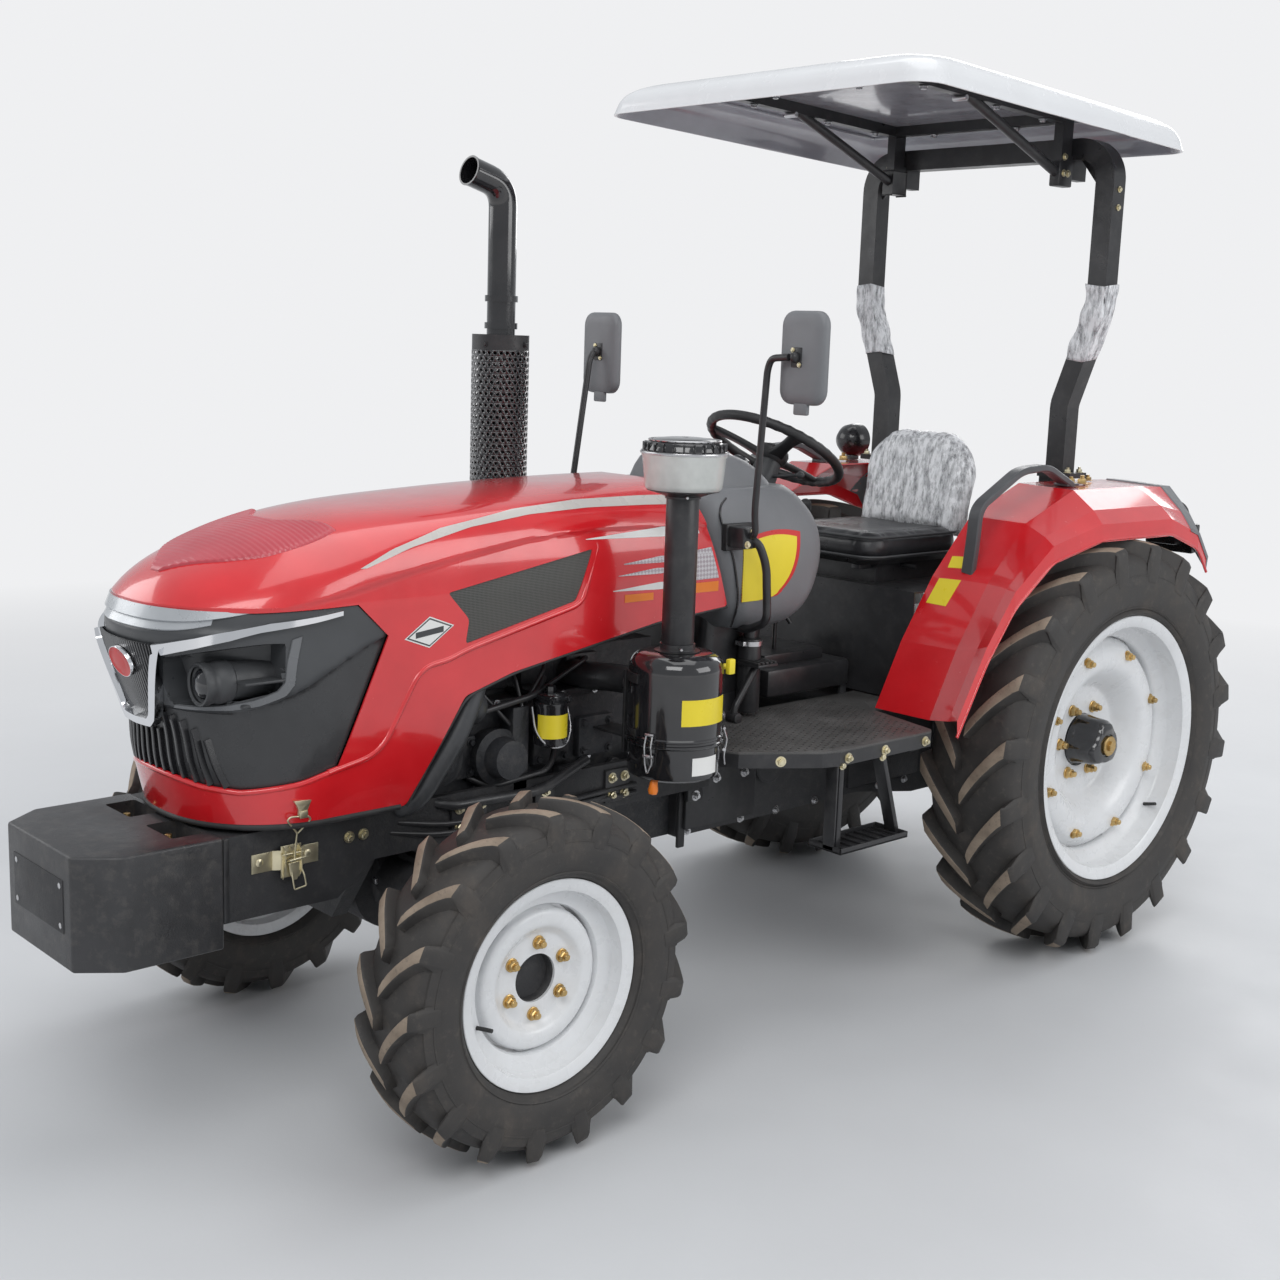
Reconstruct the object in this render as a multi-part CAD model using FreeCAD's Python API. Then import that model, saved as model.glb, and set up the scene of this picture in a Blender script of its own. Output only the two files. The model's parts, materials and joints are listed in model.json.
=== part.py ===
"""Four-wheel-drive farm tractor with a two-post roll bar and a canopy.

Millimetres. The tractor faces -Y and its left side is +X. The origin is on the ground, in the middle of
the bounding box. Each sub-part is one STEP file in parts/, named after its node.
"""
import FreeCAD
import Part

import math
import os

V = FreeCAD.Vector
X_AXIS = V(1, 0, 0)

# Driving dimensions of the whole machine
LENGTH = 3730.0            # from the ballast's front face to the lower links' ends
WHEELBASE = 2065.0
FRONT_OVERHANG = 805.0     # from the front axle to the ballast's front face
FRONT_TRACK = 1150.0
REAR_TRACK = 1120.0
FIT = 0.3                  # gap between neighbouring curved faces
SHEET = 4.0                # pressed panels with their folded edges

FRONT_AXLE_Y = -LENGTH / 2 + FRONT_OVERHANG
REAR_AXLE_Y = FRONT_AXLE_Y + WHEELBASE
HITCH_END_Y = LENGTH / 2

# Wheels: tip is out to the lugs, carcass is the tread between the lugs
FRONT_TIP_R = 385.0
FRONT_CARCASS_R = 361.0
FRONT_TYRE_W = 200.0
FRONT_SEAT_R = 203.0
FRONT_FLANGE_R = 226.0
FRONT_RIM_W = 152.0
REAR_TIP_R = 600.0
REAR_CARCASS_R = 568.0
REAR_TYRE_W = 288.0
REAR_SEAT_R = 356.0
REAR_FLANGE_R = 382.0
REAR_RIM_W = 254.0
FRONT_AXLE_Z = FRONT_TIP_R
REAR_AXLE_Z = REAR_TIP_R
FRONT_WHEEL_X = FRONT_TRACK / 2
REAR_WHEEL_X = REAR_TRACK / 2


def box(x0, x1, y0, y1, z0, z1):
    return Part.makeBox(x1 - x0, y1 - y0, z1 - z0, V(x0, y0, z0))


def rod(start, end, radius):
    """Round bar between two points."""
    a, b = V(*start), V(*end)
    return Part.makeCylinder(radius, (b - a).Length, a, b - a)


def face_of(points):
    return Part.Face(Part.makePolygon([V(*p) for p in points + points[:1]]))


def side_prism(outline, x0, x1):
    """Outline of (y, z) points, extruded across the machine."""
    return face_of([(x0, y, z) for y, z in outline]).extrude(V(x1 - x0, 0, 0))


def front_prism(outline, y0, y1):
    """Outline of (x, z) points, extruded along the machine."""
    return face_of([(x, y0, z) for x, z in outline]).extrude(V(0, y1 - y0, 0))


def plan_prism(outline, z0, z1):
    """Outline of (x, y) points, extruded upwards."""
    return face_of([(x, y, z0) for x, y in outline]).extrude(V(0, 0, z1 - z0))


def mirrored(shape):
    """The same piece on the other side of the machine."""
    return shape.mirror(V(0, 0, 0), X_AXIS)


def fuse(shapes):
    first, rest = shapes[0], shapes[1:]
    return first.multiFuse(rest).removeSplitter() if rest else first


def both(shape):
    """A left piece and its mirror image, as two solids or one if they meet."""
    return fuse([shape, mirrored(shape)])


def bent_path(points, bend):
    """Wire through the points, with each inner corner rounded by an arc of the bend radius."""
    pts = [V(*p) for p in points]
    edges, at = [], pts[0]
    for before, corner, after in zip(pts, pts[1:], pts[2:]):
        u, w = (before - corner).normalize(), (after - corner).normalize()
        half = math.acos(max(-1.0, min(1.0, u.dot(w)))) / 2
        reach = bend / math.tan(half)
        a, b = corner + u * reach, corner + w * reach
        middle = corner + (u + w).normalize() * (bend / math.sin(half) - bend)
        if (a - at).Length > 1e-6:
            edges.append(Part.LineSegment(at, a).toShape())
        edges.append(Part.Arc(a, middle, b).toShape())
        at = b
    edges.append(Part.LineSegment(at, pts[-1]).toShape())
    return Part.Wire(edges)


def pipe(points, radius, bend):
    """Round tube or hose along a bent path, filled."""
    path = bent_path(points, bend)
    start, towards = V(*points[0]), V(*points[1]) - V(*points[0])
    profile = Part.Wire([Part.Circle(start, towards, radius).toShape()])
    return path.makePipeShell([profile], True, False)


def square_pipe(points, side, bend, across):
    """Square tube along a bent path that lies in one plane. The vector across is square to that plane."""
    path = bent_path(points, bend)
    start, towards = V(*points[0]), (V(*points[1]) - V(*points[0])).normalize()
    u = V(*across).normalize() * (side / 2)
    w = towards.cross(u).normalize() * (side / 2)
    corners = [start + u + w, start + u - w, start - u - w, start - u + w]
    profile = Part.makePolygon(corners + corners[:1])
    return path.makePipeShell([profile], True, False)


def revolved(profile, x, y, z):
    """Profile of (offset along X, radius) points, turned about the wheel axis through (x, y, z)."""
    pts = [(x + a, y, z + r) for a, r in profile]
    return face_of(pts).revolve(V(x, y, z), X_AXIS, 360)


def rounded(x0, x1, y0, y1, r, z):
    """Closed horizontal wire of a rectangle with rounded corners."""
    k = r * (1 - math.sqrt(0.5))
    corners = [((x1 - r, y0), (x1 - k, y0 + k), (x1, y0 + r)),
               ((x1, y1 - r), (x1 - k, y1 - k), (x1 - r, y1)),
               ((x0 + r, y1), (x0 + k, y1 - k), (x0, y1 - r)),
               ((x0, y0 + r), (x0 + k, y0 + k), (x0 + r, y0))]
    edges = []
    for (a, m, b), (following, _, _) in zip(corners, corners[1:] + corners[:1]):
        edges.append(Part.Arc(V(*a, z), V(*m, z), V(*b, z)).toShape())
        edges.append(Part.LineSegment(V(*b, z), V(*following, z)).toShape())
    return Part.Wire(edges)


def fy(y):
    """Y of a point given from the front axle."""
    return FRONT_AXLE_Y + y


def ry(y):
    """Y of a point given from the rear axle."""
    return REAR_AXLE_Y + y


NODES = {}


def node(name, shape):
    NODES[name] = shape


# Wheels

RIM_GAUGE = 8.0
FRONT_HUB_BORE_R = 52.0
FRONT_HUB_FACE = 20.0      # wheel disc's mounting plane, outboard of the tyre's middle
REAR_HUB_FACE = -10.0
REAR_HUB_R = 78.0
KINGPIN_X = 455.0
KNUCKLE_END_X = 545.0
WHEEL_GAP = 7.0            # between a turning hub and its housing
AXLE_END_X = 425.0
SHAFT_R = 38.0
SHAFT_ROOT_X = 320.0
SPINDLE_R = 28.0
LUG_LEAN = 0.30            # turn of a lug from the middle of the tread to the shoulder
LUG_DRAW = 0.16
FRONT_PITCHES = 17
REAR_PITCHES = 20


def tyre(pitches, tip_r, carcass_r, width, seat_r, flange_r, rim_w, x, y, z):
    """Tyre in flat faces, with a leaning lug on alternate sides at each pitch.

    Its rings lie at (offset, radius on a lug, radius between lugs, share of a column that a lug draws in at its
    edges). The columns lean back towards the shoulders, and one lug stands exactly on the ground.
    """
    half, seat_half, shoulder = width / 2, rim_w / 2 - RIM_GAUGE - FIT, 0.455 * width
    rings = [(0.07 * width, tip_r, carcass_r, LUG_DRAW), (0.30 * width, tip_r, carcass_r - 2, LUG_DRAW),
             (shoulder, tip_r - 12, carcass_r - 16, LUG_DRAW),
             (half * 0.985, carcass_r - 42, carcass_r - 44, 0.05)]
    count = 2 * pitches
    step = 2 * math.pi / count
    seat_reach = seat_r / math.cos(step / 2)
    wall = [(half * 0.985, carcass_r - 44, 0.05), (half, flange_r + (carcass_r - flange_r) * 0.35, 0),
            (seat_half, flange_r + 2, 0), (seat_half, seat_reach, 0)]

    def lean(a):
        return LUG_LEAN * min(1.0, abs(a) / shoulder) ** 0.8

    foot = math.pi - lean(rings[1][0]) - step * LUG_DRAW

    def corner(side, i, a, r, draw):
        opens = (i % 2 == 0) == (side > 0)
        turn = foot + step * (i + (draw if opens else -draw)) + lean(a)
        return V(x + side * a, y + r * math.sin(turn), z + r * math.cos(turn))

    triangles = []

    def quad(a, b, c, d):
        triangles.extend([(a, b, c), (a, c, d)])

    for side, i in ((side, i) for side in (1, -1) for i in range(count)):
        raised = (i % 2 == 0) == (side > 0)
        for n, ((a0, top0, low0, draw0), (a1, top1, low1, draw1)) in enumerate(zip(rings, rings[1:])):
            lows = [corner(side, i, a0, low0, draw0), corner(side, i + 1, a0, low0, draw0),
                    corner(side, i + 1, a1, low1, draw1), corner(side, i, a1, low1, draw1)]
            if not raised:
                quad(*lows)
                continue
            tops = [corner(side, i, a0, top0, draw0), corner(side, i + 1, a0, top0, draw0),
                    corner(side, i + 1, a1, top1, draw1), corner(side, i, a1, top1, draw1)]
            if n == len(rings) - 2:
                tops[2:] = lows[2:]
                triangles.extend([(lows[0], tops[0], lows[3]), (lows[1], tops[1], lows[2])])
            else:
                quad(lows[0], tops[0], tops[3], lows[3])
                quad(lows[1], tops[1], tops[2], lows[2])
            if n == 0:
                quad(lows[0], lows[1], tops[1], tops[0])
            quad(*tops)
        for (a0, r0, draw0), (a1, r1, draw1) in zip(wall, wall[1:]):
            quad(corner(side, i, a0, r0, draw0), corner(side, i + 1, a0, r0, draw0),
                 corner(side, i + 1, a1, r1, draw1), corner(side, i, a1, r1, draw1))
    for i in range(count):
        for a, r, draw in (rings[0][0], rings[0][2], LUG_DRAW), (seat_half, seat_reach, 0):
            quad(corner(-1, i, a, r, draw), corner(-1, i + 1, a, r, draw), corner(1, i + 1, a, r, draw),
                 corner(1, i, a, r, draw))
    faces = [Part.Face(Part.makePolygon(list(t) + [t[0]])) for t in triangles]
    return Part.Solid(Part.Shell(faces))


def rim(seat_r, flange_r, rim_w, face, edge, bore_r, crown, x, y, z):
    """Rim, and the dished disc that carries it, from its mounting face to its edge at the rim's well."""
    half, g = rim_w / 2, RIM_GAUGE
    well_r = seat_r - 38
    crown_r, crown_out = crown
    outside = [(-half, flange_r), (-half + g, flange_r), (-half + g, seat_r), (-half * 0.45, seat_r),
               (-half * 0.3, well_r), (half * 0.3, well_r), (half * 0.45, seat_r), (half - g, seat_r),
               (half - g, flange_r), (half, flange_r)]
    inside = [(half, seat_r - g), (half * 0.45 + g / 2, seat_r - g), (half * 0.3 + g / 2, well_r - g),
              (-half * 0.3 - g / 2, well_r - g), (-half * 0.45 - g / 2, seat_r - g), (-half, seat_r - g)]
    hoop = revolved(outside + inside, x, y, z)
    disc = [(face - g, bore_r), (face, bore_r), (face, crown_r * 0.8), (crown_out, crown_r),
            (edge, well_r - g + 1), (edge - g, well_r - g + 1), (crown_out - g, crown_r),
            (face - g, crown_r * 0.8)]
    return fuse([hoop, revolved(disc, x, y, z)])


def front_hub():
    y, z = FRONT_AXLE_Y, FRONT_AXLE_Z
    start, face = KNUCKLE_END_X + WHEEL_GAP, FRONT_WHEEL_X + FRONT_HUB_FACE - RIM_GAUGE
    flange = rod((start, y, z), (face, y, z), 76)
    nose = rod((face - 1, y, z), (face + 26, y, z), FRONT_HUB_BORE_R)
    return fuse([rod((KINGPIN_X + 15, y, z), (start + 1, y, z), SPINDLE_R), flange, nose])


def rear_hub():
    y, z = REAR_AXLE_Y, REAR_AXLE_Z
    start, face = AXLE_END_X + WHEEL_GAP, REAR_WHEEL_X + REAR_HUB_FACE - RIM_GAUGE
    shaft = rod((SHAFT_ROOT_X, y, z), (start + 1, y, z), SHAFT_R)
    neck = rod((start, y, z), (face - 21, y, z), 62)
    flange = rod((face - 22, y, z), (face, y, z), 128)
    nose = rod((face - 1, y, z), (face + 96, y, z), REAR_HUB_R)
    return fuse([shaft, neck, flange, nose])


front_rim = rim(FRONT_SEAT_R, FRONT_FLANGE_R, FRONT_RIM_W, FRONT_HUB_FACE, 10.0, FRONT_HUB_BORE_R,
                (150.0, 34.0), FRONT_WHEEL_X, FRONT_AXLE_Y, FRONT_AXLE_Z)
rear_rim = rim(REAR_SEAT_R, REAR_FLANGE_R, REAR_RIM_W, REAR_HUB_FACE, 30.0, REAR_HUB_R,
               (225.0, 62.0), REAR_WHEEL_X, REAR_AXLE_Y, REAR_AXLE_Z)
front_tyre = tyre(FRONT_PITCHES, FRONT_TIP_R, FRONT_CARCASS_R, FRONT_TYRE_W, FRONT_SEAT_R + FIT,
                  FRONT_FLANGE_R, FRONT_RIM_W,
                  FRONT_WHEEL_X, FRONT_AXLE_Y, FRONT_AXLE_Z)
rear_tyre = tyre(REAR_PITCHES, REAR_TIP_R, REAR_CARCASS_R, REAR_TYRE_W, REAR_SEAT_R + FIT, REAR_FLANGE_R,
                 REAR_RIM_W,
                 REAR_WHEEL_X, REAR_AXLE_Y, REAR_AXLE_Z)
WHEEL_PIECES = {
    "front_tyre": front_tyre, "front_rim": fuse([front_rim, front_hub()]),
    "rear_tyre": rear_tyre, "rear_rim": fuse([rear_rim, rear_hub()]),
}
for stem, shape in WHEEL_PIECES.items():
    node(stem + "_left", shape)
    node(stem + "_right", mirrored(shape))

# Gearbox with the rear axle housings, the lift housing and the top link's ears

GEARBOX_HALF_W = 150.0
GEARBOX_FRONT = ry(-1240)
GEARBOX_REAR = ry(235)
GEARBOX_BOTTOM_Z = 395.0
GEARBOX_TOP_Z = 770.0
TRUMPET_R = 82.0
SHAFT_GAP = 0.05          # radial running clearance of the turning shafts and pins

PTO_Z = 610.0
PTO_R = 17.45
PTO_STUB_L = 71.0
PTO_ROOT_R = 22.0

LINK_PIN_Y = ry(60)
LINK_PIN_Z = 430.0
LINK_FRONT_X = 240.0
LINK_END_X = 341.0
LINK_EYE_R = 38.0
LINK_EYE_BORE_R = 11.2
LINK_PIN_R = 11.0
LIFT_ARM = 300.0           # also the lift rods' place on the lower links
LIFT_RISE = 400.0          # lift shaft above the lower links' front pins
LIFT_LEAN = 70.0           # lift shaft behind them
LIFT_Y = LINK_PIN_Y + LIFT_LEAN
LIFT_Z = LINK_PIN_Z + LIFT_RISE
LIFT_SHAFT_R = 24.0
TOP_LINK_Y = ry(280)
TOP_LINK_Z = 725.0
TOP_LINK_L = 460.0
TOP_LINK_BORE_R = 9.6

casing = side_prism([
    (GEARBOX_FRONT, 430), (GEARBOX_FRONT + 330, 430), (ry(-520), GEARBOX_BOTTOM_Z + 40),
    (ry(-260), GEARBOX_BOTTOM_Z), (GEARBOX_REAR - 60, GEARBOX_BOTTOM_Z),
    (GEARBOX_REAR, GEARBOX_BOTTOM_Z + 60), (GEARBOX_REAR, GEARBOX_TOP_Z), (ry(-350), GEARBOX_TOP_Z),
    (ry(-420), GEARBOX_TOP_Z - 60), (GEARBOX_FRONT, GEARBOX_TOP_Z - 60)], -GEARBOX_HALF_W, GEARBOX_HALF_W)
lift_case = box(-170, 170, LIFT_Y - 260, LIFT_Y + 60, GEARBOX_TOP_Z - 1, LIFT_Z + 60)
trumpet = fuse([
    Part.makeCone(TRUMPET_R + 34, TRUMPET_R, 90, V(GEARBOX_HALF_W - 1, REAR_AXLE_Y, REAR_AXLE_Z), X_AXIS),
    rod((GEARBOX_HALF_W + 80, REAR_AXLE_Y, REAR_AXLE_Z), (AXLE_END_X, REAR_AXLE_Y, REAR_AXLE_Z), TRUMPET_R),
    rod((AXLE_END_X - 22, REAR_AXLE_Y, REAR_AXLE_Z), (AXLE_END_X, REAR_AXLE_Y, REAR_AXLE_Z), 116)])
shaft_bore = rod((SHAFT_ROOT_X - 6, REAR_AXLE_Y, REAR_AXLE_Z), (AXLE_END_X + 1, REAR_AXLE_Y, REAR_AXLE_Z),
                 SHAFT_R + SHAFT_GAP)
pto_collar = rod((0, GEARBOX_REAR - 1, PTO_Z), (0, GEARBOX_REAR + 24, PTO_Z), 48)
pto_bore = rod((0, GEARBOX_REAR - 116, PTO_Z), (0, GEARBOX_REAR + 40, PTO_Z), PTO_ROOT_R + SHAFT_GAP)
lift_bore = rod((-171, LIFT_Y, LIFT_Z), (171, LIFT_Y, LIFT_Z), LIFT_SHAFT_R + SHAFT_GAP)
ear = side_prism([(GEARBOX_REAR - 1, TOP_LINK_Z - 42), (TOP_LINK_Y, TOP_LINK_Z - 26),
                  (TOP_LINK_Y + 24, TOP_LINK_Z),
                  (TOP_LINK_Y, TOP_LINK_Z + 26), (GEARBOX_REAR - 1, TOP_LINK_Z + 40)], 24, 38)
top_pin = rod((-40, TOP_LINK_Y, TOP_LINK_Z), (40, TOP_LINK_Y, TOP_LINK_Z), TOP_LINK_BORE_R - SHAFT_GAP)
link_boss = fuse([rod((GEARBOX_HALF_W - 1, LINK_PIN_Y, LINK_PIN_Z),
                      (LINK_FRONT_X - 16, LINK_PIN_Y, LINK_PIN_Z), 30),
                  rod((LINK_FRONT_X - 17, LINK_PIN_Y, LINK_PIN_Z),
                      (LINK_FRONT_X + 20, LINK_PIN_Y, LINK_PIN_Z),
                      LINK_PIN_R)])
gearbox = fuse([casing, lift_case, trumpet, mirrored(trumpet), pto_collar, ear, mirrored(ear), top_pin,
                link_boss, mirrored(link_boss)])
node("gearbox_housing", gearbox.cut(both(shaft_bore)).cut(pto_bore).cut(lift_bore))
pto_root_end = GEARBOX_REAR + 28
node("pto_shaft", fuse([rod((0, GEARBOX_REAR - 110, PTO_Z), (0, pto_root_end, PTO_Z), PTO_ROOT_R),
                        rod((0, pto_root_end - 1, PTO_Z), (0, pto_root_end + PTO_STUB_L, PTO_Z), PTO_R)]))

DRAWBAR_PIN_Y = ry(415)
DRAWBAR_PIN_R = 13.0
drawbar = box(-32, 32, ry(-180), DRAWBAR_PIN_Y + 40, GEARBOX_BOTTOM_Z - 28, GEARBOX_BOTTOM_Z)
pin_hole = rod((0, DRAWBAR_PIN_Y, GEARBOX_BOTTOM_Z - 30), (0, DRAWBAR_PIN_Y, GEARBOX_BOTTOM_Z + 2),
               DRAWBAR_PIN_R)
node("drawbar", drawbar.cut(pin_hole))

# Three-point hitch: the lift arms and lower links are parallel and equally long to the lift rods' pins

ARM_ROOT_X = 205.0
ARM_END_X = 277.0
ARM_T = 20.0
ROD_X = 305.0
HITCH_PIN_R = 10.0


def bar(x0, y0, x1, y1, thick, z, r):
    """Flat bar on edge, between two eyes of radius r that lie at height z."""
    y_step = (y1 - y0) / 3
    side = [(x0, y0), (x0, y0 + y_step * 0.5), (x1, y1 - y_step * 0.7), (x1, y1)]
    far = [(x + thick, y) for x, y in side[::-1]]
    web = plan_prism(side + far, z - r * 0.7, z + r * 0.7)
    return fuse([web, rod((x0, y0, z), (x0 + thick, y0, z), r), rod((x1, y1, z), (x1 + thick, y1, z), r)])


def pin(x0, x1, y, z, r):
    return rod((x0, y, z), (x1, y, z), r)


arm = bar(ARM_ROOT_X, LIFT_Y, ARM_END_X - ARM_T / 2, LIFT_Y + LIFT_ARM, ARM_T, LIFT_Z, 32)
arm = arm.cut(pin(ARM_END_X - 20, ARM_END_X + 20, LIFT_Y + LIFT_ARM, LIFT_Z, HITCH_PIN_R + SHAFT_GAP))
lift_shaft = pin(-ARM_ROOT_X - 2, ARM_ROOT_X + 2, LIFT_Y, LIFT_Z, LIFT_SHAFT_R)
node("lift_arms", fuse([arm, mirrored(arm), lift_shaft]))

LINK_T = 18.0
LINK_MID_X = 278.0
HITCH_EYE_Y = HITCH_END_Y - LINK_EYE_R
spine = [(LINK_FRONT_X, LINK_PIN_Y), (LINK_FRONT_X, LINK_PIN_Y + 60),
         (LINK_MID_X, LINK_PIN_Y + LIFT_ARM - 70),
         (LINK_MID_X, LINK_PIN_Y + LIFT_ARM + 70), (LINK_END_X, HITCH_EYE_Y - 70),
         (LINK_END_X, HITCH_EYE_Y)]
strap = plan_prism([(x - LINK_T / 2, y) for x, y in spine] + [(x + LINK_T / 2, y) for x, y in spine[::-1]],
                   LINK_PIN_Z - 26, LINK_PIN_Z + 26)
link = fuse([strap] + [pin(x - LINK_T / 2, x + LINK_T / 2, y, LINK_PIN_Z, LINK_EYE_R)
                       for x, y in (spine[0], spine[-1])])
link = link.cut(pin(LINK_FRONT_X - 20, LINK_FRONT_X + 20, LINK_PIN_Y, LINK_PIN_Z, LINK_PIN_R + SHAFT_GAP))
link = link.cut(pin(LINK_END_X - 20, LINK_END_X + 20, HITCH_EYE_Y, LINK_PIN_Z, LINK_EYE_BORE_R))
link = link.cut(pin(LINK_MID_X - 20, LINK_MID_X + 20, LINK_PIN_Y + LIFT_ARM, LINK_PIN_Z,
                    HITCH_PIN_R + SHAFT_GAP))
node("lower_links", both(link))

rod_top = (ROD_X, LIFT_Y + LIFT_ARM, LIFT_Z)
rod_foot = (ROD_X, LINK_PIN_Y + LIFT_ARM, LINK_PIN_Z)
lift_rod = fuse([rod(rod_foot, rod_top, 13),
                 pin(ROD_X - 10, ROD_X + 10, rod_top[1], rod_top[2], 26),
                 pin(ROD_X - 10, ROD_X + 10, rod_foot[1], rod_foot[2], 26),
                 pin(ARM_END_X - 20, ROD_X + 16, rod_top[1], rod_top[2], HITCH_PIN_R),
                 pin(LINK_MID_X - 18, ROD_X + 16, rod_foot[1], rod_foot[2], HITCH_PIN_R)])
node("lift_rods", both(lift_rod))

top_link = fuse([
    rod((0, TOP_LINK_Y, TOP_LINK_Z), (0, TOP_LINK_Y + TOP_LINK_L, TOP_LINK_Z), 12),
    rod((0, TOP_LINK_Y + 110, TOP_LINK_Z), (0, TOP_LINK_Y + TOP_LINK_L - 110, TOP_LINK_Z), 19),
    pin(-17, 17, TOP_LINK_Y, TOP_LINK_Z, 24),
    pin(-22, 22, TOP_LINK_Y + TOP_LINK_L, TOP_LINK_Z, 27)])
for eye_y in (TOP_LINK_Y, TOP_LINK_Y + TOP_LINK_L):
    top_link = top_link.cut(pin(-30, 30, eye_y, TOP_LINK_Z, TOP_LINK_BORE_R))
node("top_link", top_link)

# Front frame: side rails, cross head, deck and the axle's pivot brackets

RAIL_X = 205.0             # outer face of the rails
RAIL_T = 16.0
RAIL_BOTTOM_Z = 570.0
RAIL_DROP_Z = 500.0
RAIL_TOP_Z = 682.0
HEAD_FRONT = fy(-506)
HEAD_REAR = fy(-235)
BALLAST_FRONT = -LENGTH / 2
PIVOT_Z = 450.0
PIVOT_REACH = 120.0
rail = side_prism([(HEAD_FRONT, RAIL_DROP_Z), (HEAD_REAR, RAIL_DROP_Z), (HEAD_REAR + 90, RAIL_BOTTOM_Z),
                   (GEARBOX_FRONT + 60, RAIL_BOTTOM_Z), (GEARBOX_FRONT + 60, RAIL_TOP_Z),
                   (HEAD_FRONT, RAIL_TOP_Z)],
                  RAIL_X - RAIL_T, RAIL_X)
cross_head = box(-RAIL_X, RAIL_X, HEAD_FRONT, HEAD_FRONT + 24, RAIL_DROP_Z, RAIL_TOP_Z)
deck = box(-RAIL_X, RAIL_X, HEAD_FRONT, fy(-70), RAIL_TOP_Z - 12, RAIL_TOP_Z)
stay = box(-RAIL_X, RAIL_X, GEARBOX_FRONT + 10, GEARBOX_FRONT + 60, RAIL_BOTTOM_Z, RAIL_BOTTOM_Z + 40)
brackets = [front_prism([(-RAIL_X, RAIL_BOTTOM_Z + 30), (-62, PIVOT_Z - 50), (62, PIVOT_Z - 50),
                         (RAIL_X, RAIL_BOTTOM_Z + 30)], y, y + 40)
            for y in (fy(-PIVOT_REACH - 40), fy(PIVOT_REACH))]
frame = fuse([rail, mirrored(rail), cross_head, deck, stay] + brackets)
node("front_frame", frame.cut(NODES["gearbox_housing"]))

BALLAST_HALF_W = 210.0
BALLAST_NOSE_HALF_W = 150.0
BALLAST_CHAMFER = 82.0
BALLAST_BOTTOM_Z = 447.0
BALLAST_TOP_Z = 685.0
ballast = plan_prism([(-BALLAST_NOSE_HALF_W, BALLAST_FRONT), (BALLAST_NOSE_HALF_W, BALLAST_FRONT),
                      (BALLAST_HALF_W, BALLAST_FRONT + BALLAST_CHAMFER), (BALLAST_HALF_W, HEAD_FRONT),
                      (-BALLAST_HALF_W, HEAD_FRONT), (-BALLAST_HALF_W, BALLAST_FRONT + BALLAST_CHAMFER)],
                     BALLAST_BOTTOM_Z, BALLAST_TOP_Z)
pocket = box(35, 155, HEAD_FRONT - 85, HEAD_FRONT - 15, BALLAST_TOP_Z - 110, BALLAST_TOP_Z + 1)
node("ballast_block", ballast.cut(both(pocket)))

# Front axle with its steering knuckles

BEAM_Z = 470.0
BEAM_R = 56.0
BOSS_BOTTOM_Z = 415.0
BOSS_TOP_Z = 538.0
KINGPIN_R = 30.0
KNUCKLE_TOP_Z = BOSS_BOTTOM_Z - 6
ARM_Z = 384.0
ARM_L = 150.0
TIE_Z = 350.0
TIE_PIN_R = 10.0
boss = rod((KINGPIN_X, FRONT_AXLE_Y, BOSS_BOTTOM_Z), (KINGPIN_X, FRONT_AXLE_Y, BOSS_TOP_Z), 60)
pin_bore = rod((KINGPIN_X, FRONT_AXLE_Y, BOSS_BOTTOM_Z - 1), (KINGPIN_X, FRONT_AXLE_Y, BOSS_TOP_Z - 18),
               KINGPIN_R + SHAFT_GAP)
axle = fuse([
    rod((-KINGPIN_X, FRONT_AXLE_Y, BEAM_Z), (KINGPIN_X, FRONT_AXLE_Y, BEAM_Z), BEAM_R),
    rod((-110, FRONT_AXLE_Y, PIVOT_Z), (70, FRONT_AXLE_Y, PIVOT_Z), 104),
    rod((0, fy(-PIVOT_REACH), PIVOT_Z), (0, fy(PIVOT_REACH), PIVOT_Z), 44),
    boss, mirrored(boss)])
node("front_axle_beam", axle.cut(both(pin_bore)))

case_end = (KNUCKLE_END_X, FRONT_AXLE_Y, FRONT_AXLE_Z)
CASE_X = KINGPIN_X + 67    # inner face of the final drive's round case
knuckle = fuse([
    rod((KINGPIN_X, FRONT_AXLE_Y, FRONT_AXLE_Z - 70), (KINGPIN_X, FRONT_AXLE_Y, KNUCKLE_TOP_Z), 62),
    rod((KINGPIN_X, FRONT_AXLE_Y, KNUCKLE_TOP_Z - 5), (KINGPIN_X, FRONT_AXLE_Y, BOSS_TOP_Z - 24),
        KINGPIN_R),
    box(KINGPIN_X, CASE_X + 1, FRONT_AXLE_Y - 60, FRONT_AXLE_Y + 60, FRONT_AXLE_Z - 62, KNUCKLE_TOP_Z - 2),
    rod((CASE_X, FRONT_AXLE_Y, FRONT_AXLE_Z), case_end, 84),
    box(KINGPIN_X - 22, KINGPIN_X + 22, FRONT_AXLE_Y, FRONT_AXLE_Y + ARM_L, ARM_Z - 12, ARM_Z + 12),
    rod((KINGPIN_X, FRONT_AXLE_Y + ARM_L, ARM_Z - 12), (KINGPIN_X, FRONT_AXLE_Y + ARM_L, ARM_Z + 12), 22)])
knuckle = knuckle.cut(rod((KINGPIN_X + 9, FRONT_AXLE_Y, FRONT_AXLE_Z),
                          (KNUCKLE_END_X + 1, FRONT_AXLE_Y, FRONT_AXLE_Z),
                          SPINDLE_R + SHAFT_GAP))
knuckle = knuckle.cut(rod((KINGPIN_X, FRONT_AXLE_Y + ARM_L, ARM_Z - 13),
                          (KINGPIN_X, FRONT_AXLE_Y + ARM_L, ARM_Z + 13),
                          TIE_PIN_R + SHAFT_GAP))
node("knuckle_left", knuckle)
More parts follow.
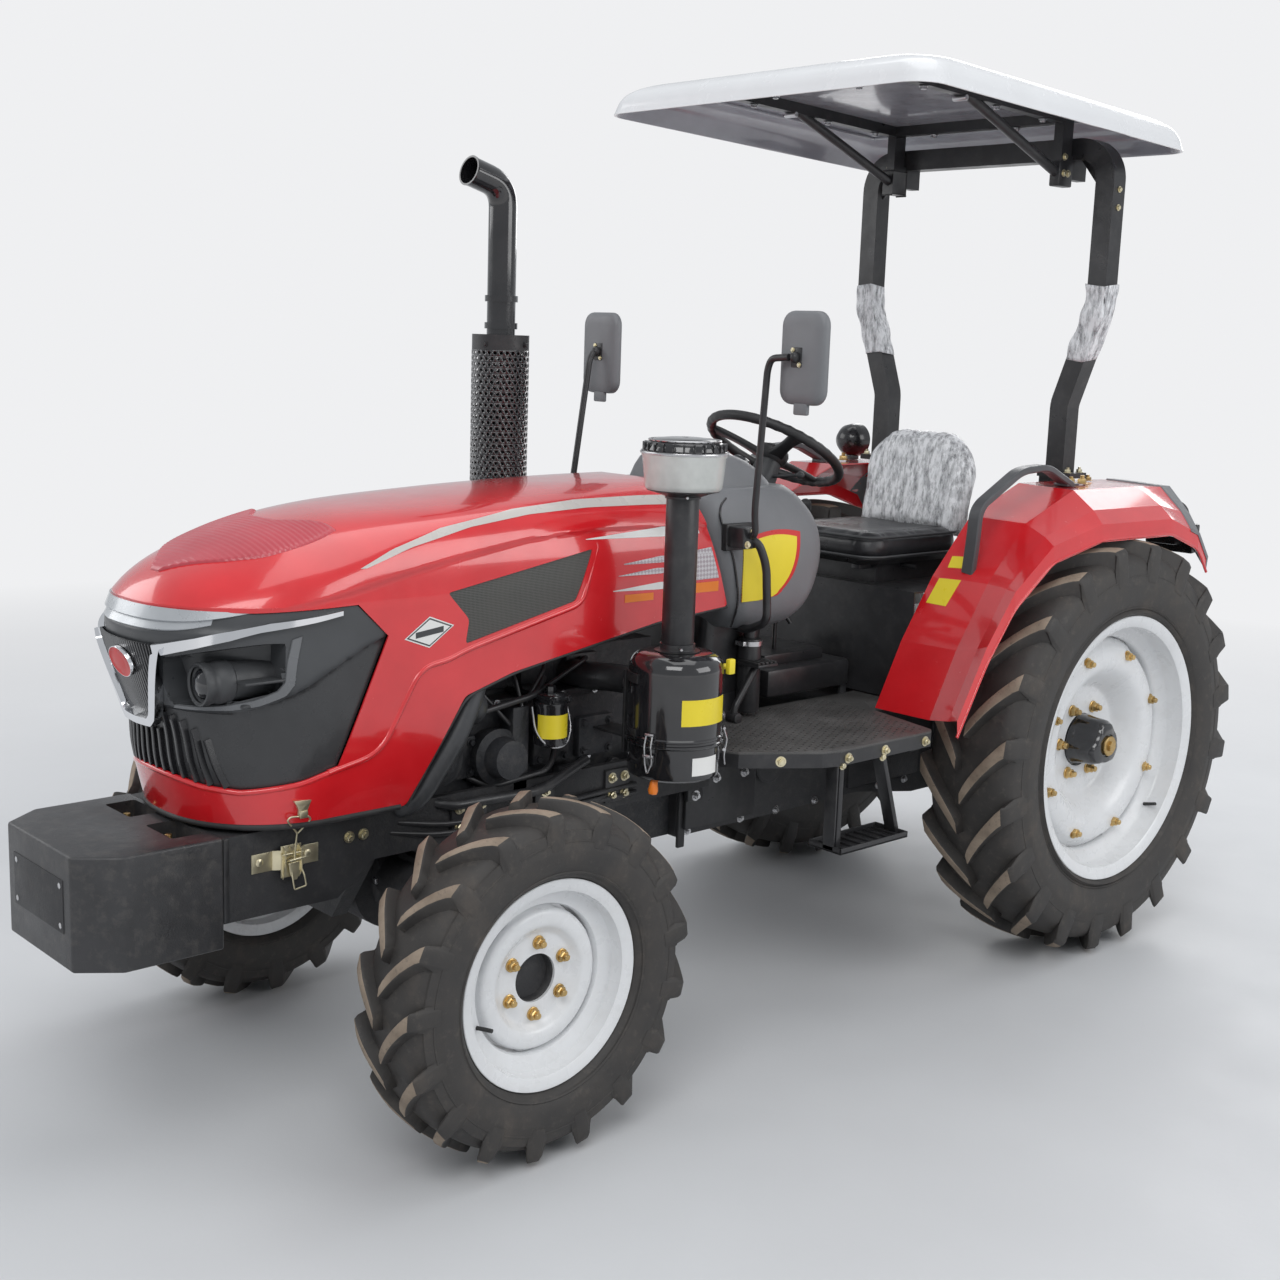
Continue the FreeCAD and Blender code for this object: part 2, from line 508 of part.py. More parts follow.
node("knuckle_right", mirrored(knuckle))

tie_end = fuse([
    rod((KINGPIN_X, FRONT_AXLE_Y + ARM_L, TIE_Z - 16), (KINGPIN_X, FRONT_AXLE_Y + ARM_L, TIE_Z + 14), 19),
    rod((KINGPIN_X, FRONT_AXLE_Y + ARM_L, TIE_Z), (KINGPIN_X, FRONT_AXLE_Y + ARM_L, ARM_Z + 14),
        TIE_PIN_R)])
tie_bar = rod((-KINGPIN_X, FRONT_AXLE_Y + ARM_L, TIE_Z), (KINGPIN_X, FRONT_AXLE_Y + ARM_L, TIE_Z), 12)
node("tie_rod", fuse([tie_bar, tie_end, mirrored(tie_end)]))

# Engine

ENGINE_FRONT = fy(-40)
ENGINE_HALF_W = 150.0
SUMP_Z = 430.0
ENGINE_TOP_Z = 960.0
engine = fuse([
    box(-ENGINE_HALF_W, ENGINE_HALF_W, ENGINE_FRONT, GEARBOX_FRONT, RAIL_TOP_Z - 60, ENGINE_TOP_Z - 90),
    box(-95, 95, ENGINE_FRONT + 40, GEARBOX_FRONT - 60, ENGINE_TOP_Z - 91, ENGINE_TOP_Z),
    box(-120, 120, fy(PIVOT_REACH + 60), GEARBOX_FRONT, SUMP_Z, RAIL_TOP_Z - 59)])
radiator = box(-215, 215, fy(-175), fy(-110), RAIL_TOP_Z, 1120)
battery = box(-130, 130, fy(-430), fy(-260), RAIL_TOP_Z, 900)
node("engine_block", Part.makeCompound([engine.cut(NODES["front_frame"]), radiator, battery]))

# Air cleaner on the left, exhaust on the right

CLEANER_X, CLEANER_Y = 420.0, fy(545)
CLEANER_R = 112.0
CLEANER_Z = (706.0, 998.0)
INTAKE_R = 38.0
BOWL_Z = (1371.0, 1492.0)
canister = rod((CLEANER_X, CLEANER_Y, CLEANER_Z[0]), (CLEANER_X, CLEANER_Y, CLEANER_Z[1]), CLEANER_R)
canister = canister.makeFillet(40, [e for e in canister.Edges if e.BoundBox.ZMin > CLEANER_Z[1] - 1])
intake = rod((CLEANER_X, CLEANER_Y, CLEANER_Z[1] - 1), (CLEANER_X, CLEANER_Y, BOWL_Z[0]), INTAKE_R)
cleaner_stay = box(GEARBOX_HALF_W, CLEANER_X - 60, CLEANER_Y - 40, CLEANER_Y + 40, CLEANER_Z[0] + 60,
                   CLEANER_Z[0] + 72)
cleaner_hose = pipe([(CLEANER_X - 60, CLEANER_Y, 900), (230, CLEANER_Y, 900), (150, CLEANER_Y - 60, 900),
                     (60, CLEANER_Y - 60, 900)], 34, 50)
node("air_cleaner", fuse([canister, intake, cleaner_stay, cleaner_hose]).cut(NODES["engine_block"]))
bowl = rod((CLEANER_X, CLEANER_Y, BOWL_Z[0]), (CLEANER_X, CLEANER_Y, BOWL_Z[1]), 100)
bowl = bowl.makeFillet(14, bowl.Edges[0:1] + bowl.Edges[2:3])
node("pre_cleaner", bowl)

EXHAUST_X, EXHAUST_Y = -400.0, fy(645)
stack = fuse([
    pipe([(-140, EXHAUST_Y, 830), (EXHAUST_X, EXHAUST_Y, 830), (EXHAUST_X, EXHAUST_Y, 1000)], 30, 70),
    rod((EXHAUST_X, EXHAUST_Y, 960), (EXHAUST_X, EXHAUST_Y, 1705), 75),
    pipe([(EXHAUST_X, EXHAUST_Y, 1700), (EXHAUST_X, EXHAUST_Y, 2085), (EXHAUST_X, EXHAUST_Y - 110, 2115)],
         38, 60)])
node("exhaust", stack.cut(NODES["engine_block"]))

# Hood: horizontal stations of (height, front, half width, nose depth), from the front axle

HOOD_REAR = fy(847)
HINGE_Y, HINGE_Z = fy(735), 1340.0
HOOD_STATIONS = [
    (690, -535, 262, 250), (815, -562, 276, 270), (917, -573, 280, 285), (1077, -622, 281, 318),
    (1120, -612, 281, 320), (1159, -591, 280, 320), (1222, -513, 272, 340), (1280, -376, 256, 380),
                 (1318, -208, 232, 430),
    (1342, 50, 196, 480), (1358, 334, 150, 420), (1365, 560, 100, 240)]


def nose_wire(z, front, half_w, depth, rear):
    pts = []
    for i in range(-12, 13):
        t = math.radians(90 * i / 12)
        across = half_w * math.copysign(abs(math.sin(t)) ** 0.9, t)
        along = front + depth * (1 - math.cos(t) ** 0.9)
        pts.append(V(across, fy(along), z))
    pts += [V(half_w, rear, z), V(-half_w, rear, z)]
    return Part.makePolygon(pts + pts[:1])


def hood_body(inset):
    wires = [nose_wire(z - (inset if z > 1100 else 0), front + inset, half_w - inset, depth, HOOD_REAR)
             for z, front, half_w, depth in HOOD_STATIONS]
    return Part.makeLoft(wires, True, True)


envelope = hood_body(0)
shell = envelope.cut(hood_body(SHEET))
keep = side_prism([(fy(-700), 697), (fy(-101), 697), (fy(42), 925), (fy(173), 964), (fy(613), 1039),
                   (fy(847), 1058), (fy(748), 1352), (fy(748), 1400), (fy(-700), 1400)], -400, 400)
shell = shell.common(keep)
mask_zone = side_prism([(fy(-700), 740), (fy(-310), 760), (fy(-278), 815), (fy(-159), 1078),
                        (fy(-233), 1150),
                        (fy(-450), 1146), (fy(-700), 1152)], -400, 400)
nose_panel = plan_prism([(-16, fy(-540)), (16, fy(-540)), (128, fy(-458)), (176, fy(-396)), (196, fy(-300)),
                         (186, fy(-225)),
                         (120, fy(-232)), (52, fy(-292)), (-52, fy(-292)), (-120, fy(-232)),
                         (-186, fy(-225)),
                         (-196, fy(-300)), (-176, fy(-396)), (-128, fy(-458))], 1195, 1400)
raised_panel = hood_body(-4).cut(hood_body(2)).common(nose_panel)
node("hood", fuse([shell.cut(mask_zone), raised_panel]))

# Charcoal mask: the lamps' pockets are sunk into it, and ribs stand on its lower corners

RECESS = 30.0
LAMP_X, LAMP_Z = 190.0, 1003.0
LAMP_R = 44.0


def recess_zone(grow):
    """Front view of a lamp's pocket, grown outwards."""
    edge = [(96, 1048), (160, 1062), (262, 1082), (282, 1080), (282, 1000), (262, 984), (212, 958),
            (150, 948), (104, 946)]
    cx, cz = LAMP_X, LAMP_Z + 10
    grown = [(x + grow * (1 if x > cx else -1), z + grow * (1 if z > cz else -1)) for x, z in edge]
    return front_prism(grown, fy(-700), fy(-378 + grow))


mask = shell.common(mask_zone)
pocket_wall = envelope.cut(hood_body(RECESS + SHEET)).common(recess_zone(SHEET))
pocket_space = envelope.cut(hood_body(RECESS)).common(recess_zone(0))
for side in (1, -1):
    wall, space = (pocket_wall, pocket_space) if side > 0 else (mirrored(pocket_wall),
                                                                mirrored(pocket_space))
    mask = fuse([mask, wall]).cut(space)
rib_zones = [box(x, x + 9, fy(-700), fy(-400), 770, 905 + 0.12 * x) for x in range(84, 225, 20)]
ribs = hood_body(-4).cut(hood_body(2)).common(fuse(rib_zones))
node("hood_mask", fuse([mask, ribs, mirrored(ribs)]))

# Grille, trim and lamps of the nose

grille_zone = front_prism([(-74, 1062), (-50, 925), (50, 925), (74, 1062)], fy(-700), fy(-400))
frame_zone = front_prism([(-150, 1056), (-78, 915), (-60, 896), (60, 896), (78, 915), (150, 1056),
                          (166, 1084),
                          (-166, 1084)], fy(-700), fy(-400))
frame_hole = front_prism([(-138, 1062), (-72, 918), (-54, 908), (54, 908), (72, 918), (138, 1062)],
                         fy(-700), fy(-400))
lip_zone = front_prism([(-262, 1128), (-160, 1112), (160, 1112), (262, 1128), (262, 1138), (160, 1138),
                        (-160, 1138),
                        (-262, 1138)], fy(-700), fy(-400))
blade = side_prism([(fy(-640), 1058), (fy(-560), 1058), (fy(-458), 1084), (fy(-272), 1130),
                    (fy(-272), 1138),
                    (fy(-458), 1107), (fy(-560), 1084), (fy(-640), 1084)], 128, 400)
raised = hood_body(-7).cut(envelope)
trim_zone = fuse([frame_zone.cut(frame_hole), lip_zone, blade, mirrored(blade)])
node("grille_trim", raised.common(trim_zone))
grille_mesh = hood_body(-2).cut(envelope).common(grille_zone)
sunk = hood_body(RECESS)
lamps = [rod((lamp_x, fy(-546), LAMP_Z), (lamp_x, fy(-440), LAMP_Z),
             LAMP_R).cut(sunk) for lamp_x in (LAMP_X, -LAMP_X)]
node("headlamps", Part.makeCompound(lamps))
mesh_zone = side_prism([(fy(-8), 1157), (fy(407), 1227), (fy(351), 1111), (fy(40), 1041), (fy(49), 1095)],
                       -400, 400)
NODES["hood"] = NODES["hood"].cut(mesh_zone)
side_mesh = shell.common(mesh_zone).cut(hood_body(SHEET * 0.5))
node("hood_mesh", Part.makeCompound([grille_mesh, side_mesh]))
HINGE_R = 8.0
hinge_ear = fuse([side_prism([(HINGE_Y - 16, HINGE_Z), (HINGE_Y - 16, 1362), (HINGE_Y + 10, 1362),
                              (HINGE_Y + 14, HINGE_Z)], 88, 96), pin(88, 96, HINGE_Y, HINGE_Z, 15)])
hinge_ear = hinge_ear.cut(pin(80, 100, HINGE_Y, HINGE_Z, HINGE_R + SHAFT_GAP))
NODES["hood"] = fuse([NODES["hood"], both(hinge_ear)])

# Dash with the steering column, and the steering wheel

DASH_FRONT = fy(767)
DASH_REAR = ry(-825)
dash_upper = Part.makeLoft([
    rounded(-280, 280, DASH_FRONT + 95, ry(-928), 60, 1032),
    rounded(-272, 272, DASH_FRONT + 45, DASH_REAR, 70, 1192),
    rounded(-232, 232, DASH_FRONT + 6, DASH_REAR, 80, 1320),
    rounded(-190, 190, DASH_FRONT, ry(-845), 70, 1385)], True, True)
dash_lower = Part.makeLoft([
    rounded(-165, 165, DASH_FRONT + 110, ry(-960), 30, 709),
    rounded(-175, 175, DASH_FRONT + 100, ry(-935), 30, 1034)], True, True)
WHEEL_TILT = math.radians(30)
COLUMN_DIR = V(0, math.sin(WHEEL_TILT), math.cos(WHEEL_TILT))
STEER_CENTRE = V(0, ry(-770), 1420)
STEER_R = 190.0
STEER_GRIP_R = 13.0
column_foot = STEER_CENTRE - COLUMN_DIR * 190
column = Part.makeCylinder(34, 150, column_foot, COLUMN_DIR)
steer_bore = Part.makeCylinder(11 + SHAFT_GAP, 160, STEER_CENTRE - COLUMN_DIR * 130, COLUMN_DIR)
carrier_ear = fuse([pin(102, 110, HINGE_Y, HINGE_Z, 11),
                    side_prism([(HINGE_Y - 10, HINGE_Z - 4), (HINGE_Y + 10, HINGE_Z - 4),
                                (DASH_FRONT + 60, HINGE_Z - 34),
                                (DASH_FRONT + 60, HINGE_Z - 70)], 102, 110)])
hinge_pin = pin(-110, 110, HINGE_Y, HINGE_Z, HINGE_R)
node("dash_console",
     fuse([dash_upper, dash_lower, column, both(carrier_ear),
           hinge_pin]).cut(steer_bore).cut(NODES["gearbox_housing"]))

grip = Part.makeTorus(STEER_R, STEER_GRIP_R, STEER_CENTRE, COLUMN_DIR)
steer_shaft = Part.makeCylinder(11, 125, STEER_CENTRE - COLUMN_DIR * 125, COLUMN_DIR)
steer_hub = Part.makeCylinder(42, 34, STEER_CENTRE - COLUMN_DIR * 32, COLUMN_DIR)
spokes = []
for angle in (90, 210, 330):
    a = math.radians(angle)
    out = X_AXIS * math.cos(a) + COLUMN_DIR.cross(X_AXIS) * math.sin(a)
    spokes.append(Part.makeCylinder(9, STEER_R, STEER_CENTRE - COLUMN_DIR * 14,
                                    out + COLUMN_DIR * (14 / STEER_R)))
node("steering_wheel", fuse([grip, steer_shaft, steer_hub] + spokes))

# Seat deck, seat and fenders

DECK_TOP_Z = 1050.0
FENDER_IN_X = 350.0
DECK_FRONT = ry(-560)
DECK_REAR = ry(70)
seat_deck = fuse([box(-FENDER_IN_X, FENDER_IN_X, DECK_FRONT, DECK_REAR, DECK_TOP_Z - SHEET, DECK_TOP_Z),
                  box(-FENDER_IN_X, FENDER_IN_X, DECK_FRONT, DECK_FRONT + SHEET, 745, DECK_TOP_Z)])

seat_base = fuse([box(-170, 170, ry(-510), ry(-150), DECK_TOP_Z, 1105),
                  side_prism([(ry(-180), 1060), (ry(-60), 1060), (ry(-60), 1160), (ry(-36), 1400), (ry(-95), 1400),
                              (ry(-128), 1160), (ry(-180), 1104)], -60, 60)])
cushion = Part.makeLoft([rounded(-215, 215, ry(-590), ry(-140), 60, 1105),
                         rounded(-225, 225, ry(-600), ry(-135), 70, 1150),
                         rounded(-210, 210, ry(-580), ry(-150), 60, 1195)], True, True)
back = side_prism([(ry(-170), 1160), (ry(-120), 1160), (ry(-82), 1440), (ry(-90), 1475), (ry(-118), 1475),
                   (ry(-136), 1440)], -215, 215)
node("seat_base", seat_base.cut(fuse([cushion, back])))
node("seat_cushion", cushion.cut(back))
node("seat_back", back)

OUTER_EDGE = [(-745, 773), (-638, 955), (-531, 1089), (-370, 1201), (-142, 1248), (222, 1246), (378, 1195),
              (440, 1120)]
INNER_EDGE = [(-700, 745), (-604, 922), (-484, 1092), (-330, 1250), (-110, 1335), (222, 1335), (400, 1329),
              (470, 1230)]


def fender_wire(x, share, drop):
    """Section of the fender's skin at x: share 0 follows the inner edge and 1 the outer edge."""
    top = [(ry(a * (1 - share) + c * share), b * (1 - share) + d * share - drop)
           for (a, b), (c, d) in zip(INNER_EDGE, OUTER_EDGE)]
    under = []
    for y, z in top:
        out = V(0, y - REAR_AXLE_Y, z - REAR_AXLE_Z).normalize()
        under.append((y - out.y * SHEET, z - out.z * SHEET))
    loop = top + under[::-1]
    return Part.makePolygon([V(x, y, z) for y, z in loop + loop[:1]])


skin = Part.makeLoft([fender_wire(x, share, drop) for x, share, drop in
                      ((FENDER_IN_X, 0, 0), (535, 0.05, 0), (615, 0.6, 0), (656, 1, 0), (660, 1, 45))],
                     True, True)
wall = side_prism([(ry(y), z) for y, z in INNER_EDGE] + [(ry(470), 1080), (ry(330), 760), (ry(-690), 745)],
                  FENDER_IN_X, FENDER_IN_X + SHEET)
fender = fuse([skin, wall])
node("fenders", both(fender))

POST_Y = ry(115)
POST_W = 60.0
POST_FOOT_X = 335.0
POST_HEAD_X = 430.0
POST_FOOT_Z = 1345.0
HOOP_Z = 2285.0
mast = box(285, 345, POST_Y - 30, POST_Y + 30, REAR_AXLE_Z + TRUMPET_R - 4, POST_FOOT_Z)
mast_foot = box(265, 349, ry(-60), POST_Y + 35, REAR_AXLE_Z + TRUMPET_R - 4, REAR_AXLE_Z + TRUMPET_R + 16)
post_plate = box(285, 400, POST_Y - 42, POST_Y + 42, POST_FOOT_Z, POST_FOOT_Z + 16)
hoop = square_pipe([(POST_FOOT_X, POST_Y, POST_FOOT_Z + 15), (POST_FOOT_X, POST_Y, 1560),
                    (POST_HEAD_X, POST_Y, 1845),
                    (POST_HEAD_X, POST_Y, HOOP_Z), (0, POST_Y, HOOP_Z)], POST_W, 90, (0, 1, 0))
roll_bar = fuse([mast, mast_foot, post_plate, hoop])
roll_bar = fuse([roll_bar, mirrored(roll_bar)])
CANOPY_HALF_W = 580.0
CANOPY_FRONT = ry(-930)
CANOPY_REAR = ry(290)
CANOPY_CORNER = 75.0
CANOPY_Z = 2305.0
CANOPY_RISE = 100.0
CANOPY_TILT = math.degrees(math.atan(50 / 1180))


def canopy_body(inset):
    """The canopy's dome, drawn level."""
    steps = ((0, 0), (10, 38), (45, 74), (130, 94), (220, CANOPY_RISE))
    wires = [rounded(-CANOPY_HALF_W + a + inset, CANOPY_HALF_W - a - inset, CANOPY_FRONT + a + inset,
                     CANOPY_REAR - a - inset, CANOPY_CORNER + a * 0.6,
                     CANOPY_Z + b - (inset if b else inset + 1))
             for a, b in steps]
    return Part.makeLoft(wires, True, True)


def tilted(shape):
    return shape.rotate(V(0, (CANOPY_FRONT + CANOPY_REAR) / 2, CANOPY_Z), X_AXIS, -CANOPY_TILT)


dome = tilted(canopy_body(0).cut(canopy_body(SHEET)))
node("canopy", dome)
CARRIER_TOP = CANOPY_Z + CANOPY_RISE - SHEET
carrier = fuse([box(290, 320, CANOPY_FRONT + 240, CANOPY_REAR - 240, CARRIER_TOP - 34, CARRIER_TOP),
                box(-320, 320, CANOPY_FRONT + 240, CANOPY_FRONT + 270, CARRIER_TOP - 34, CARRIER_TOP),
                box(-320, 320, CANOPY_REAR - 270, CANOPY_REAR - 240, CARRIER_TOP - 34, CARRIER_TOP)])
carrier = tilted(fuse([carrier, mirrored(carrier)]))
riser = box(290, 320, POST_Y - 90, POST_Y - 40, 2190, CARRIER_TOP - 20)
sill = box(290, 320, POST_Y - 90, POST_Y + 40, 2200, HOOP_Z - 20)
strut = rod((305, POST_Y - 60, 2205), (305, ry(-440), CARRIER_TOP - 12), 14)
canopy_frame = fuse([carrier] + [both(piece) for piece in (riser, sill, strut)])
lowered = seat_deck.cut(both(fuse([mast, post_plate])))
node("seat_deck", lowered.cut(NODES["gearbox_housing"]))
node("roll_bar", fuse([roll_bar, canopy_frame]).cut(NODES["gearbox_housing"]).cut(dome))

grab = pipe([(475, ry(-490), 1085), (475, ry(-470), 1290), (475, ry(-265), 1388), (475, ry(-60), 1330)], 13,
            60)
bars = both(grab).cut(NODES["fenders"])
node("grab_bars", Part.makeCompound([solid for solid in bars.Solids if solid.BoundBox.ZMax > 1300]))

# Platform and steps, mirrors, controls and rear lamps

PLATE_TOP_Z = 740.0
plate = plan_prism([(GEARBOX_HALF_W, ry(-1375)), (450, ry(-1375)), (600, ry(-1150)), (600, ry(-760)),
                    (FENDER_IN_X - 2, ry(-700)), (FENDER_IN_X - 2, DECK_FRONT + SHEET),
                    (GEARBOX_HALF_W, DECK_FRONT + SHEET)],
                   PLATE_TOP_Z - 12, PLATE_TOP_Z)
bearer = [box(GEARBOX_HALF_W, 585, ry(y), ry(y) + 40, PLATE_TOP_Z - 60, PLATE_TOP_Z - 12) for y in (-1120,
                                                                                                    -830)]
tread = fuse([box(515, 622, ry(-1135), ry(-875), 480, 492),
              box(560, 600, ry(-1135), ry(-1123), 480, PLATE_TOP_Z - 6),
              side_prism([(ry(-889), 480), (ry(-875), 480), (ry(-955), PLATE_TOP_Z - 6),
                          (ry(-969), PLATE_TOP_Z - 6)], 560, 600)])
node("platform",
     both(fuse([plate, tread] + bearer)).cut(NODES["gearbox_housing"]).cut(NODES["dash_console"]))

mirror_arms = [pipe([(250, ry(-1190), 1230), (350, ry(-1243), 1240), (375, ry(-1200), 1650),
                     (500, ry(-1185), 1668)], 9, 30),
               pipe([(-250, ry(-1190), 1230), (-350, ry(-1243), 1240), (-362, ry(-1180), 1650),
                     (-372, ry(-1075), 1664)],
                    9, 30)]
mirror_heads = [box(402, 542, ry(-1206), ry(-1181), 1565, 1785),
                box(-445, -305, ry(-1102), ry(-1077), 1555, 1775)]
mirrors = [fuse([arm, head]).cut(NODES["dash_console"]) for arm, head in zip(mirror_arms, mirror_heads)]
node("mirrors", Part.makeCompound(mirrors))

levers = []
for x, y, top_z in ((-300, ry(-420), 1280), (-262, ry(-300), 1220)):
    lean_back = 0.22 * (top_z - DECK_TOP_Z)
    stem = rod((x, y, DECK_TOP_Z - 10), (x, y - lean_back, top_z), 7)
    levers.append(fuse([stem, Part.makeSphere(20, V(x, y - lean_back, top_z))]).cut(box(x - 60, x + 60,
                                                                                        y - 60, y + 60,
                                                                                        DECK_TOP_Z - 40,
                                                                                        DECK_TOP_Z)))
pedal = [fuse([box(x - 38, x + 38, ry(-1085), ry(-1010), 880, 892),
               rod((x, ry(-1048), 884), (x, ry(-1130), 760), 10),
               rod((x, ry(-1130), 762), (x, ry(-1130), PLATE_TOP_Z), 10)]) for x in (235, -220, -310)]
node("controls", Part.makeCompound(levers + pedal))
lamp = fuse([rod((520, ry(478), 1215), (520, ry(510), 1225), 38),
             box(440, 600, ry(450), ry(490), 1120, 1215)])
node("rear_lamps", both(lamp).cut(NODES["fenders"]))

fittings = fuse([
    pipe([(140, fy(120), 840), (230, fy(120), 880), (230, fy(20), 960), (150, fy(-80), 1000)], 32, 50),
    rod((225, fy(330), 770), (225, fy(330), 875), 40),
    box(90, 225, fy(300), fy(360), 850, 880)])
node("engine_fittings", fittings.cut(NODES["engine_block"]))

os.makedirs("parts", exist_ok=True)
for name, shape in NODES.items():
    shape.exportStep("parts/" + name + ".step")
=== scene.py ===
import bpy
import bmesh
import bisect
import json
import math
import random
from mathutils import Matrix, Vector
from mathutils.bvhtree import BVHTree

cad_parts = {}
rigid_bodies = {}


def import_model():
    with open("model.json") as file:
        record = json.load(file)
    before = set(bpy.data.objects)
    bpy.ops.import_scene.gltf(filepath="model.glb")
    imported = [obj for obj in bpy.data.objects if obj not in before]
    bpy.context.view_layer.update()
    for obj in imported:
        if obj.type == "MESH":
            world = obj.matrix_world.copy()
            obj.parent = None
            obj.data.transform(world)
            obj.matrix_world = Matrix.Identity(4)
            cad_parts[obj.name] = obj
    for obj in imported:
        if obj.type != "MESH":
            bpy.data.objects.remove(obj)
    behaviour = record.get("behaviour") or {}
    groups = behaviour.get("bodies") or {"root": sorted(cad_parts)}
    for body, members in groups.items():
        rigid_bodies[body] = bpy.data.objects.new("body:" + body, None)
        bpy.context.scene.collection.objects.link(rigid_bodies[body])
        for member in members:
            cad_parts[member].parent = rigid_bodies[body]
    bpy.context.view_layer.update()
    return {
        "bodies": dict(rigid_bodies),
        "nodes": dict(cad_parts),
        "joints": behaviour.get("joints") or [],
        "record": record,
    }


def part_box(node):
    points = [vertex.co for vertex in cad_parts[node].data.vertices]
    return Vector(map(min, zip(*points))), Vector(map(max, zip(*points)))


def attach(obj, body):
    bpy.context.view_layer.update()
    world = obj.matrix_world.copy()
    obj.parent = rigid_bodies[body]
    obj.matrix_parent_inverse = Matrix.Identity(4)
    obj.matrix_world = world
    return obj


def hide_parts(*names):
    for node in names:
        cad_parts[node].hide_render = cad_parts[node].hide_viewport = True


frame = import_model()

RNG = random.Random(7)
FA = -1.060          # front axle, along the tractor
RA = 1.005           # rear axle
NODES = frame["nodes"]


def fy(v):
    """Place along the tractor, measured back from the front axle."""
    return FA + v


def ry(v):
    """Place along the tractor, measured back from the rear axle."""
    return RA + v


# Materials: procedural, in object space, which is the part's own frame

def material(name):
    mat = bpy.data.materials.new(name)
    mat.use_nodes = True
    tree = mat.node_tree
    return mat, tree, tree.nodes["Principled BSDF"]


def link(tree, a, b):
    tree.links.new(a, b)


def noise_of(tree, scale, detail=4.0, rough=0.5, coord="Object", stretch=(1, 1, 1)):
    where = tree.nodes.new("ShaderNodeTexCoord")
    mapping = tree.nodes.new("ShaderNodeMapping")
    mapping.inputs["Scale"].default_value = stretch
    tex = tree.nodes.new("ShaderNodeTexNoise")
    tex.inputs["Scale"].default_value = scale
    tex.inputs["Detail"].default_value = detail
    tex.inputs["Roughness"].default_value = rough
    link(tree, where.outputs[coord], mapping.inputs["Vector"])
    link(tree, mapping.outputs["Vector"], tex.inputs["Vector"])
    return tex.outputs["Fac"]


def ramp_of(tree, fac, stops):
    ramp = tree.nodes.new("ShaderNodeValToRGB")
    marks = ramp.color_ramp.elements
    while len(marks) < len(stops):
        marks.new(0.5)
    for mark, (pos, col) in zip(marks, stops):
        mark.position = pos
        mark.color = (*col, 1) if len(col) == 3 else col
    link(tree, fac, ramp.inputs["Fac"])
    return ramp.outputs["Color"]


def range_of(tree, fac, low, high, start=0.0, end=1.0):
    node = tree.nodes.new("ShaderNodeMapRange")
    node.inputs["From Min"].default_value = start
    node.inputs["From Max"].default_value = end
    node.inputs["To Min"].default_value = low
    node.inputs["To Max"].default_value = high
    link(tree, fac, node.inputs["Value"])
    return node.outputs["Result"]


def bump_of(tree, height, depth, strength=1.0, under=None):
    node = tree.nodes.new("ShaderNodeBump")
    node.inputs["Distance"].default_value = depth
    node.inputs["Strength"].default_value = strength
    link(tree, height, node.inputs["Height"])
    if under is not None:
        link(tree, under, node.inputs["Normal"])
    return node.outputs["Normal"]


def mix_of(tree, fac, a, b):
    """Colours a and b (tuples or sockets) mixed by fac."""
    node = tree.nodes.new("ShaderNodeMix")
    node.data_type = "RGBA"
    link(tree, fac, node.inputs["Factor"])
    for socket, value in ((node.inputs[6], a), (node.inputs[7], b)):
        if isinstance(value, tuple):
            socket.default_value = (*value, 1)
        else:
            link(tree, value, socket)
    return node.outputs[2]


def painted(name, col, rough=0.3, coat=0.0, metal=0.0, vary=0.12, grain=220.0, depth=0.0002, dust=0.0,
            dust_col=(0.35, 0.3, 0.25), spread=0.1, spec=0.5):
    """Paint, plastic or metal whose colour and gloss vary gently, with a fine grain and some dust."""
    mat, tree, bsdf = material(name)
    cloud = noise_of(tree, 7.0, 5.0, 0.55)
    dark = tuple(c * (1 - vary) for c in col)
    light = tuple(min(1.0, c * (1 + vary) + 0.004) for c in col)
    colour = ramp_of(tree, cloud, [(0.3, dark), (0.7, light)])
    if dust:
        specks = noise_of(tree, 26.0, 8.0, 0.65)
        share = range_of(tree, specks, 0.0, dust, 0.48, 0.75)
        colour = mix_of(tree, share, colour, dust_col)
    link(tree, colour, bsdf.inputs["Base Color"])
    fine = noise_of(tree, grain, 3.0, 0.6)
    gloss = noise_of(tree, 18.0, 6.0, 0.6)
    link(tree, range_of(tree, gloss, max(0.02, rough - spread), min(1.0, rough + spread), 0.3, 0.7),
         bsdf.inputs["Roughness"])
    link(tree, bump_of(tree, fine, depth), bsdf.inputs["Normal"])
    bsdf.inputs["Metallic"].default_value = metal
    bsdf.inputs["Specular IOR Level"].default_value = spec
    if coat:
        bsdf.inputs["Coat Weight"].default_value = coat
        bsdf.inputs["Coat Roughness"].default_value = 0.06
    return mat


def cast(name, col, rough=0.55, scale=160.0, depth=0.0012, dust=0.3):
    """Painted rough casting: pitted skin, oily dark patches."""
    mat, tree, bsdf = material(name)
    cloud = noise_of(tree, 5.0, 8.0, 0.6)
    colour = ramp_of(tree, cloud, [(0.25, tuple(c * 0.6 for c in col)), (0.75, tuple(c * 1.5 for c in col))])
    specks = noise_of(tree, 34.0, 8.0, 0.7)
    colour = mix_of(tree, range_of(tree, specks, 0.0, dust, 0.5, 0.8), colour, (0.12, 0.11, 0.1))
    link(tree, colour, bsdf.inputs["Base Color"])
    pits = noise_of(tree, scale, 5.0, 0.65)
    waves = noise_of(tree, 22.0, 3.0, 0.5)
    under = bump_of(tree, waves, 0.002, 0.5)
    link(tree, bump_of(tree, pits, depth, 1.0, under), bsdf.inputs["Normal"])
    link(tree, range_of(tree, cloud, rough - 0.15, rough + 0.15, 0.3, 0.7), bsdf.inputs["Roughness"])
    return mat


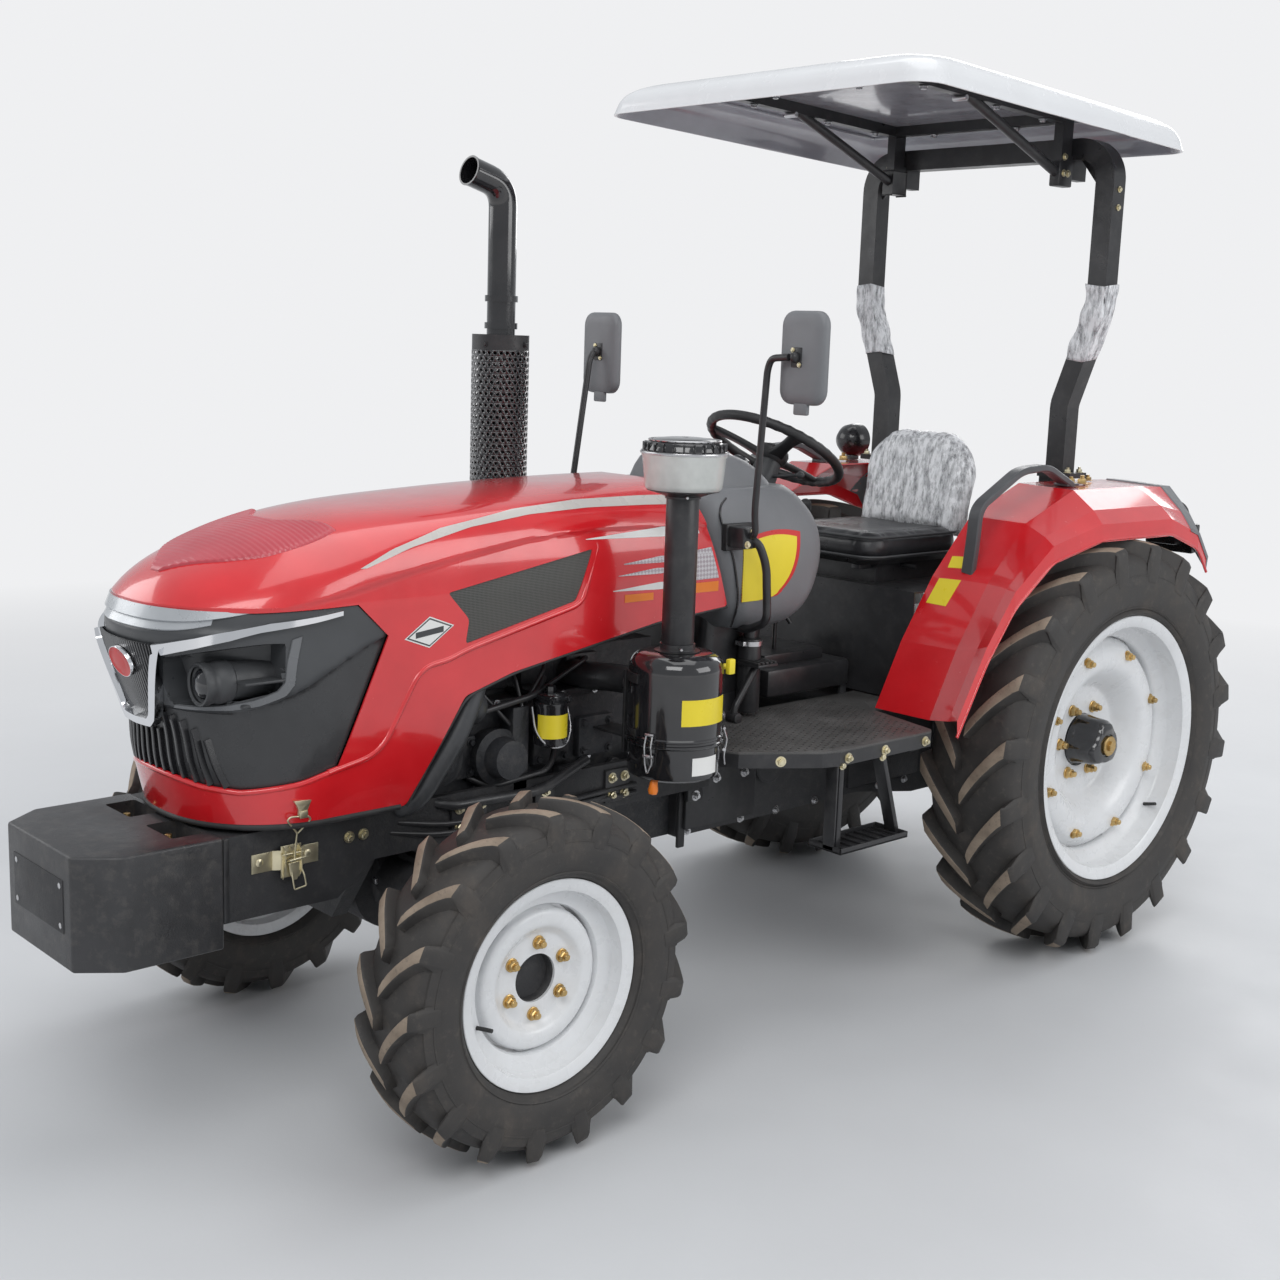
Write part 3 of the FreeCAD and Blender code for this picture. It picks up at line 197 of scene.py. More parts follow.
M = {}
M["red"] = painted("red_paint", (0.66, 0.012, 0.018), rough=0.22, coat=1.0, vary=0.08, depth=0.00005,
                   grain=900, spread=0.06)
# a darker copy of the red paint for inner faces: painted shade
M["red_inner_shaded"] = painted("red_inner_shaded", (0.30, 0.01, 0.012), rough=0.5, vary=0.15, depth=0.0002)
M["black"] = painted("black_satin", (0.022, 0.022, 0.024), rough=0.36, vary=0.3, dust=0.25, depth=0.00015,
                     dust_col=(0.10, 0.095, 0.09))
M["black_gloss"] = painted("black_gloss", (0.012, 0.012, 0.014), rough=0.14, coat=0.8, vary=0.3, dust=0.12,
                           depth=0.00004, dust_col=(0.09, 0.085, 0.08))
M["casting"] = cast("black_casting", (0.026, 0.026, 0.028))
M["engine"] = cast("engine_casting", (0.02, 0.021, 0.024), rough=0.5, scale=120, depth=0.0018, dust=0.45)
M["ballast"] = cast("ballast_iron", (0.034, 0.034, 0.036), rough=0.38, scale=210, depth=0.0007, dust=0.55)
M["rim"] = painted("rim_white", (0.74, 0.75, 0.76), rough=0.3, coat=0.25, vary=0.03, dust=0.16,
                   dust_col=(0.5, 0.48, 0.45), depth=0.00008)
M["charcoal"] = painted("mask_charcoal", (0.055, 0.058, 0.062), rough=0.34, vary=0.12, depth=0.00008,
                        grain=600)
M["bezel"] = painted("bezel_grey", (0.135, 0.14, 0.147), rough=0.28, vary=0.08, depth=0.00006, grain=600,
                     coat=0.2)
M["mask_black"] = painted("mask_black", (0.014, 0.014, 0.016), rough=0.25, coat=0.3, vary=0.2, depth=0.00006)
M["silver"] = painted("silver_paint", (0.46, 0.48, 0.50), rough=0.28, metal=0.35, coat=0.5, vary=0.05,
                      depth=0.00004)
M["chrome"] = painted("chrome_trim", (0.78, 0.79, 0.81), rough=0.1, metal=1.0, vary=0.04, depth=0.00003,
                      spread=0.05)
M["zinc"] = painted("zinc_yellow", (0.66, 0.60, 0.42), rough=0.34, metal=0.9, vary=0.25, depth=0.0002)
M["steel"] = painted("bright_steel", (0.55, 0.55, 0.56), rough=0.3, metal=0.95, vary=0.15, depth=0.0001)
M["brass"] = painted("brass_bolt", (0.55, 0.38, 0.16), rough=0.32, metal=0.95, vary=0.3, depth=0.0002)
M["plastic"] = painted("grey_plastic", (0.17, 0.175, 0.185), rough=0.48, vary=0.06, grain=700, depth=0.0003)
M["plastic_dark"] = painted("dark_plastic", (0.045, 0.047, 0.05), rough=0.42, vary=0.1, grain=700,
                            depth=0.0003)
M["rubber"] = painted("soft_rubber", (0.02, 0.02, 0.021), rough=0.6, vary=0.3, dust=0.3,
                      dust_col=(0.08, 0.075, 0.07),
                      depth=0.0003)
M["grip"] = painted("grip_rubber", (0.018, 0.018, 0.019), rough=0.45, vary=0.2, grain=900, depth=0.0003)
M["hose"] = painted("hose_grey", (0.05, 0.052, 0.056), rough=0.38, vary=0.2, dust=0.3,
                    dust_col=(0.12, 0.12, 0.12))
M["canopy"] = painted("canopy_white", (0.74, 0.75, 0.765), rough=0.22, coat=0.4, vary=0.02, depth=0.00005)
# underside of the canopy and its ribs: a darker, bluer copy of the white canopy paint, as painted shade
M["canopy_under_shaded"] = painted("canopy_under_shaded", (0.40, 0.41, 0.45), rough=0.16, coat=0.6, vary=0.12, depth=0.0002)
M["bar"] = painted("bar_grey", (0.085, 0.088, 0.094), rough=0.4, vary=0.1, grain=800, depth=0.0002)
M["yellow"] = painted("yellow_label", (0.82, 0.66, 0.03), rough=0.35, vary=0.05, depth=0.00004)
M["white_label"] = painted("white_label", (0.78, 0.78, 0.76), rough=0.35, vary=0.04, depth=0.00004)
M["orange"] = painted("orange_plastic", (0.85, 0.22, 0.02), rough=0.35, vary=0.1, depth=0.00008)
M["red_label"] = painted("red_label", (0.6, 0.02, 0.02), rough=0.35, vary=0.05, depth=0.00004)
M["amber"] = painted("amber_lens", (0.8, 0.25, 0.01), rough=0.15, coat=0.5, vary=0.1, depth=0.0001)


def clear(name, tint, rough, alpha):
    """Thin clear plastic: mostly see-through, with a gloss."""
    mat, tree, bsdf = material(name)
    cloud = noise_of(tree, 12.0, 4.0, 0.5)
    link(tree, ramp_of(tree, cloud, [(0.3, tuple(c * 0.94 for c in tint)), (0.7, tint)]),
         bsdf.inputs["Base Color"])
    link(tree, range_of(tree, cloud, rough * 0.6, rough * 1.5, 0.3, 0.7), bsdf.inputs["Roughness"])
    link(tree, range_of(tree, cloud, alpha * 0.85, alpha * 1.15, 0.3, 0.7), bsdf.inputs["Alpha"])
    bsdf.inputs["Specular IOR Level"].default_value = 0.5
    return mat


M["bowl"] = clear("clear_bowl", (0.86, 0.88, 0.85), 0.12, 0.62)
M["lens_dark"] = painted("lens_glass", (0.012, 0.013, 0.016), rough=0.05, coat=1.0, vary=0.2, depth=0.00002,
                         spread=0.03)
M["mirror"] = painted("mirror_glass", (0.85, 0.86, 0.87), rough=0.04, metal=1.0, vary=0.02, depth=0.00001,
                      spread=0.02)


# Mesh helpers

def finish_piece(obj, mat, body, smooth=True, angle=40):
    mats = mat if isinstance(mat, (list, tuple)) else [mat]
    index = [0 if len(mats) == 1 else p.material_index for p in obj.data.polygons]
    obj.data.materials.clear()
    for m in mats:
        obj.data.materials.append(m)
    obj.data.polygons.foreach_set("material_index", index)
    if smooth:
        shade(obj, angle)
    if body:
        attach(obj, body)


def shade(obj, angle=40):
    """Smooth shading with sharp edges above the angle, kept in the mesh itself."""
    mesh = obj.data
    mesh.shade_smooth()
    mesh.set_sharp_from_angle(angle=math.radians(angle))


class Build:
    """Collects solids of one material into one mesh."""

    def __init__(self):
        self.bm = bmesh.new()
        self.index = 0

    def mark(self, faces):
        for f in faces:
            f.material_index = self.index

    def add(self, verts, faces):
        vs = [self.bm.verts.new(tuple(v)) for v in verts]
        made = [self.bm.faces.new([vs[i] for i in f]) for f in faces]
        self.mark(made)
        return vs

    def box(self, x0, x1, y0, y1, z0, z1, bevel=0.0, turn=None, about=None, segs=2):
        tmp = bmesh.new()
        bmesh.ops.create_cube(tmp, size=1.0)
        for v in tmp.verts:
            v.co = Vector(((x0 + x1) / 2 + v.co.x * (x1 - x0), (y0 + y1) / 2 + v.co.y * (y1 - y0),
                           (z0 + z1) / 2 + v.co.z * (z1 - z0)))
        if bevel:
            bmesh.ops.bevel(tmp, geom=list(tmp.edges), offset=bevel, segments=segs, profile=0.5,
                            affect="EDGES")
        if turn is not None:
            c = Vector(about) if about else Vector(((x0 + x1) / 2, (y0 + y1) / 2, (z0 + z1) / 2))
            m = Matrix.Translation(c) @ turn.to_4x4() @ Matrix.Translation(-c)
            tmp.transform(m)
        self.take(tmp)

    def take(self, tmp):
        mesh = bpy.data.meshes.new("tmp")
        tmp.to_mesh(mesh)
        tmp.free()
        before = len(self.bm.faces)
        self.bm.from_mesh(mesh)
        self.bm.faces.ensure_lookup_table()
        self.mark(self.bm.faces[before:])
        bpy.data.meshes.remove(mesh)

    def lathe(self, profile, start, axis, segs=32, close=False):
        """Profile of (along, radius) points, turned about the axis from start. Ends at radius 0 are closed."""
        axis = Vector(axis).normalized()
        u = axis.orthogonal().normalized()
        w = axis.cross(u)
        start = Vector(start)
        rows = []
        for a, r in profile:
            if r < 1e-6:
                rows.append([self.bm.verts.new(start + axis * a)])
            else:
                rows.append([self.bm.verts.new(start + axis * a + (u * math.cos(t) + w * math.sin(t)) * r)
                             for t in (2 * math.pi * i / segs for i in range(segs))])
        pairs = list(zip(rows, rows[1:] + (rows[:1] if close else [])))
        if not close:
            pairs = pairs[:len(rows) - 1]
        made = []
        for p, q in pairs:
            for i in range(segs):
                j = (i + 1) % segs
                if len(p) == 1 and len(q) == 1:
                    continue
                if len(p) == 1:
                    made.append(self.bm.faces.new([p[0], q[i], q[j]]))
                elif len(q) == 1:
                    made.append(self.bm.faces.new([p[i], q[0], p[j]]))
                else:
                    made.append(self.bm.faces.new([p[i], q[i], q[j], p[j]]))
        self.mark(made)

    def rod(self, a, b, r, segs=20, bevel=0.0):
        a, b = Vector(a), Vector(b)
        length = (b - a).length
        e = min(bevel or r * 0.12, length * 0.3)
        self.lathe([(0, 0), (0, r - e), (e * 0.3, r - e * 0.3), (e, r), (length - e, r),
                    (length - e * 0.3, r - e * 0.3),
                    (length, r - e), (length, 0)], a, b - a, segs)

    def ball(self, c, r, segs=20, squeeze=1.0, axis=(0, 0, 1)):
        n = segs // 2
        self.lathe([(-r * squeeze * math.cos(math.pi * i / n),
                     r * math.sin(math.pi * i / n)) for i in range(n + 1)],
                   c, axis, segs)

    def tube(self, points, r, segs=14, bend=0.03, radii=None, flat=None, caps=True, up=None, steps=8):
        """Round bar or hose along points, its corners rounded by bend. flat = (half width, half height) makes a
        flat bar instead."""
        path = smooth_path([Vector(p) for p in points], bend, steps)
        rings = []
        n = len(path)
        ref = Vector(up) if up else None
        prev = None
        total = sum((b - a).length for a, b in zip(path, path[1:]))
        run = 0.0
        for i, p in enumerate(path):
            d = (path[min(i + 1, n - 1)] - path[max(i - 1, 0)]).normalized()
            if ref is not None:
                side = d.cross(ref).normalized()
            elif prev is None:
                side = d.orthogonal().normalized()
            else:
                side = (prev - d * prev.dot(d)).normalized()
            prev = side
            other = d.cross(side).normalized()
            if i:
                run += (path[i] - path[i - 1]).length
            rr = r if radii is None else radii(run / total)
            if flat:
                a, b = flat
                c = min(a, b) * 0.35
                corners = [(a, b - c), (a - c, b), (-a + c, b), (-a, b - c), (-a, -b + c), (-a + c, -b),
                           (a - c, -b),
                           (a, -b + c)]
                rings.append([self.bm.verts.new(p + side * s + other * t) for s, t in corners])
            else:
                rings.append([self.bm.verts.new(p + (side * math.cos(t) + other * math.sin(t)) * rr)
                              for t in (2 * math.pi * k / segs for k in range(segs))])
        made = []
        m = len(rings[0])
        for p, q in zip(rings, rings[1:]):
            for i in range(m):
                made.append(self.bm.faces.new([p[i], p[(i + 1) % m], q[(i + 1) % m], q[i]]))
        if caps:
            made.append(self.bm.faces.new(rings[0][::-1]))
            made.append(self.bm.faces.new(rings[-1]))
        self.mark(made)

    def prism(self, outline, low, high, axes="xy", bevel=0.0, segs=2):
        """Outline of 2-D points in the named plane, from low to high along the third axis."""
        third = ({"x", "y", "z"} - set(axes)).pop()

        def at(p, h):
            d = {axes[0]: p[0], axes[1]: p[1], third: h}
            return Vector((d["x"], d["y"], d["z"]))
        tmp = bmesh.new()
        lo = [tmp.verts.new(at(p, low)) for p in outline]
        hi = [tmp.verts.new(at(p, high)) for p in outline]
        n = len(outline)
        tmp.faces.new(lo[::-1])
        tmp.faces.new(hi)
        for i in range(n):
            tmp.faces.new([lo[i], lo[(i + 1) % n], hi[(i + 1) % n], hi[i]])
        bmesh.ops.recalc_face_normals(tmp, faces=tmp.faces)
        if bevel:
            bmesh.ops.bevel(tmp, geom=list(tmp.edges), offset=bevel, segments=segs, profile=0.5,
                            affect="EDGES")
        self.take(tmp)

    def bolt(self, at, out, r=0.008, head=0.006, washer=True, nut=True, thread=0.0):
        """Hexagon head on a washer, standing out from at."""
        at, out = Vector(at), Vector(out).normalized()
        base = 0.0
        if washer:
            self.lathe([(0, 0), (0, r * 1.55), (0.0018, r * 1.55), (0.0018, 0)], at, out, 18)
            base = 0.0018
        if nut:
            self.lathe([(base, 0), (base, r * 1.08), (base + head * 0.8, r * 1.08), (base + head, r * 0.92),
                        (base + head, 0)], at, out, 6)
        if thread:
            self.lathe([(base + head, r * 0.55), (base + head + thread, r * 0.55),
                        (base + head + thread, 0)], at, out, 12)

    def done(self, name, mat, body="chassis", angle=40, smooth=True, recalc=True):
        if recalc:
            bmesh.ops.recalc_face_normals(self.bm, faces=self.bm.faces)
        mesh = bpy.data.meshes.new(name)
        self.bm.to_mesh(mesh)
        self.bm.free()
        obj = bpy.data.objects.new(name, mesh)
        bpy.context.scene.collection.objects.link(obj)
        finish_piece(obj, mat, body, smooth, angle)
        return obj


def smooth_path(points, bend, steps=8):
    """Points with each corner rounded by an arc-like curve of about that radius."""
    if len(points) < 3 or bend <= 0:
        return points
    out = [points[0]]
    for a, b, c in zip(points, points[1:], points[2:]):
        u, v = (a - b), (c - b)
        cut = min(bend, u.length * 0.48, v.length * 0.48)
        p, q = b + u.normalized() * cut, b + v.normalized() * cut
        for i in range(steps + 1):
            t = i / steps
            out.append(p.lerp(b, t).lerp(b.lerp(q, t), t))
    out.append(points[-1])
    clean = [out[0]]
    for p in out[1:]:
        if (p - clean[-1]).length > 1e-5:
            clean.append(p)
    return clean


def catmull(keys, t):
    """Smooth value at t from sorted (t, value or tuple) keys, without overshoot at the ends."""
    if t <= keys[0][0]:
        return keys[0][1]
    if t >= keys[-1][0]:
        return keys[-1][1]
    for k in range(len(keys) - 1):
        if keys[k][0] <= t <= keys[k + 1][0]:
            break
    t0, t1 = keys[k][0], keys[k + 1][0]
    p1, p2 = keys[k][1], keys[k + 1][1]
    p0 = keys[k - 1][1] if k else None
    p3 = keys[k + 2][1] if k + 2 < len(keys) else None
    h = t1 - t0
    s = (t - t0) / h

    def one(a0, a1, a2, a3):
        m1 = (a2 - a1) / h if a0 is None else 0.5 * ((a2 - a1) / h + (a1 - a0) / (t0 - keys[k - 1][0]))
        m2 = (a2 - a1) / h if a3 is None else 0.5 * ((a2 - a1) / h + (a3 - a2) / (keys[k + 2][0] - t1))
        return ((2 * s ** 3 - 3 * s ** 2 + 1) * a1 + (s ** 3 - 2 * s ** 2 + s) * h * m1 +
                (-2 * s ** 3 + 3 * s ** 2) * a2 + (s ** 3 - s ** 2) * h * m2)
    if isinstance(p1, tuple):
        return tuple(one(None if p0 is None else p0[i], p1[i], p2[i], None if p3 is None else p3[i])
                     for i in range(len(p1)))
    return one(p0, p1, p2, p3)


def dress(name, mat, bevel=0.0):
    """A CAD node keeps its shape and gets its finish, and slightly rounded edges."""
    obj = NODES[name]
    obj.data.materials.clear()
    obj.data.materials.append(mat)
    for slot in obj.material_slots:
        slot.material = mat
    if bevel:
        mod = obj.modifiers.new("edges", "BEVEL")
        mod.width = bevel
        mod.segments = 2
        mod.limit_method = "ANGLE"
        mod.angle_limit = math.radians(32)
        mod.harden_normals = False
    return obj


# Camera, floor and light

def place_camera():
    yaw, pitch, roll = math.radians(47.13), math.radians(10.17), math.radians(1.98)
    back = Vector((math.sin(yaw) * math.cos(pitch), -math.cos(yaw) * math.cos(pitch), math.sin(pitch)))
    ahead = -back
    right = ahead.cross(Vector((0, 0, 1))).normalized()
    up = right.cross(ahead)
    c, s = math.cos(roll), math.sin(roll)
    across = right * c + up * s
    upward = up * c - right * s
    data = bpy.data.cameras.new("Camera")
    data.lens = 46.7
    data.sensor_width = 36.0
    data.sensor_fit = "HORIZONTAL"
    data.shift_x = -0.0045
    data.shift_y = -0.0023
    data.clip_end = 100
    data.dof.use_dof = False
    cam = bpy.data.objects.new("Camera", data)
    bpy.context.scene.collection.objects.link(cam)
    m = Matrix((across, upward, back)).transposed().to_4x4()
    m.translation = Vector((3.1464, -3.1469, 1.7067))
    cam.matrix_world = m
    bpy.context.scene.camera = cam


def place_light():
    scene = bpy.context.scene
    world = bpy.data.worlds.new("World")
    scene.world = world
    world.use_nodes = True
    tree = world.node_tree
    plain = tree.nodes["Background"]
    plain.inputs["Color"].default_value = (0.93, 0.96, 1.0, 1)
    plain.inputs["Strength"].default_value = 0.55
    white = tree.nodes.new("ShaderNodeBackground")
    white.inputs["Color"].default_value = (0.93, 0.935, 0.95, 1)
    white.inputs["Strength"].default_value = 0.93
    path = tree.nodes.new("ShaderNodeLightPath")
    mix = tree.nodes.new("ShaderNodeMixShader")
    link(tree, path.outputs["Is Camera Ray"], mix.inputs["Fac"])
    link(tree, plain.outputs["Background"], mix.inputs[1])
    link(tree, white.outputs["Background"], mix.inputs[2])
    link(tree, mix.outputs["Shader"], tree.nodes["World Output"].inputs["Surface"])
    for name, at, aim, size, power in (
            ("key", (3.6, -4.4, 5.6), (0, -0.2, 0.6), 4.0, 150),
            ("fill", (-5.0, -4.0, 3.6), (0, -0.4, 0.7), 4.5, 90),
            ("side", (5.6, 2.4, 3.4), (0, 0, 0.8), 4.0, 100),
            ("top", (0.2, 0.4, 6.4), (0, 0, 0), 5.5, 92),
            ("rear", (-2.4, 6.0, 3.6), (0, 0.4, 0.8), 4.0, 100)):
        data = bpy.data.lights.new(name, "AREA")
        data.shape = "RECTANGLE"
        data.size = size
        data.size_y = size * 0.7
        data.energy = power
        lamp = bpy.data.objects.new(name, data)
        scene.collection.objects.link(lamp)
        lamp.location = at
        lamp.rotation_euler = (Vector(aim) - Vector(at)).to_track_quat("-Z", "Y").to_euler()
    scene.view_settings.view_transform = "Standard"


def place_floor():
    mesh = bpy.data.meshes.new("floor")
    r, n = 30.0, 96
    verts = [(0, 0, 0)] + [(r * math.cos(2 * math.pi * i / n), r * math.sin(2 * math.pi * i / n),
                            0) for i in range(n)]
    mesh.from_pydata(verts, [], [(0, 1 + i, 1 + (i + 1) % n) for i in range(n)])
    floor = bpy.data.objects.new("floor", mesh)
    bpy.context.scene.collection.objects.link(floor)
    mat, tree, bsdf = material("floor_paint")
    cloud = noise_of(tree, 0.6, 5.0, 0.5)
    colour = ramp_of(tree, cloud, [(0.35, (0.60, 0.61, 0.625)), (0.65, (0.655, 0.665, 0.68))])
    link(tree, colour, bsdf.inputs["Base Color"])
    link(tree, range_of(tree, noise_of(tree, 3.0, 6.0, 0.6), 0.42, 0.62, 0.3, 0.7), bsdf.inputs["Roughness"])
    link(tree, bump_of(tree, noise_of(tree, 60.0, 4.0, 0.6), 0.0004), bsdf.inputs["Normal"])
    # Far from the machine the floor takes the backdrop's white for the camera and in reflections
    where = tree.nodes.new("ShaderNodeTexCoord")
    flat = tree.nodes.new("ShaderNodeVectorMath")
    flat.operation = "LENGTH"
    link(tree, where.outputs["Object"], flat.inputs[0])
    glow = tree.nodes.new("ShaderNodeEmission")
    glow.inputs["Color"].default_value = (0.93, 0.935, 0.95, 1)
    glow.inputs["Strength"].default_value = 0.93
    path = tree.nodes.new("ShaderNodeLightPath")
    seen = tree.nodes.new("ShaderNodeMath")
    seen.operation = "MAXIMUM"
    link(tree, path.outputs["Is Camera Ray"], seen.inputs[0])
    link(tree, path.outputs["Is Glossy Ray"], seen.inputs[1])
    share = tree.nodes.new("ShaderNodeMath")
    share.operation = "MULTIPLY"
    link(tree, range_of(tree, flat.outputs["Value"], 0.0, 1.0, 2.4, 7.5), share.inputs[0])
    link(tree, seen.outputs[0], share.inputs[1])
    fade = tree.nodes.new("ShaderNodeMixShader")
    link(tree, share.outputs[0], fade.inputs["Fac"])
    link(tree, bsdf.outputs["BSDF"], fade.inputs[1])
    link(tree, glow.outputs["Emission"], fade.inputs[2])
    link(tree, fade.outputs["Shader"], tree.nodes["Material Output"].inputs["Surface"])
    mesh.materials.append(mat)


place_camera()
place_light()
place_floor()


# CAD nodes' own finishes

# material, bevel, nodes
FINISHES = (
    ("rim", 0.0015, "front_rim_left front_rim_right rear_rim_left rear_rim_right"),
    ("casting", 0.003, "gearbox_housing front_axle_beam knuckle_left knuckle_right front_frame"),
    ("steel", 0.0008, "pto_shaft"),
    ("black", 0.0015,
     "drawbar lift_arms lower_links lift_rods top_link tie_rod seat_base seat_deck platform"),
    ("ballast", 0.006, "ballast_block"),
    ("engine", 0.004, "engine_block"),
    ("black_gloss", 0.0, "air_cleaner exhaust"),
    ("bowl", 0.0, "pre_cleaner"),
    ("red", 0.0015, "hood fenders"),
    ("charcoal", 0.001, "hood_mask"),
    ("chrome", 0.001, "grille_trim"),
    ("lens_dark", 0.001, "headlamps"),
    ("mask_black", 0.0, "hood_mesh"),
    ("plastic", 0.003, "dash_console"),
    ("grip", 0.0, "steering_wheel seat_cushion seat_back"),
    ("black", 0.002, "roll_bar"),
    ("canopy", 0.002, "canopy"),
    ("bar", 0.0, "grab_bars"),
    ("black", 0.001, "mirrors controls rear_lamps engine_fittings"),
)
for finish, edge_width, nodes in FINISHES:
    for node in nodes.split():
        dress(node, M[finish], edge_width)


# Wheels: tyres with leaning lugs, pressed rims and discs, hubs with their bolts

def tread_rubber():
    mat, tree, bsdf = material("tyre_rubber")
    cloud = noise_of(tree, 9.0, 8.0, 0.65)
    fine = noise_of(tree, 240.0, 4.0, 0.6)
    streaks = noise_of(tree, 40.0, 6.0, 0.7)
    colour = ramp_of(tree, cloud, [(0.3, (0.026, 0.0245, 0.024)), (0.55, (0.045, 0.041, 0.038)),
                                   (0.8, (0.095, 0.08, 0.068))])
    colour = mix_of(tree, range_of(tree, streaks, 0.0, 0.35, 0.55, 0.8), colour, (0.17, 0.145, 0.12))
    link(tree, colour, bsdf.inputs["Base Color"])
    link(tree, range_of(tree, cloud, 0.5, 0.74, 0.3, 0.7), bsdf.inputs["Roughness"])
    under = bump_of(tree, streaks, 0.0012, 0.5)
    link(tree, bump_of(tree, fine, 0.0003, 1.0, under), bsdf.inputs["Normal"])
    return mat


def lug_rubber():
    mat, tree, bsdf = material("tyre_lug_face")
    cloud = noise_of(tree, 14.0, 7.0, 0.6)
    fine = noise_of(tree, 300.0, 5.0, 0.7)
    scuffs = noise_of(tree, 90.0, 6.0, 0.7)
    colour = ramp_of(tree, cloud, [(0.28, (0.17, 0.13, 0.095)), (0.5, (0.26, 0.205, 0.155)),
                                   (0.78, (0.36, 0.29, 0.225))])
    colour = mix_of(tree, range_of(tree, scuffs, 0.0, 0.7, 0.56, 0.74), colour, (0.06, 0.05, 0.043))
    link(tree, colour, bsdf.inputs["Base Color"])
    link(tree, range_of(tree, cloud, 0.62, 0.85, 0.3, 0.7), bsdf.inputs["Roughness"])
    link(tree, bump_of(tree, fine, 0.0005), bsdf.inputs["Normal"])
    return mat


M["tyre"] = tread_rubber()
M["lug"] = lug_rubber()


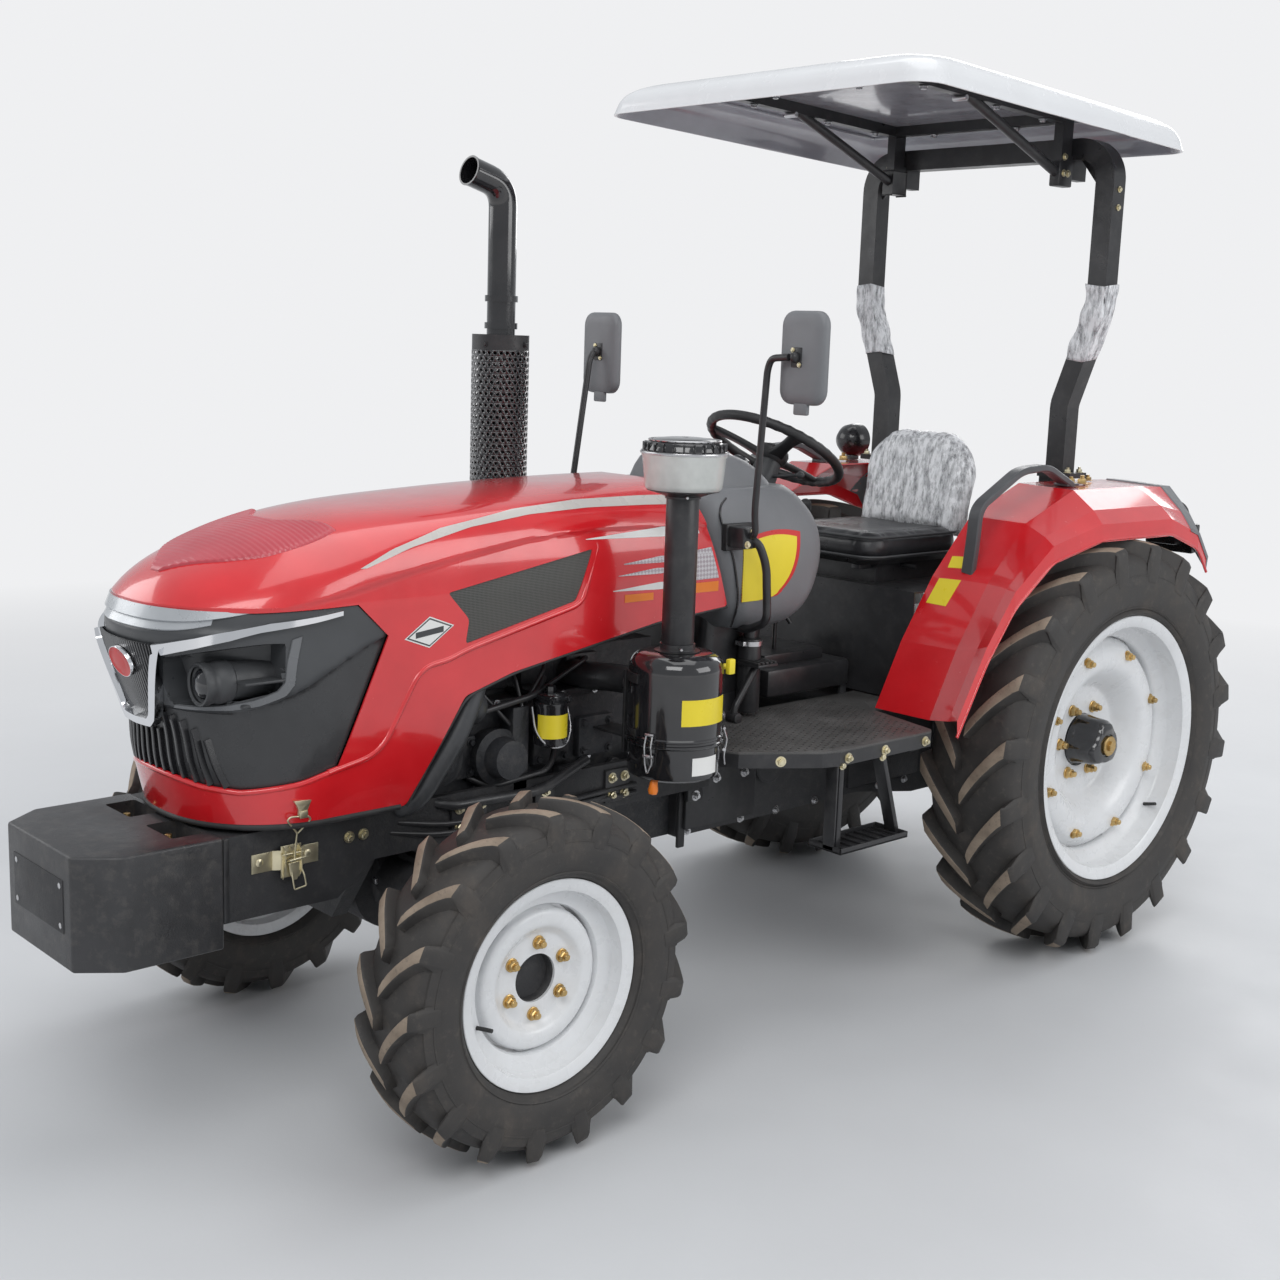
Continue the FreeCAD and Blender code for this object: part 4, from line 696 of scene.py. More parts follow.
def tyre_piece(name, body, node, side, x, y, z, pitches, tip, carcass, width, flange, seat, rim_w, lug_top,
               segs):
    """The carcass as a turned profile, and on it one curved bar a pitch and side, that runs down the shoulder."""
    b = Build()
    depth = carcass - flange
    right = [(0.0, carcass + 0.001), (0.10 * width, carcass), (0.22 * width, carcass - 0.002),
             (0.33 * width, carcass - 0.007), (0.40 * width, carcass - 0.014),
             (0.445 * width, carcass - 0.026),
             (0.470 * width, carcass - 0.20 * depth), (0.483 * width, carcass - 0.32 * depth),
             (0.492 * width, carcass - 0.42 * depth), (0.497 * width, carcass - 0.47 * depth),
             (0.500 * width, carcass - 0.50 * depth), (0.4995 * width, carcass - 0.53 * depth),
             (0.497 * width, carcass - 0.60 * depth), (0.488 * width, flange + 0.30 * depth),
             (0.47 * width, flange + 0.20 * depth), (0.44 * width, flange + 0.12 * depth),
             (rim_w / 2 + 0.010, flange + 0.013), (rim_w / 2 + 0.0035, flange + 0.006),
             (rim_w / 2 - 0.001, flange + 0.0035), (rim_w / 2 - 0.009, flange + 0.001),
             (rim_w / 2 - 0.009, seat + 0.001)]
    profile = [(-a, r) for a, r in right[::-1]] + right[1:]
    b.lathe([(side * a, r) for a, r in profile], (x, y, z), (1, 0, 0), segs, close=True)
    # two thin moulded rings each side
    ring_r = carcass - 0.36 * depth
    face = 0.4862 * width
    for s in (1, -1):
        b.lathe([(s * (face - 0.0015), ring_r + 0.003), (s * (face + 0.0012), ring_r + 0.0015),
                 (s * (face + 0.0012), ring_r - 0.0015), (s * (face - 0.0005), ring_r - 0.003)],
                (x, y, z), (1, 0, 0), segs)
        low = flange + 0.13 * depth
        b.lathe([(s * (0.452 * width), low + 0.004), (s * (0.452 * width + 0.0022), low + 0.001),
                 (s * (0.445 * width + 0.0012), low - 0.003)], (x, y, z), (1, 0, 0), segs)

    shoulder = 0.455 * width
    step = 2 * math.pi / (2 * pitches)

    def lean(a):
        return 0.30 * min(1.0, abs(a) / shoulder) ** 0.8
    foot = math.pi - lean(0.30 * width) - step * 0.16

    def floor_r(a):
        return catmull([(p[0], p[1]) for p in right[:7]], a) - 0.004

    stations = []
    # (offset, top radius, root radius, half width at the top, at the root)
    for a, fall, wide in ((0.028, 0.0, 0.80), (0.06, 0.0, 0.95), (0.12, 0.0, 1.0), (0.20, 0.0005, 1.0),
                          (0.28, 0.0018, 1.02), (0.36, 0.005, 1.06), (0.42, 0.0085, 1.10),
                          (0.462, 0.0125, 1.14)):
        stations.append((a * width, tip - fall, floor_r(min(a, 0.47) * width), wide))
    top_h = lug_top / 2
    for s in (1, -1):
        for i in range(2 * pitches):
            if (i % 2 == 0) != (s > 0):
                continue
            middle = foot + step * (i + 0.5)
            jitter = RNG.uniform(-0.004, 0.004)
            rows = []
            n_s = len(stations)
            for k, (a, top, low, wide) in enumerate(stations):
                c = middle + lean(a) + jitter * a / shoulder
                w = top_h * wide
                root = w + 0.0075 + 0.004 * (k / n_s)
                sec = [(a, low, -root), (a, top - 0.006, -w - 0.0022), (a, top - 0.0012, -w + 0.0008),
                       (a, top, -w + 0.0035), (a, top, w - 0.0035), (a, top - 0.0012, w - 0.0008),
                       (a, top - 0.006, w + 0.0022), (a, low, root)]
                rows.append((c, sec, top))
            # over the shoulder and down the sidewall, where the bar flattens and ends at the moulded ring
            c_end = middle + lean(shoulder) + jitter
            walls = [(0.4935, tip - 0.024, 0.475, carcass - 0.030, 1.16),
                     (0.4985, carcass - 0.16 * depth, 0.478, None, 1.18),
                     (0.5000, carcass - 0.30 * depth, 0.486, None, 1.16),
                     (0.5005, carcass - 0.46 * depth, 0.4955, None, 1.10)]
            for a_top, r_top, a_low, r_low, wide in walls:
                w = top_h * wide
                r_low = r_top - 0.004 if r_low is None else r_low
                sec = [(a_low * width, r_low, -w - 0.009), (a_top * width - 0.003, r_top, -w - 0.0022),
                       (a_top * width - 0.0008, r_top, -w + 0.0008), (a_top * width, r_top, -w + 0.0035),
                       (a_top * width, r_top, w - 0.0035), (a_top * width - 0.0008, r_top, w - 0.0008),
                       (a_top * width - 0.003, r_top, w + 0.0022), (a_low * width, r_low, w + 0.009)]
                rows.append((c_end, sec, r_top))
            grid = []
            for c, sec, top in rows:
                ring = []
                for a, r, t in sec:
                    ang = c + t / top
                    ring.append(b.bm.verts.new((x + side * s * a, y + r * math.sin(ang),
                                                z + r * math.cos(ang))))
                grid.append(ring)
            for k, (p, q) in enumerate(zip(grid, grid[1:])):
                for m in range(7):
                    f = b.bm.faces.new([p[m], p[m + 1], q[m + 1], q[m]])
                    f.material_index = 1 if 2 <= m <= 4 and k < len(stations) - 1 else 0
            for ring in (grid[0], grid[-1]):
                b.bm.faces.new(ring)
    obj = b.done(name, [M["tyre"], M["lug"]], body, angle=38)
    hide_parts(node)
    return obj


def dish(b, rows, x, y, z, side, segs, close=False):
    """Surface of rows, each a function of the turn that gives (offset, radius)."""
    grid = []
    for row in rows:
        ring = []
        for i in range(segs):
            t = 2 * math.pi * i / segs
            a, r = row(t) if callable(row) else row
            ring.append(b.bm.verts.new((x + side * a, y + r * math.sin(t), z + r * math.cos(t))))
        grid.append(ring)
    made = []
    pairs = list(zip(grid, grid[1:]))
    if close:
        pairs.append((grid[-1], grid[0]))
    for p, q in pairs:
        for i in range(segs):
            j = (i + 1) % segs
            made.append(b.bm.faces.new([p[i], p[j], q[j], q[i]]))
    b.mark(made)


def soft_line(points, steps=4):
    """Points of (a, r) with a smooth curve through them."""
    keys = [(i, p) for i, p in enumerate(points)]
    n = (len(points) - 1) * steps
    return [catmull(keys, i / steps) for i in range(n + 1)]


def flats(outer, cut, turns, wide):
    """Radius of a disc's edge with straight flats at the given turns, which leave slots at the rim."""
    def radius(t):
        r = outer
        for c in turns:
            d = abs((t - c + math.pi) % (2 * math.pi) - math.pi)
            if d < wide:
                r = min(r, max(cut, cut / max(0.2, math.cos(d))))
        return r
    return radius


def mirrored(points):
    """Points of (along, radius) on one side, followed by their mirror image on the other."""
    return points + [(-a, r) for a, r in points[::-1]]


def rim_surface(b, at, side, outer, inner, disc, edge, edge_rows, gauge, segs):
    """The hoop of a rim between its two skins, and the pressed disc with slots at its edge."""
    dish(b, mirrored(outer) + mirrored(inner), *at, side, segs, close=True)
    face = soft_line(disc, 3)
    rows = [(lambda t, p=p: p) for p in face]
    rows += [(lambda t, a=a, d=d: (a, edge(t) + d)) for a, d in edge_rows]
    rows += [(lambda t, p=p: (p[0] - gauge, p[1])) for p in face[::-1]]
    dish(b, rows, *at, side, segs, close=True)


def nut_ring(b, at, offset, side, radius, count, start, profiles):
    """Nuts on a circle round the wheel's axis."""
    for k in range(count):
        t = math.radians(start + 360 / count * k)
        foot = Vector((at[0] + side * offset, at[1] + radius * math.sin(t), at[2] + radius * math.cos(t)))
        for profile, sides in profiles:
            b.lathe(profile, foot, (side, 0, 0), sides)


def valve_stem(name, body, at, side, turn, offset, radius, bends, r):
    """Tyre valve out of the rim's well; each bend is (further out, nearer to the axle)."""
    t = math.radians(turn)
    out = Vector((0, math.sin(t), math.cos(t)))
    foot = Vector((at[0] + side * offset, at[1], at[2])) + out * radius
    b = Build()
    b.tube([foot] + [foot + Vector((side * along, 0, 0)) - out * drop for along, drop in bends], r, 12)
    b.done(name, M["rubber"], body)


def front_wheel(stem, side):
    body = "wheel_front_" + stem
    x, y, z = at = (side * 0.575, FA, 0.385)
    tyre_piece("tyre_front_" + stem, body, "front_tyre_" + stem, side, x, y, z, 17, 0.385, 0.361, 0.200,
               0.226,
               0.203, 0.152, 0.030, 192)
    b = Build()
    outer = [(-0.076, 0.2262), (-0.0745, 0.2275), (-0.0715, 0.2262), (-0.069, 0.220), (-0.068, 0.208),
             (-0.064, 0.2035), (-0.040, 0.2025), (-0.034, 0.199), (-0.025, 0.168), (-0.019, 0.1652)]
    inner = [(0.0755, 0.222), (0.073, 0.208), (0.069, 0.1995), (0.044, 0.1975), (0.039, 0.195),
             (0.030, 0.164),
             (0.023, 0.1605)]
    disc = [(0.020, 0.0525), (0.020, 0.075), (0.0200, 0.092), (0.0215, 0.099), (0.027, 0.107),
            (0.0335, 0.115),
            (0.036, 0.124), (0.036, 0.136), (0.034, 0.1445), (0.029, 0.150), (0.0195, 0.1535)]
    edge = flats(0.1598, 0.1462, [math.radians(d) for d in (38, 128, 218, 308)], 0.42)
    edge_rows = [(0.0165, -0.002), (0.0130, 0), (0.0110, 0), (0.0105, -0.003)]
    rim_surface(b, at, side, outer, inner, disc, edge, edge_rows, 0.0065, 128)
    rim = b.done("rim_front_" + stem, M["rim"], body, angle=45)
    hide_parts("front_rim_" + stem)
    # the dark hub behind the open bore, and its flange
    h = Build()
    h.lathe([(-0.029, 0), (-0.029, 0.062), (-0.012, 0.076), (0.010, 0.076), (0.012, 0.074), (0.012, 0.0535),
             (0.010, 0.051),
             (-0.004, 0.048), (-0.006, 0.030), (-0.004, 0.014), (-0.004, 0)], at, (side, 0, 0), 48)
    h.lathe([(-0.106, 0), (-0.106, 0.027), (-0.028, 0.027)], at, (side, 0, 0), 32)
    hub = h.done("hub_front_" + stem, M["casting"], body)
    n = Build()
    washer = [(0, 0), (0, 0.0150), (0.0022, 0.0150), (0.0032, 0.0135), (0.0032, 0)]
    nut = [(0.003, 0), (0.003, 0.0122), (0.012, 0.0122), (0.0145, 0.0104), (0.0145, 0)]
    thread = [(0.014, 0.0068), (0.0215, 0.0068), (0.0225, 0.0058), (0.0225, 0)]
    nut_ring(n, at, 0.020, side, 0.0775, 6, 4, ((washer, 24), (nut, 6), (thread, 16)))
    nuts = n.done("nuts_front_" + stem, M["brass"], body, angle=30)
    valve_stem("valve_front_" + stem, body, at, side, -112, 0.026, 0.174, ((0.020, 0.006), (0.044, 0.012)),
               0.0045)


def rear_wheel(stem, side):
    body = "wheel_rear_" + stem
    x, y, z = at = (side * 0.560, RA, 0.600)
    tyre_piece("tyre_rear_" + stem, body, "rear_tyre_" + stem, side, x, y, z, 20, 0.600, 0.568, 0.288, 0.382,
               0.356, 0.254, 0.042, 224)
    b = Build()
    outer = [(-0.127, 0.3825), (-0.125, 0.3842), (-0.121, 0.3825), (-0.1185, 0.374), (-0.117, 0.362),
             (-0.112, 0.3565), (-0.066, 0.3550), (-0.056, 0.350), (-0.043, 0.323), (-0.034, 0.3182)]
    inner = [(0.1262, 0.376), (0.122, 0.358), (0.117, 0.3505), (0.070, 0.3490), (0.062, 0.345),
             (0.049, 0.317),
             (0.038, 0.3120)]
    disc = [(-0.010, 0.0785), (-0.010, 0.110), (-0.010, 0.150), (-0.007, 0.162), (0.010, 0.176),
            (0.028, 0.190),
            (0.045, 0.206), (0.057, 0.222), (0.062, 0.240), (0.062, 0.262), (0.058, 0.280), (0.046, 0.2925)]
    edge = flats(0.3095, 0.297, [math.radians(d) for d in (45, 135, 225, 315)], 0.30)
    edge_rows = [(0.034, -0.006), (0.028, 0), (0.022, 0), (0.020, -0.006)]
    rim_surface(b, at, side, outer, inner, disc, edge, edge_rows, 0.0085, 160)
    # rim clamps welded in the well
    for k in range(8):
        t = math.radians(22.5 + 45 * k)
        out = Vector((0, math.sin(t), math.cos(t)))
        along = Vector((0, math.cos(t), -math.sin(t)))
        c = Vector((x + side * 0.014, y, z)) + out * 0.300
        tmp = bmesh.new()
        bmesh.ops.create_cube(tmp, size=1.0)
        for vert in tmp.verts:
            across = Vector((side, 0, 0)) * vert.co.x
            vert.co = c + across * 0.030 + along * vert.co.y * 0.05 + out * vert.co.z * 0.022
        bmesh.ops.bevel(tmp, geom=list(tmp.edges), offset=0.004, segments=2, profile=0.5, affect="EDGES")
        b.take(tmp)
    rim = b.done("rim_rear_" + stem, M["rim"], body, angle=45)
    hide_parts("rear_rim_" + stem)
    h = Build()
    h.lathe([(-0.240, 0), (-0.240, 0.0375), (-0.128, 0.0375), (-0.128, 0.061), (-0.040, 0.061),
             (-0.040, 0.127),
             (-0.0205, 0.128), (-0.0185, 0.126), (-0.0185, 0.070)], at, (side, 0, 0), 64)
    rows = []
    for a, r, w in ((-0.0185, 0.074, 0.002), (-0.006, 0.0745, 0.003), (0.004, 0.071, 0.006),
                    (0.024, 0.066, 0.008),
                    (0.050, 0.0645, 0.008), (0.066, 0.063, 0.0075), (0.078, 0.058, 0.005),
                    (0.083, 0.050, 0.001),
                    (0.084, 0.034, 0.0)):
        rows.append(lambda t, a=a, r=r, w=w: (a, r + w * math.copysign(min(1.0, abs(math.cos(3 * t)) * 1.7),
                                                                      math.cos(3 * t))))
    dish(h, rows, x, y, z, side, 72)
    h.lathe([(0.084, 0.0345), (0.080, 0.032), (0.080, 0)], at, (side, 0, 0), 48)
    hub = h.done("hub_rear_" + stem, M["black_gloss"], body, angle=35)
    n = Build()
    n.lathe([(0.080, 0), (0.080, 0.0275), (0.084, 0.029), (0.091, 0.029), (0.0935, 0.0265), (0.0935, 0)], at,
            (side, 0, 0), 40)
    n.lathe([(0.093, 0.016), (0.100, 0.016), (0.102, 0.014), (0.102, 0)], at, (side, 0, 0), 6)
    washer = [(0, 0), (0, 0.0175), (0.003, 0.0175), (0.004, 0.016), (0.004, 0)]
    nut = [(0.0035, 0), (0.0035, 0.0145), (0.015, 0.0145), (0.018, 0.0122), (0.018, 0)]
    thread = [(0.017, 0.0085), (0.028, 0.0085), (0.0295, 0.007), (0.0295, 0)]
    nut_ring(n, at, -0.010, side, 0.106, 6, 30, ((washer, 24), (nut, 6), (thread, 16)))
    washer = [(0, 0), (0, 0.0170), (0.003, 0.0170), (0.003, 0)]
    nut = [(0.003, 0), (0.003, 0.0138), (0.013, 0.0138), (0.016, 0.0116), (0.016, 0)]
    thread = [(0.015, 0.0075), (0.025, 0.0075), (0.0262, 0.0062), (0.0262, 0)]
    nut_ring(n, at, 0.058, side, 0.268, 8, 22.5, ((washer, 24), (nut, 6), (thread, 16)))
    nuts = n.done("nuts_rear_" + stem, M["brass"], body, angle=30)
    valve_stem("valve_rear_" + stem, body, at, side, 130, 0.064, 0.345, ((0.020, 0.008), (0.045, 0.020)),
               0.005)


for stem, side in (("left", 1), ("right", -1)):
    front_wheel(stem, side)
    rear_wheel(stem, side)


# Hood and nose: stations of (height, front, half width, nose depth), y from the front axle

HOOD = [(0.690, -0.535, 0.262, 0.250), (0.815, -0.562, 0.276, 0.270), (0.917, -0.573, 0.280, 0.285),
        (1.077, -0.622, 0.281, 0.318), (1.120, -0.612, 0.281, 0.320), (1.159, -0.591, 0.280, 0.320),
        (1.222, -0.513, 0.272, 0.340), (1.280, -0.376, 0.256, 0.380), (1.318, -0.208, 0.232, 0.430),
        (1.342, 0.050, 0.196, 0.480), (1.358, 0.334, 0.150, 0.420), (1.365, 0.560, 0.100, 0.240)]
HOOD_TABLE = [catmull(list(enumerate(HOOD)), i / 50) for i in range(551)]
HOOD_HEIGHTS = [row[0] for row in HOOD_TABLE]
HOOD_REAR = 0.847
CREASE = [(-0.60, 1.150), (-0.399, 1.150), (-0.244, 1.177), (-0.125, 1.202), (0.029, 1.230), (0.222, 1.257),
          (0.456, 1.269), (0.707, 1.262), (0.85, 1.258)]
MASK_FOLD = [(-0.62, 0.944), (-0.545, 0.941), (-0.500, 0.940), (-0.460, 0.947), (-0.412, 0.962),
             (-0.363, 0.982),
             (-0.310, 1.009), (-0.254, 1.038), (-0.208, 1.060), (-0.155, 1.081)]
KEEP = [(-0.70, 0.697), (-0.101, 0.697), (0.042, 0.925), (0.173, 0.964), (0.613, 1.039), (0.847, 1.058),
        (0.748, 1.352),
        (0.748, 1.40), (-0.70, 1.40)]
MASK_LOW = [(-0.70, 0.800), (-0.558, 0.800), (-0.525, 0.784), (-0.475, 0.777), (-0.358, 0.790),
            (-0.278, 0.812)]
MASK_ZONE = MASK_LOW + [(-0.159, 1.078), (-0.233, 1.150), (-0.450, 1.146), (-0.70, 1.152)]
WINDOW = [(-0.008, 1.157), (0.407, 1.227), (0.351, 1.111), (0.040, 1.041), (0.049, 1.095)]
LAMP = (0.190, 1.003)


def step_up(v, width):
    t = max(0.0, min(1.0, v / width + 0.5))
    return t * t * (3 - 2 * t)


def table_at(s):
    k = max(0, min(549, int(s * 50)))
    t = s * 50 - k
    return [a + (b - a) * t for a, b in zip(HOOD_TABLE[k], HOOD_TABLE[k + 1])]


def station_at(s, inset=0.0):
    z, front, half, depth = table_at(s)
    return (z - (inset if s > 3.35 else inset * max(0.0, (s - 3.0) / 0.35)), front + inset, half - inset,
            depth)


def station_of(z):
    k = max(0, min(549, bisect.bisect_right(HOOD_HEIGHTS, z) - 1))
    step = HOOD_HEIGHTS[k + 1] - HOOD_HEIGHTS[k]
    return (k + max(0.0, min(1.0, (z - HOOD_HEIGHTS[k]) / step))) / 50


def nose_y(x, s, inset=0.0):
    """How far forward the hood reaches at x, on station s."""
    z, front, half, depth = station_at(s, inset)
    q = min(1.0, abs(x) / half)
    c = math.sqrt(max(0.0, 1 - q ** (2 / 0.9)))
    return front + depth * (1 - c ** 0.9)


def side_x(y, z, inset=0.0):
    """Half width of the hood at y and height z."""
    s = station_of(z)
    _, front, half, depth = station_at(s, inset)
    if y >= front + depth:
        return half
    c = max(0.0, 1 - (y - front) / depth) ** (1 / 0.9)
    return half * math.sqrt(max(0.0, 1 - min(1.0, c) ** 2)) ** 0.9


def top_z(x, y):
    """Height of the hood's upper side at (x, y)."""
    lo, hi = 4.0, 11.0
    for _ in range(18):
        mid = (lo + hi) / 2
        if abs(x) < table_at(mid)[2] and nose_y(x, mid) < y:
            lo = mid
        else:
            hi = mid
    return table_at((lo + hi) / 2)[0]


def on_side(y, z, lift=0.0):
    """Point on the left side of the hood, lifted off along its outward direction, with model coordinates."""
    e = 0.004
    p = Vector((side_x(y, z), y, z))
    a = Vector((side_x(y + e, z), y + e, z)) - Vector((side_x(y - e, z), y - e, z))
    b = Vector((side_x(y, z + e), y, z + e)) - Vector((side_x(y, z - e), y, z - e))
    n = a.cross(b)
    if n.length < 1e-9:
        n = Vector((1, 0, 0))
    n.normalize()
    if n.x < 0:
        n = -n
    p = p + n * lift
    return Vector((p.x, FA + p.y, p.z))


def on_nose(x, z, lift=0.0):
    """Point on the front of the nose at (x, z), lifted off it."""
    e = 0.003
    s, s1, s0 = station_of(z), station_of(z + e), station_of(z - e)
    p = Vector((x, nose_y(x, s), z))
    a = Vector((x + e, nose_y(x + e, s), z)) - Vector((x - e, nose_y(x - e, s), z))
    b = Vector((x, nose_y(x, s1), z + e)) - Vector((x, nose_y(x, s0), z - e))
    n = a.cross(b).normalized()
    if n.y > 0:
        n = -n
    p = p + n * lift
    return Vector((p.x, FA + p.y, p.z))


def line_at(line, y):
    if y <= line[0][0]:
        return line[0][1]
    for (a, b), (c, d) in zip(line, line[1:]):
        if y <= c:
            return b + (d - b) * (y - a) / (c - a)
    return line[-1][1]


def hood_lift(x, y, z):
    """The upper side stands a little proud of the flanks along the crease, and rolls over it."""
    return 0.0055 * step_up(z - line_at(CREASE, y), 0.008) * (1 - step_up(z - line_at(CREASE, y) - 0.055,
                                                                          0.08))


def mask_lift(x, y, z):
    lower = 0.006 * step_up(line_at(MASK_FOLD, y) - z, 0.006)
    return -0.004 - lower


STEPS = (6, 8, 16, 8, 10, 16, 12, 12, 12, 10, 10)


def hood_grid(inset, lift, rear, nose_n=60, side_n=44):
    rows = []
    for k, n in enumerate(STEPS):
        for j in range(n):
            rows.append(k + j / n)
    rows.append(11.0)
    grid = []
    for s in rows:
        z, front, half, depth = station_at(s, inset)
        line = []
        for i in range(side_n, 0, -1):
            line.append((-half, front + depth + (rear - front - depth) * i / side_n, z))
        for i in range(-nose_n // 2, nose_n // 2 + 1):
            t = math.radians(90 * i / (nose_n // 2))
            line.append((half * math.copysign(abs(math.sin(t)) ** 0.9, t),
                         front + depth * (1 - math.cos(t) ** 0.9), z))
        for i in range(1, side_n + 1):
            line.append((half, front + depth + (rear - front - depth) * i / side_n, z))
        grid.append([Vector(p) for p in line])
    if lift:
        moved = []
        last = len(grid) - 1
        for r, line in enumerate(grid):
            out = []
            for c, p in enumerate(line):
                d = lift(*p)
                if abs(d) < 1e-6:
                    out.append(p.copy())
                    continue
                a = line[min(c + 1, len(line) - 1)] - line[max(c - 1, 0)]
                b = grid[min(r + 1, last)][c] - grid[max(r - 1, 0)][c]
                n = a.cross(b).normalized()
                if n.x * p.x < 0 or (abs(p.x) < 0.02 and n.y > 0):
                    n = -n
                out.append(p + n * d)
            moved.append(out)
        grid = moved
    return grid


def solid_of(grid, name):
    m, n = len(grid), len(grid[0])
    verts = [(p.x, FA + p.y, p.z) for line in grid for p in line]
    faces = []
    for r in range(m - 1):
        for c in range(n - 1):
            faces.append((r * n + c, r * n + c + 1, (r + 1) * n + c + 1, (r + 1) * n + c))
        faces.append((r * n + n - 1, r * n, (r + 1) * n, (r + 1) * n + n - 1))
    faces.append(tuple(range(n - 1, -1, -1)))
    faces.append(tuple(range((m - 1) * n, m * n)))
    return loose(name, verts, faces)


def loose(name, verts, faces):
    mesh = bpy.data.meshes.new(name)
    mesh.from_pydata([tuple(v) for v in verts], [], faces)
    bm = bmesh.new()
    bm.from_mesh(mesh)
    bmesh.ops.recalc_face_normals(bm, faces=bm.faces)
    bm.to_mesh(mesh)
    bm.free()
    obj = bpy.data.objects.new(name, mesh)
    bpy.context.scene.collection.objects.link(obj)
    return obj


def cutter(outline, low, high, corner=0.0, from_side=True):
    """Prism that cuts the nose: an outline of (y, z) drawn through it sideways, or of (x, z) drawn from the front."""
    pts = [Vector((0, u, v)) if from_side else Vector((u, 0, v)) for u, v in outline]
    if corner:
        pts = closed_round(pts, corner)
    n = len(pts)
    verts = []
    for d in (low, high):
        verts += [(d, FA + p.y, p.z) if from_side else (p.x, FA + d, p.z) for p in pts]
    faces = [tuple(range(n)), tuple(range(2 * n - 1, n - 1, -1))]
    faces += [(i, (i + 1) % n, n + (i + 1) % n, n + i) for i in range(n)]
    return loose("cutter", verts, faces)


def side_cutter(outline, low=-0.5, high=0.5, corner=0.0):
    return cutter(outline, low, high, corner)


def front_cutter(outline, low, high, corner):
    return cutter(outline, low, high, corner, from_side=False)


def closed_round(points, bend, steps=5):
    out = []
    n = len(points)
    for i in range(n):
        a, b, c = points[i - 1], points[i], points[(i + 1) % n]
        u, v = a - b, c - b
        cut = min(bend, u.length * 0.45, v.length * 0.45)
        p, q = b + u.normalized() * cut, b + v.normalized() * cut
        for k in range(steps + 1):
            t = k / steps
            out.append(p.lerp(b, t).lerp(b.lerp(q, t), t))
    return out


def boolean(a, b, op):
    """a with the boolean of b applied, as a mesh. b goes."""
    mod = a.modifiers.new("cut", "BOOLEAN")
    mod.operation = op
    mod.object = b
    mod.solver = "MANIFOLD"
    got = bpy.data.meshes.new_from_object(a.evaluated_get(bpy.context.evaluated_depsgraph_get()))
    a.modifiers.clear()
    old = a.data
    a.data = got
    bpy.data.meshes.remove(old)
    drop(b)
    return a


def drop(obj):
    mesh = obj.data
    bpy.data.objects.remove(obj)
    bpy.data.meshes.remove(mesh)


def twin(obj, name):
    new = bpy.data.objects.new(name, obj.data.copy())
    bpy.context.scene.collection.objects.link(new)
    return new


def make_hood():
    outer = solid_of(hood_grid(0.0, hood_lift, HOOD_REAR), "hood_paint")
    inner = solid_of(hood_grid(0.004, None, HOOD_REAR + 0.01), "inner")
    shell = boolean(outer, inner, "DIFFERENCE")
    shell = boolean(shell, side_cutter(KEEP, corner=0.012), "INTERSECT")
    shell = boolean(shell, side_cutter(MASK_ZONE), "DIFFERENCE")
    shell = boolean(shell, side_cutter(WINDOW, corner=0.010), "DIFFERENCE")
    finish_piece(shell, M["red"], "hood", angle=28)
    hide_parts("hood")
    return shell


def make_mask():
    outer = solid_of(hood_grid(0.0, mask_lift, -0.10, side_n=14), "nose_mask")
    core = twin(outer, "core")
    inner = solid_of(hood_grid(0.014, None, -0.09, side_n=14), "inner")
    shell = boolean(outer, inner, "DIFFERENCE")
    pocket = [(0.100, 1.046), (0.160, 1.060), (0.262, 1.086), (0.283, 1.078), (0.283, 1.002), (0.262, 0.984),
              (0.212, 0.960), (0.150, 0.950), (0.104, 0.950)]
    for side in (1, -1):
        floor = solid_of(hood_grid(0.052, None, -0.09, side_n=14), "floor")
        deep = solid_of(hood_grid(0.058, None, -0.09, side_n=14), "deep")
        wall = boolean(boolean(twin(core, "wall"), deep, "DIFFERENCE"),
                       front_cutter([(side * (x + (0.006 if x > 0.19 else -0.006)),
                                      z + (0.006 if z > 1.01 else -0.006))
                                     for x, z in pocket], -0.70, -0.390, 0.012), "INTERSECT")
        space = boolean(boolean(twin(core, "space"), floor, "DIFFERENCE"),
                        front_cutter([(side * x, z) for x, z in pocket], -0.70, -0.396, 0.012), "INTERSECT")
        shell = boolean(shell, wall, "UNION")
        shell = boolean(shell, space, "DIFFERENCE")
    drop(core)
    zone = [(y, z - 0.002 if z > 1.1 else z) for y, z in MASK_ZONE]
    shell = boolean(shell, side_cutter(zone), "INTERSECT")
    low = twin(shell, "nose_mask_lower")
    fold = [(y, z - 0.0005) for y, z in MASK_FOLD]
    boolean(shell, side_cutter([(-0.80, 0.946)] + fold + [(-0.15, 1.20), (-0.80, 1.20)]), "INTERSECT")
    boolean(low, side_cutter([(-0.80, 0.946)] + fold + [(-0.05, 1.20), (-0.05, 0.70), (-0.80, 0.70)]),
            "INTERSECT")
    finish_piece(shell, M["charcoal"], "hood", angle=28)
    finish_piece(low, M["mask_lower"], "hood", angle=28)
    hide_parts("hood_mask")


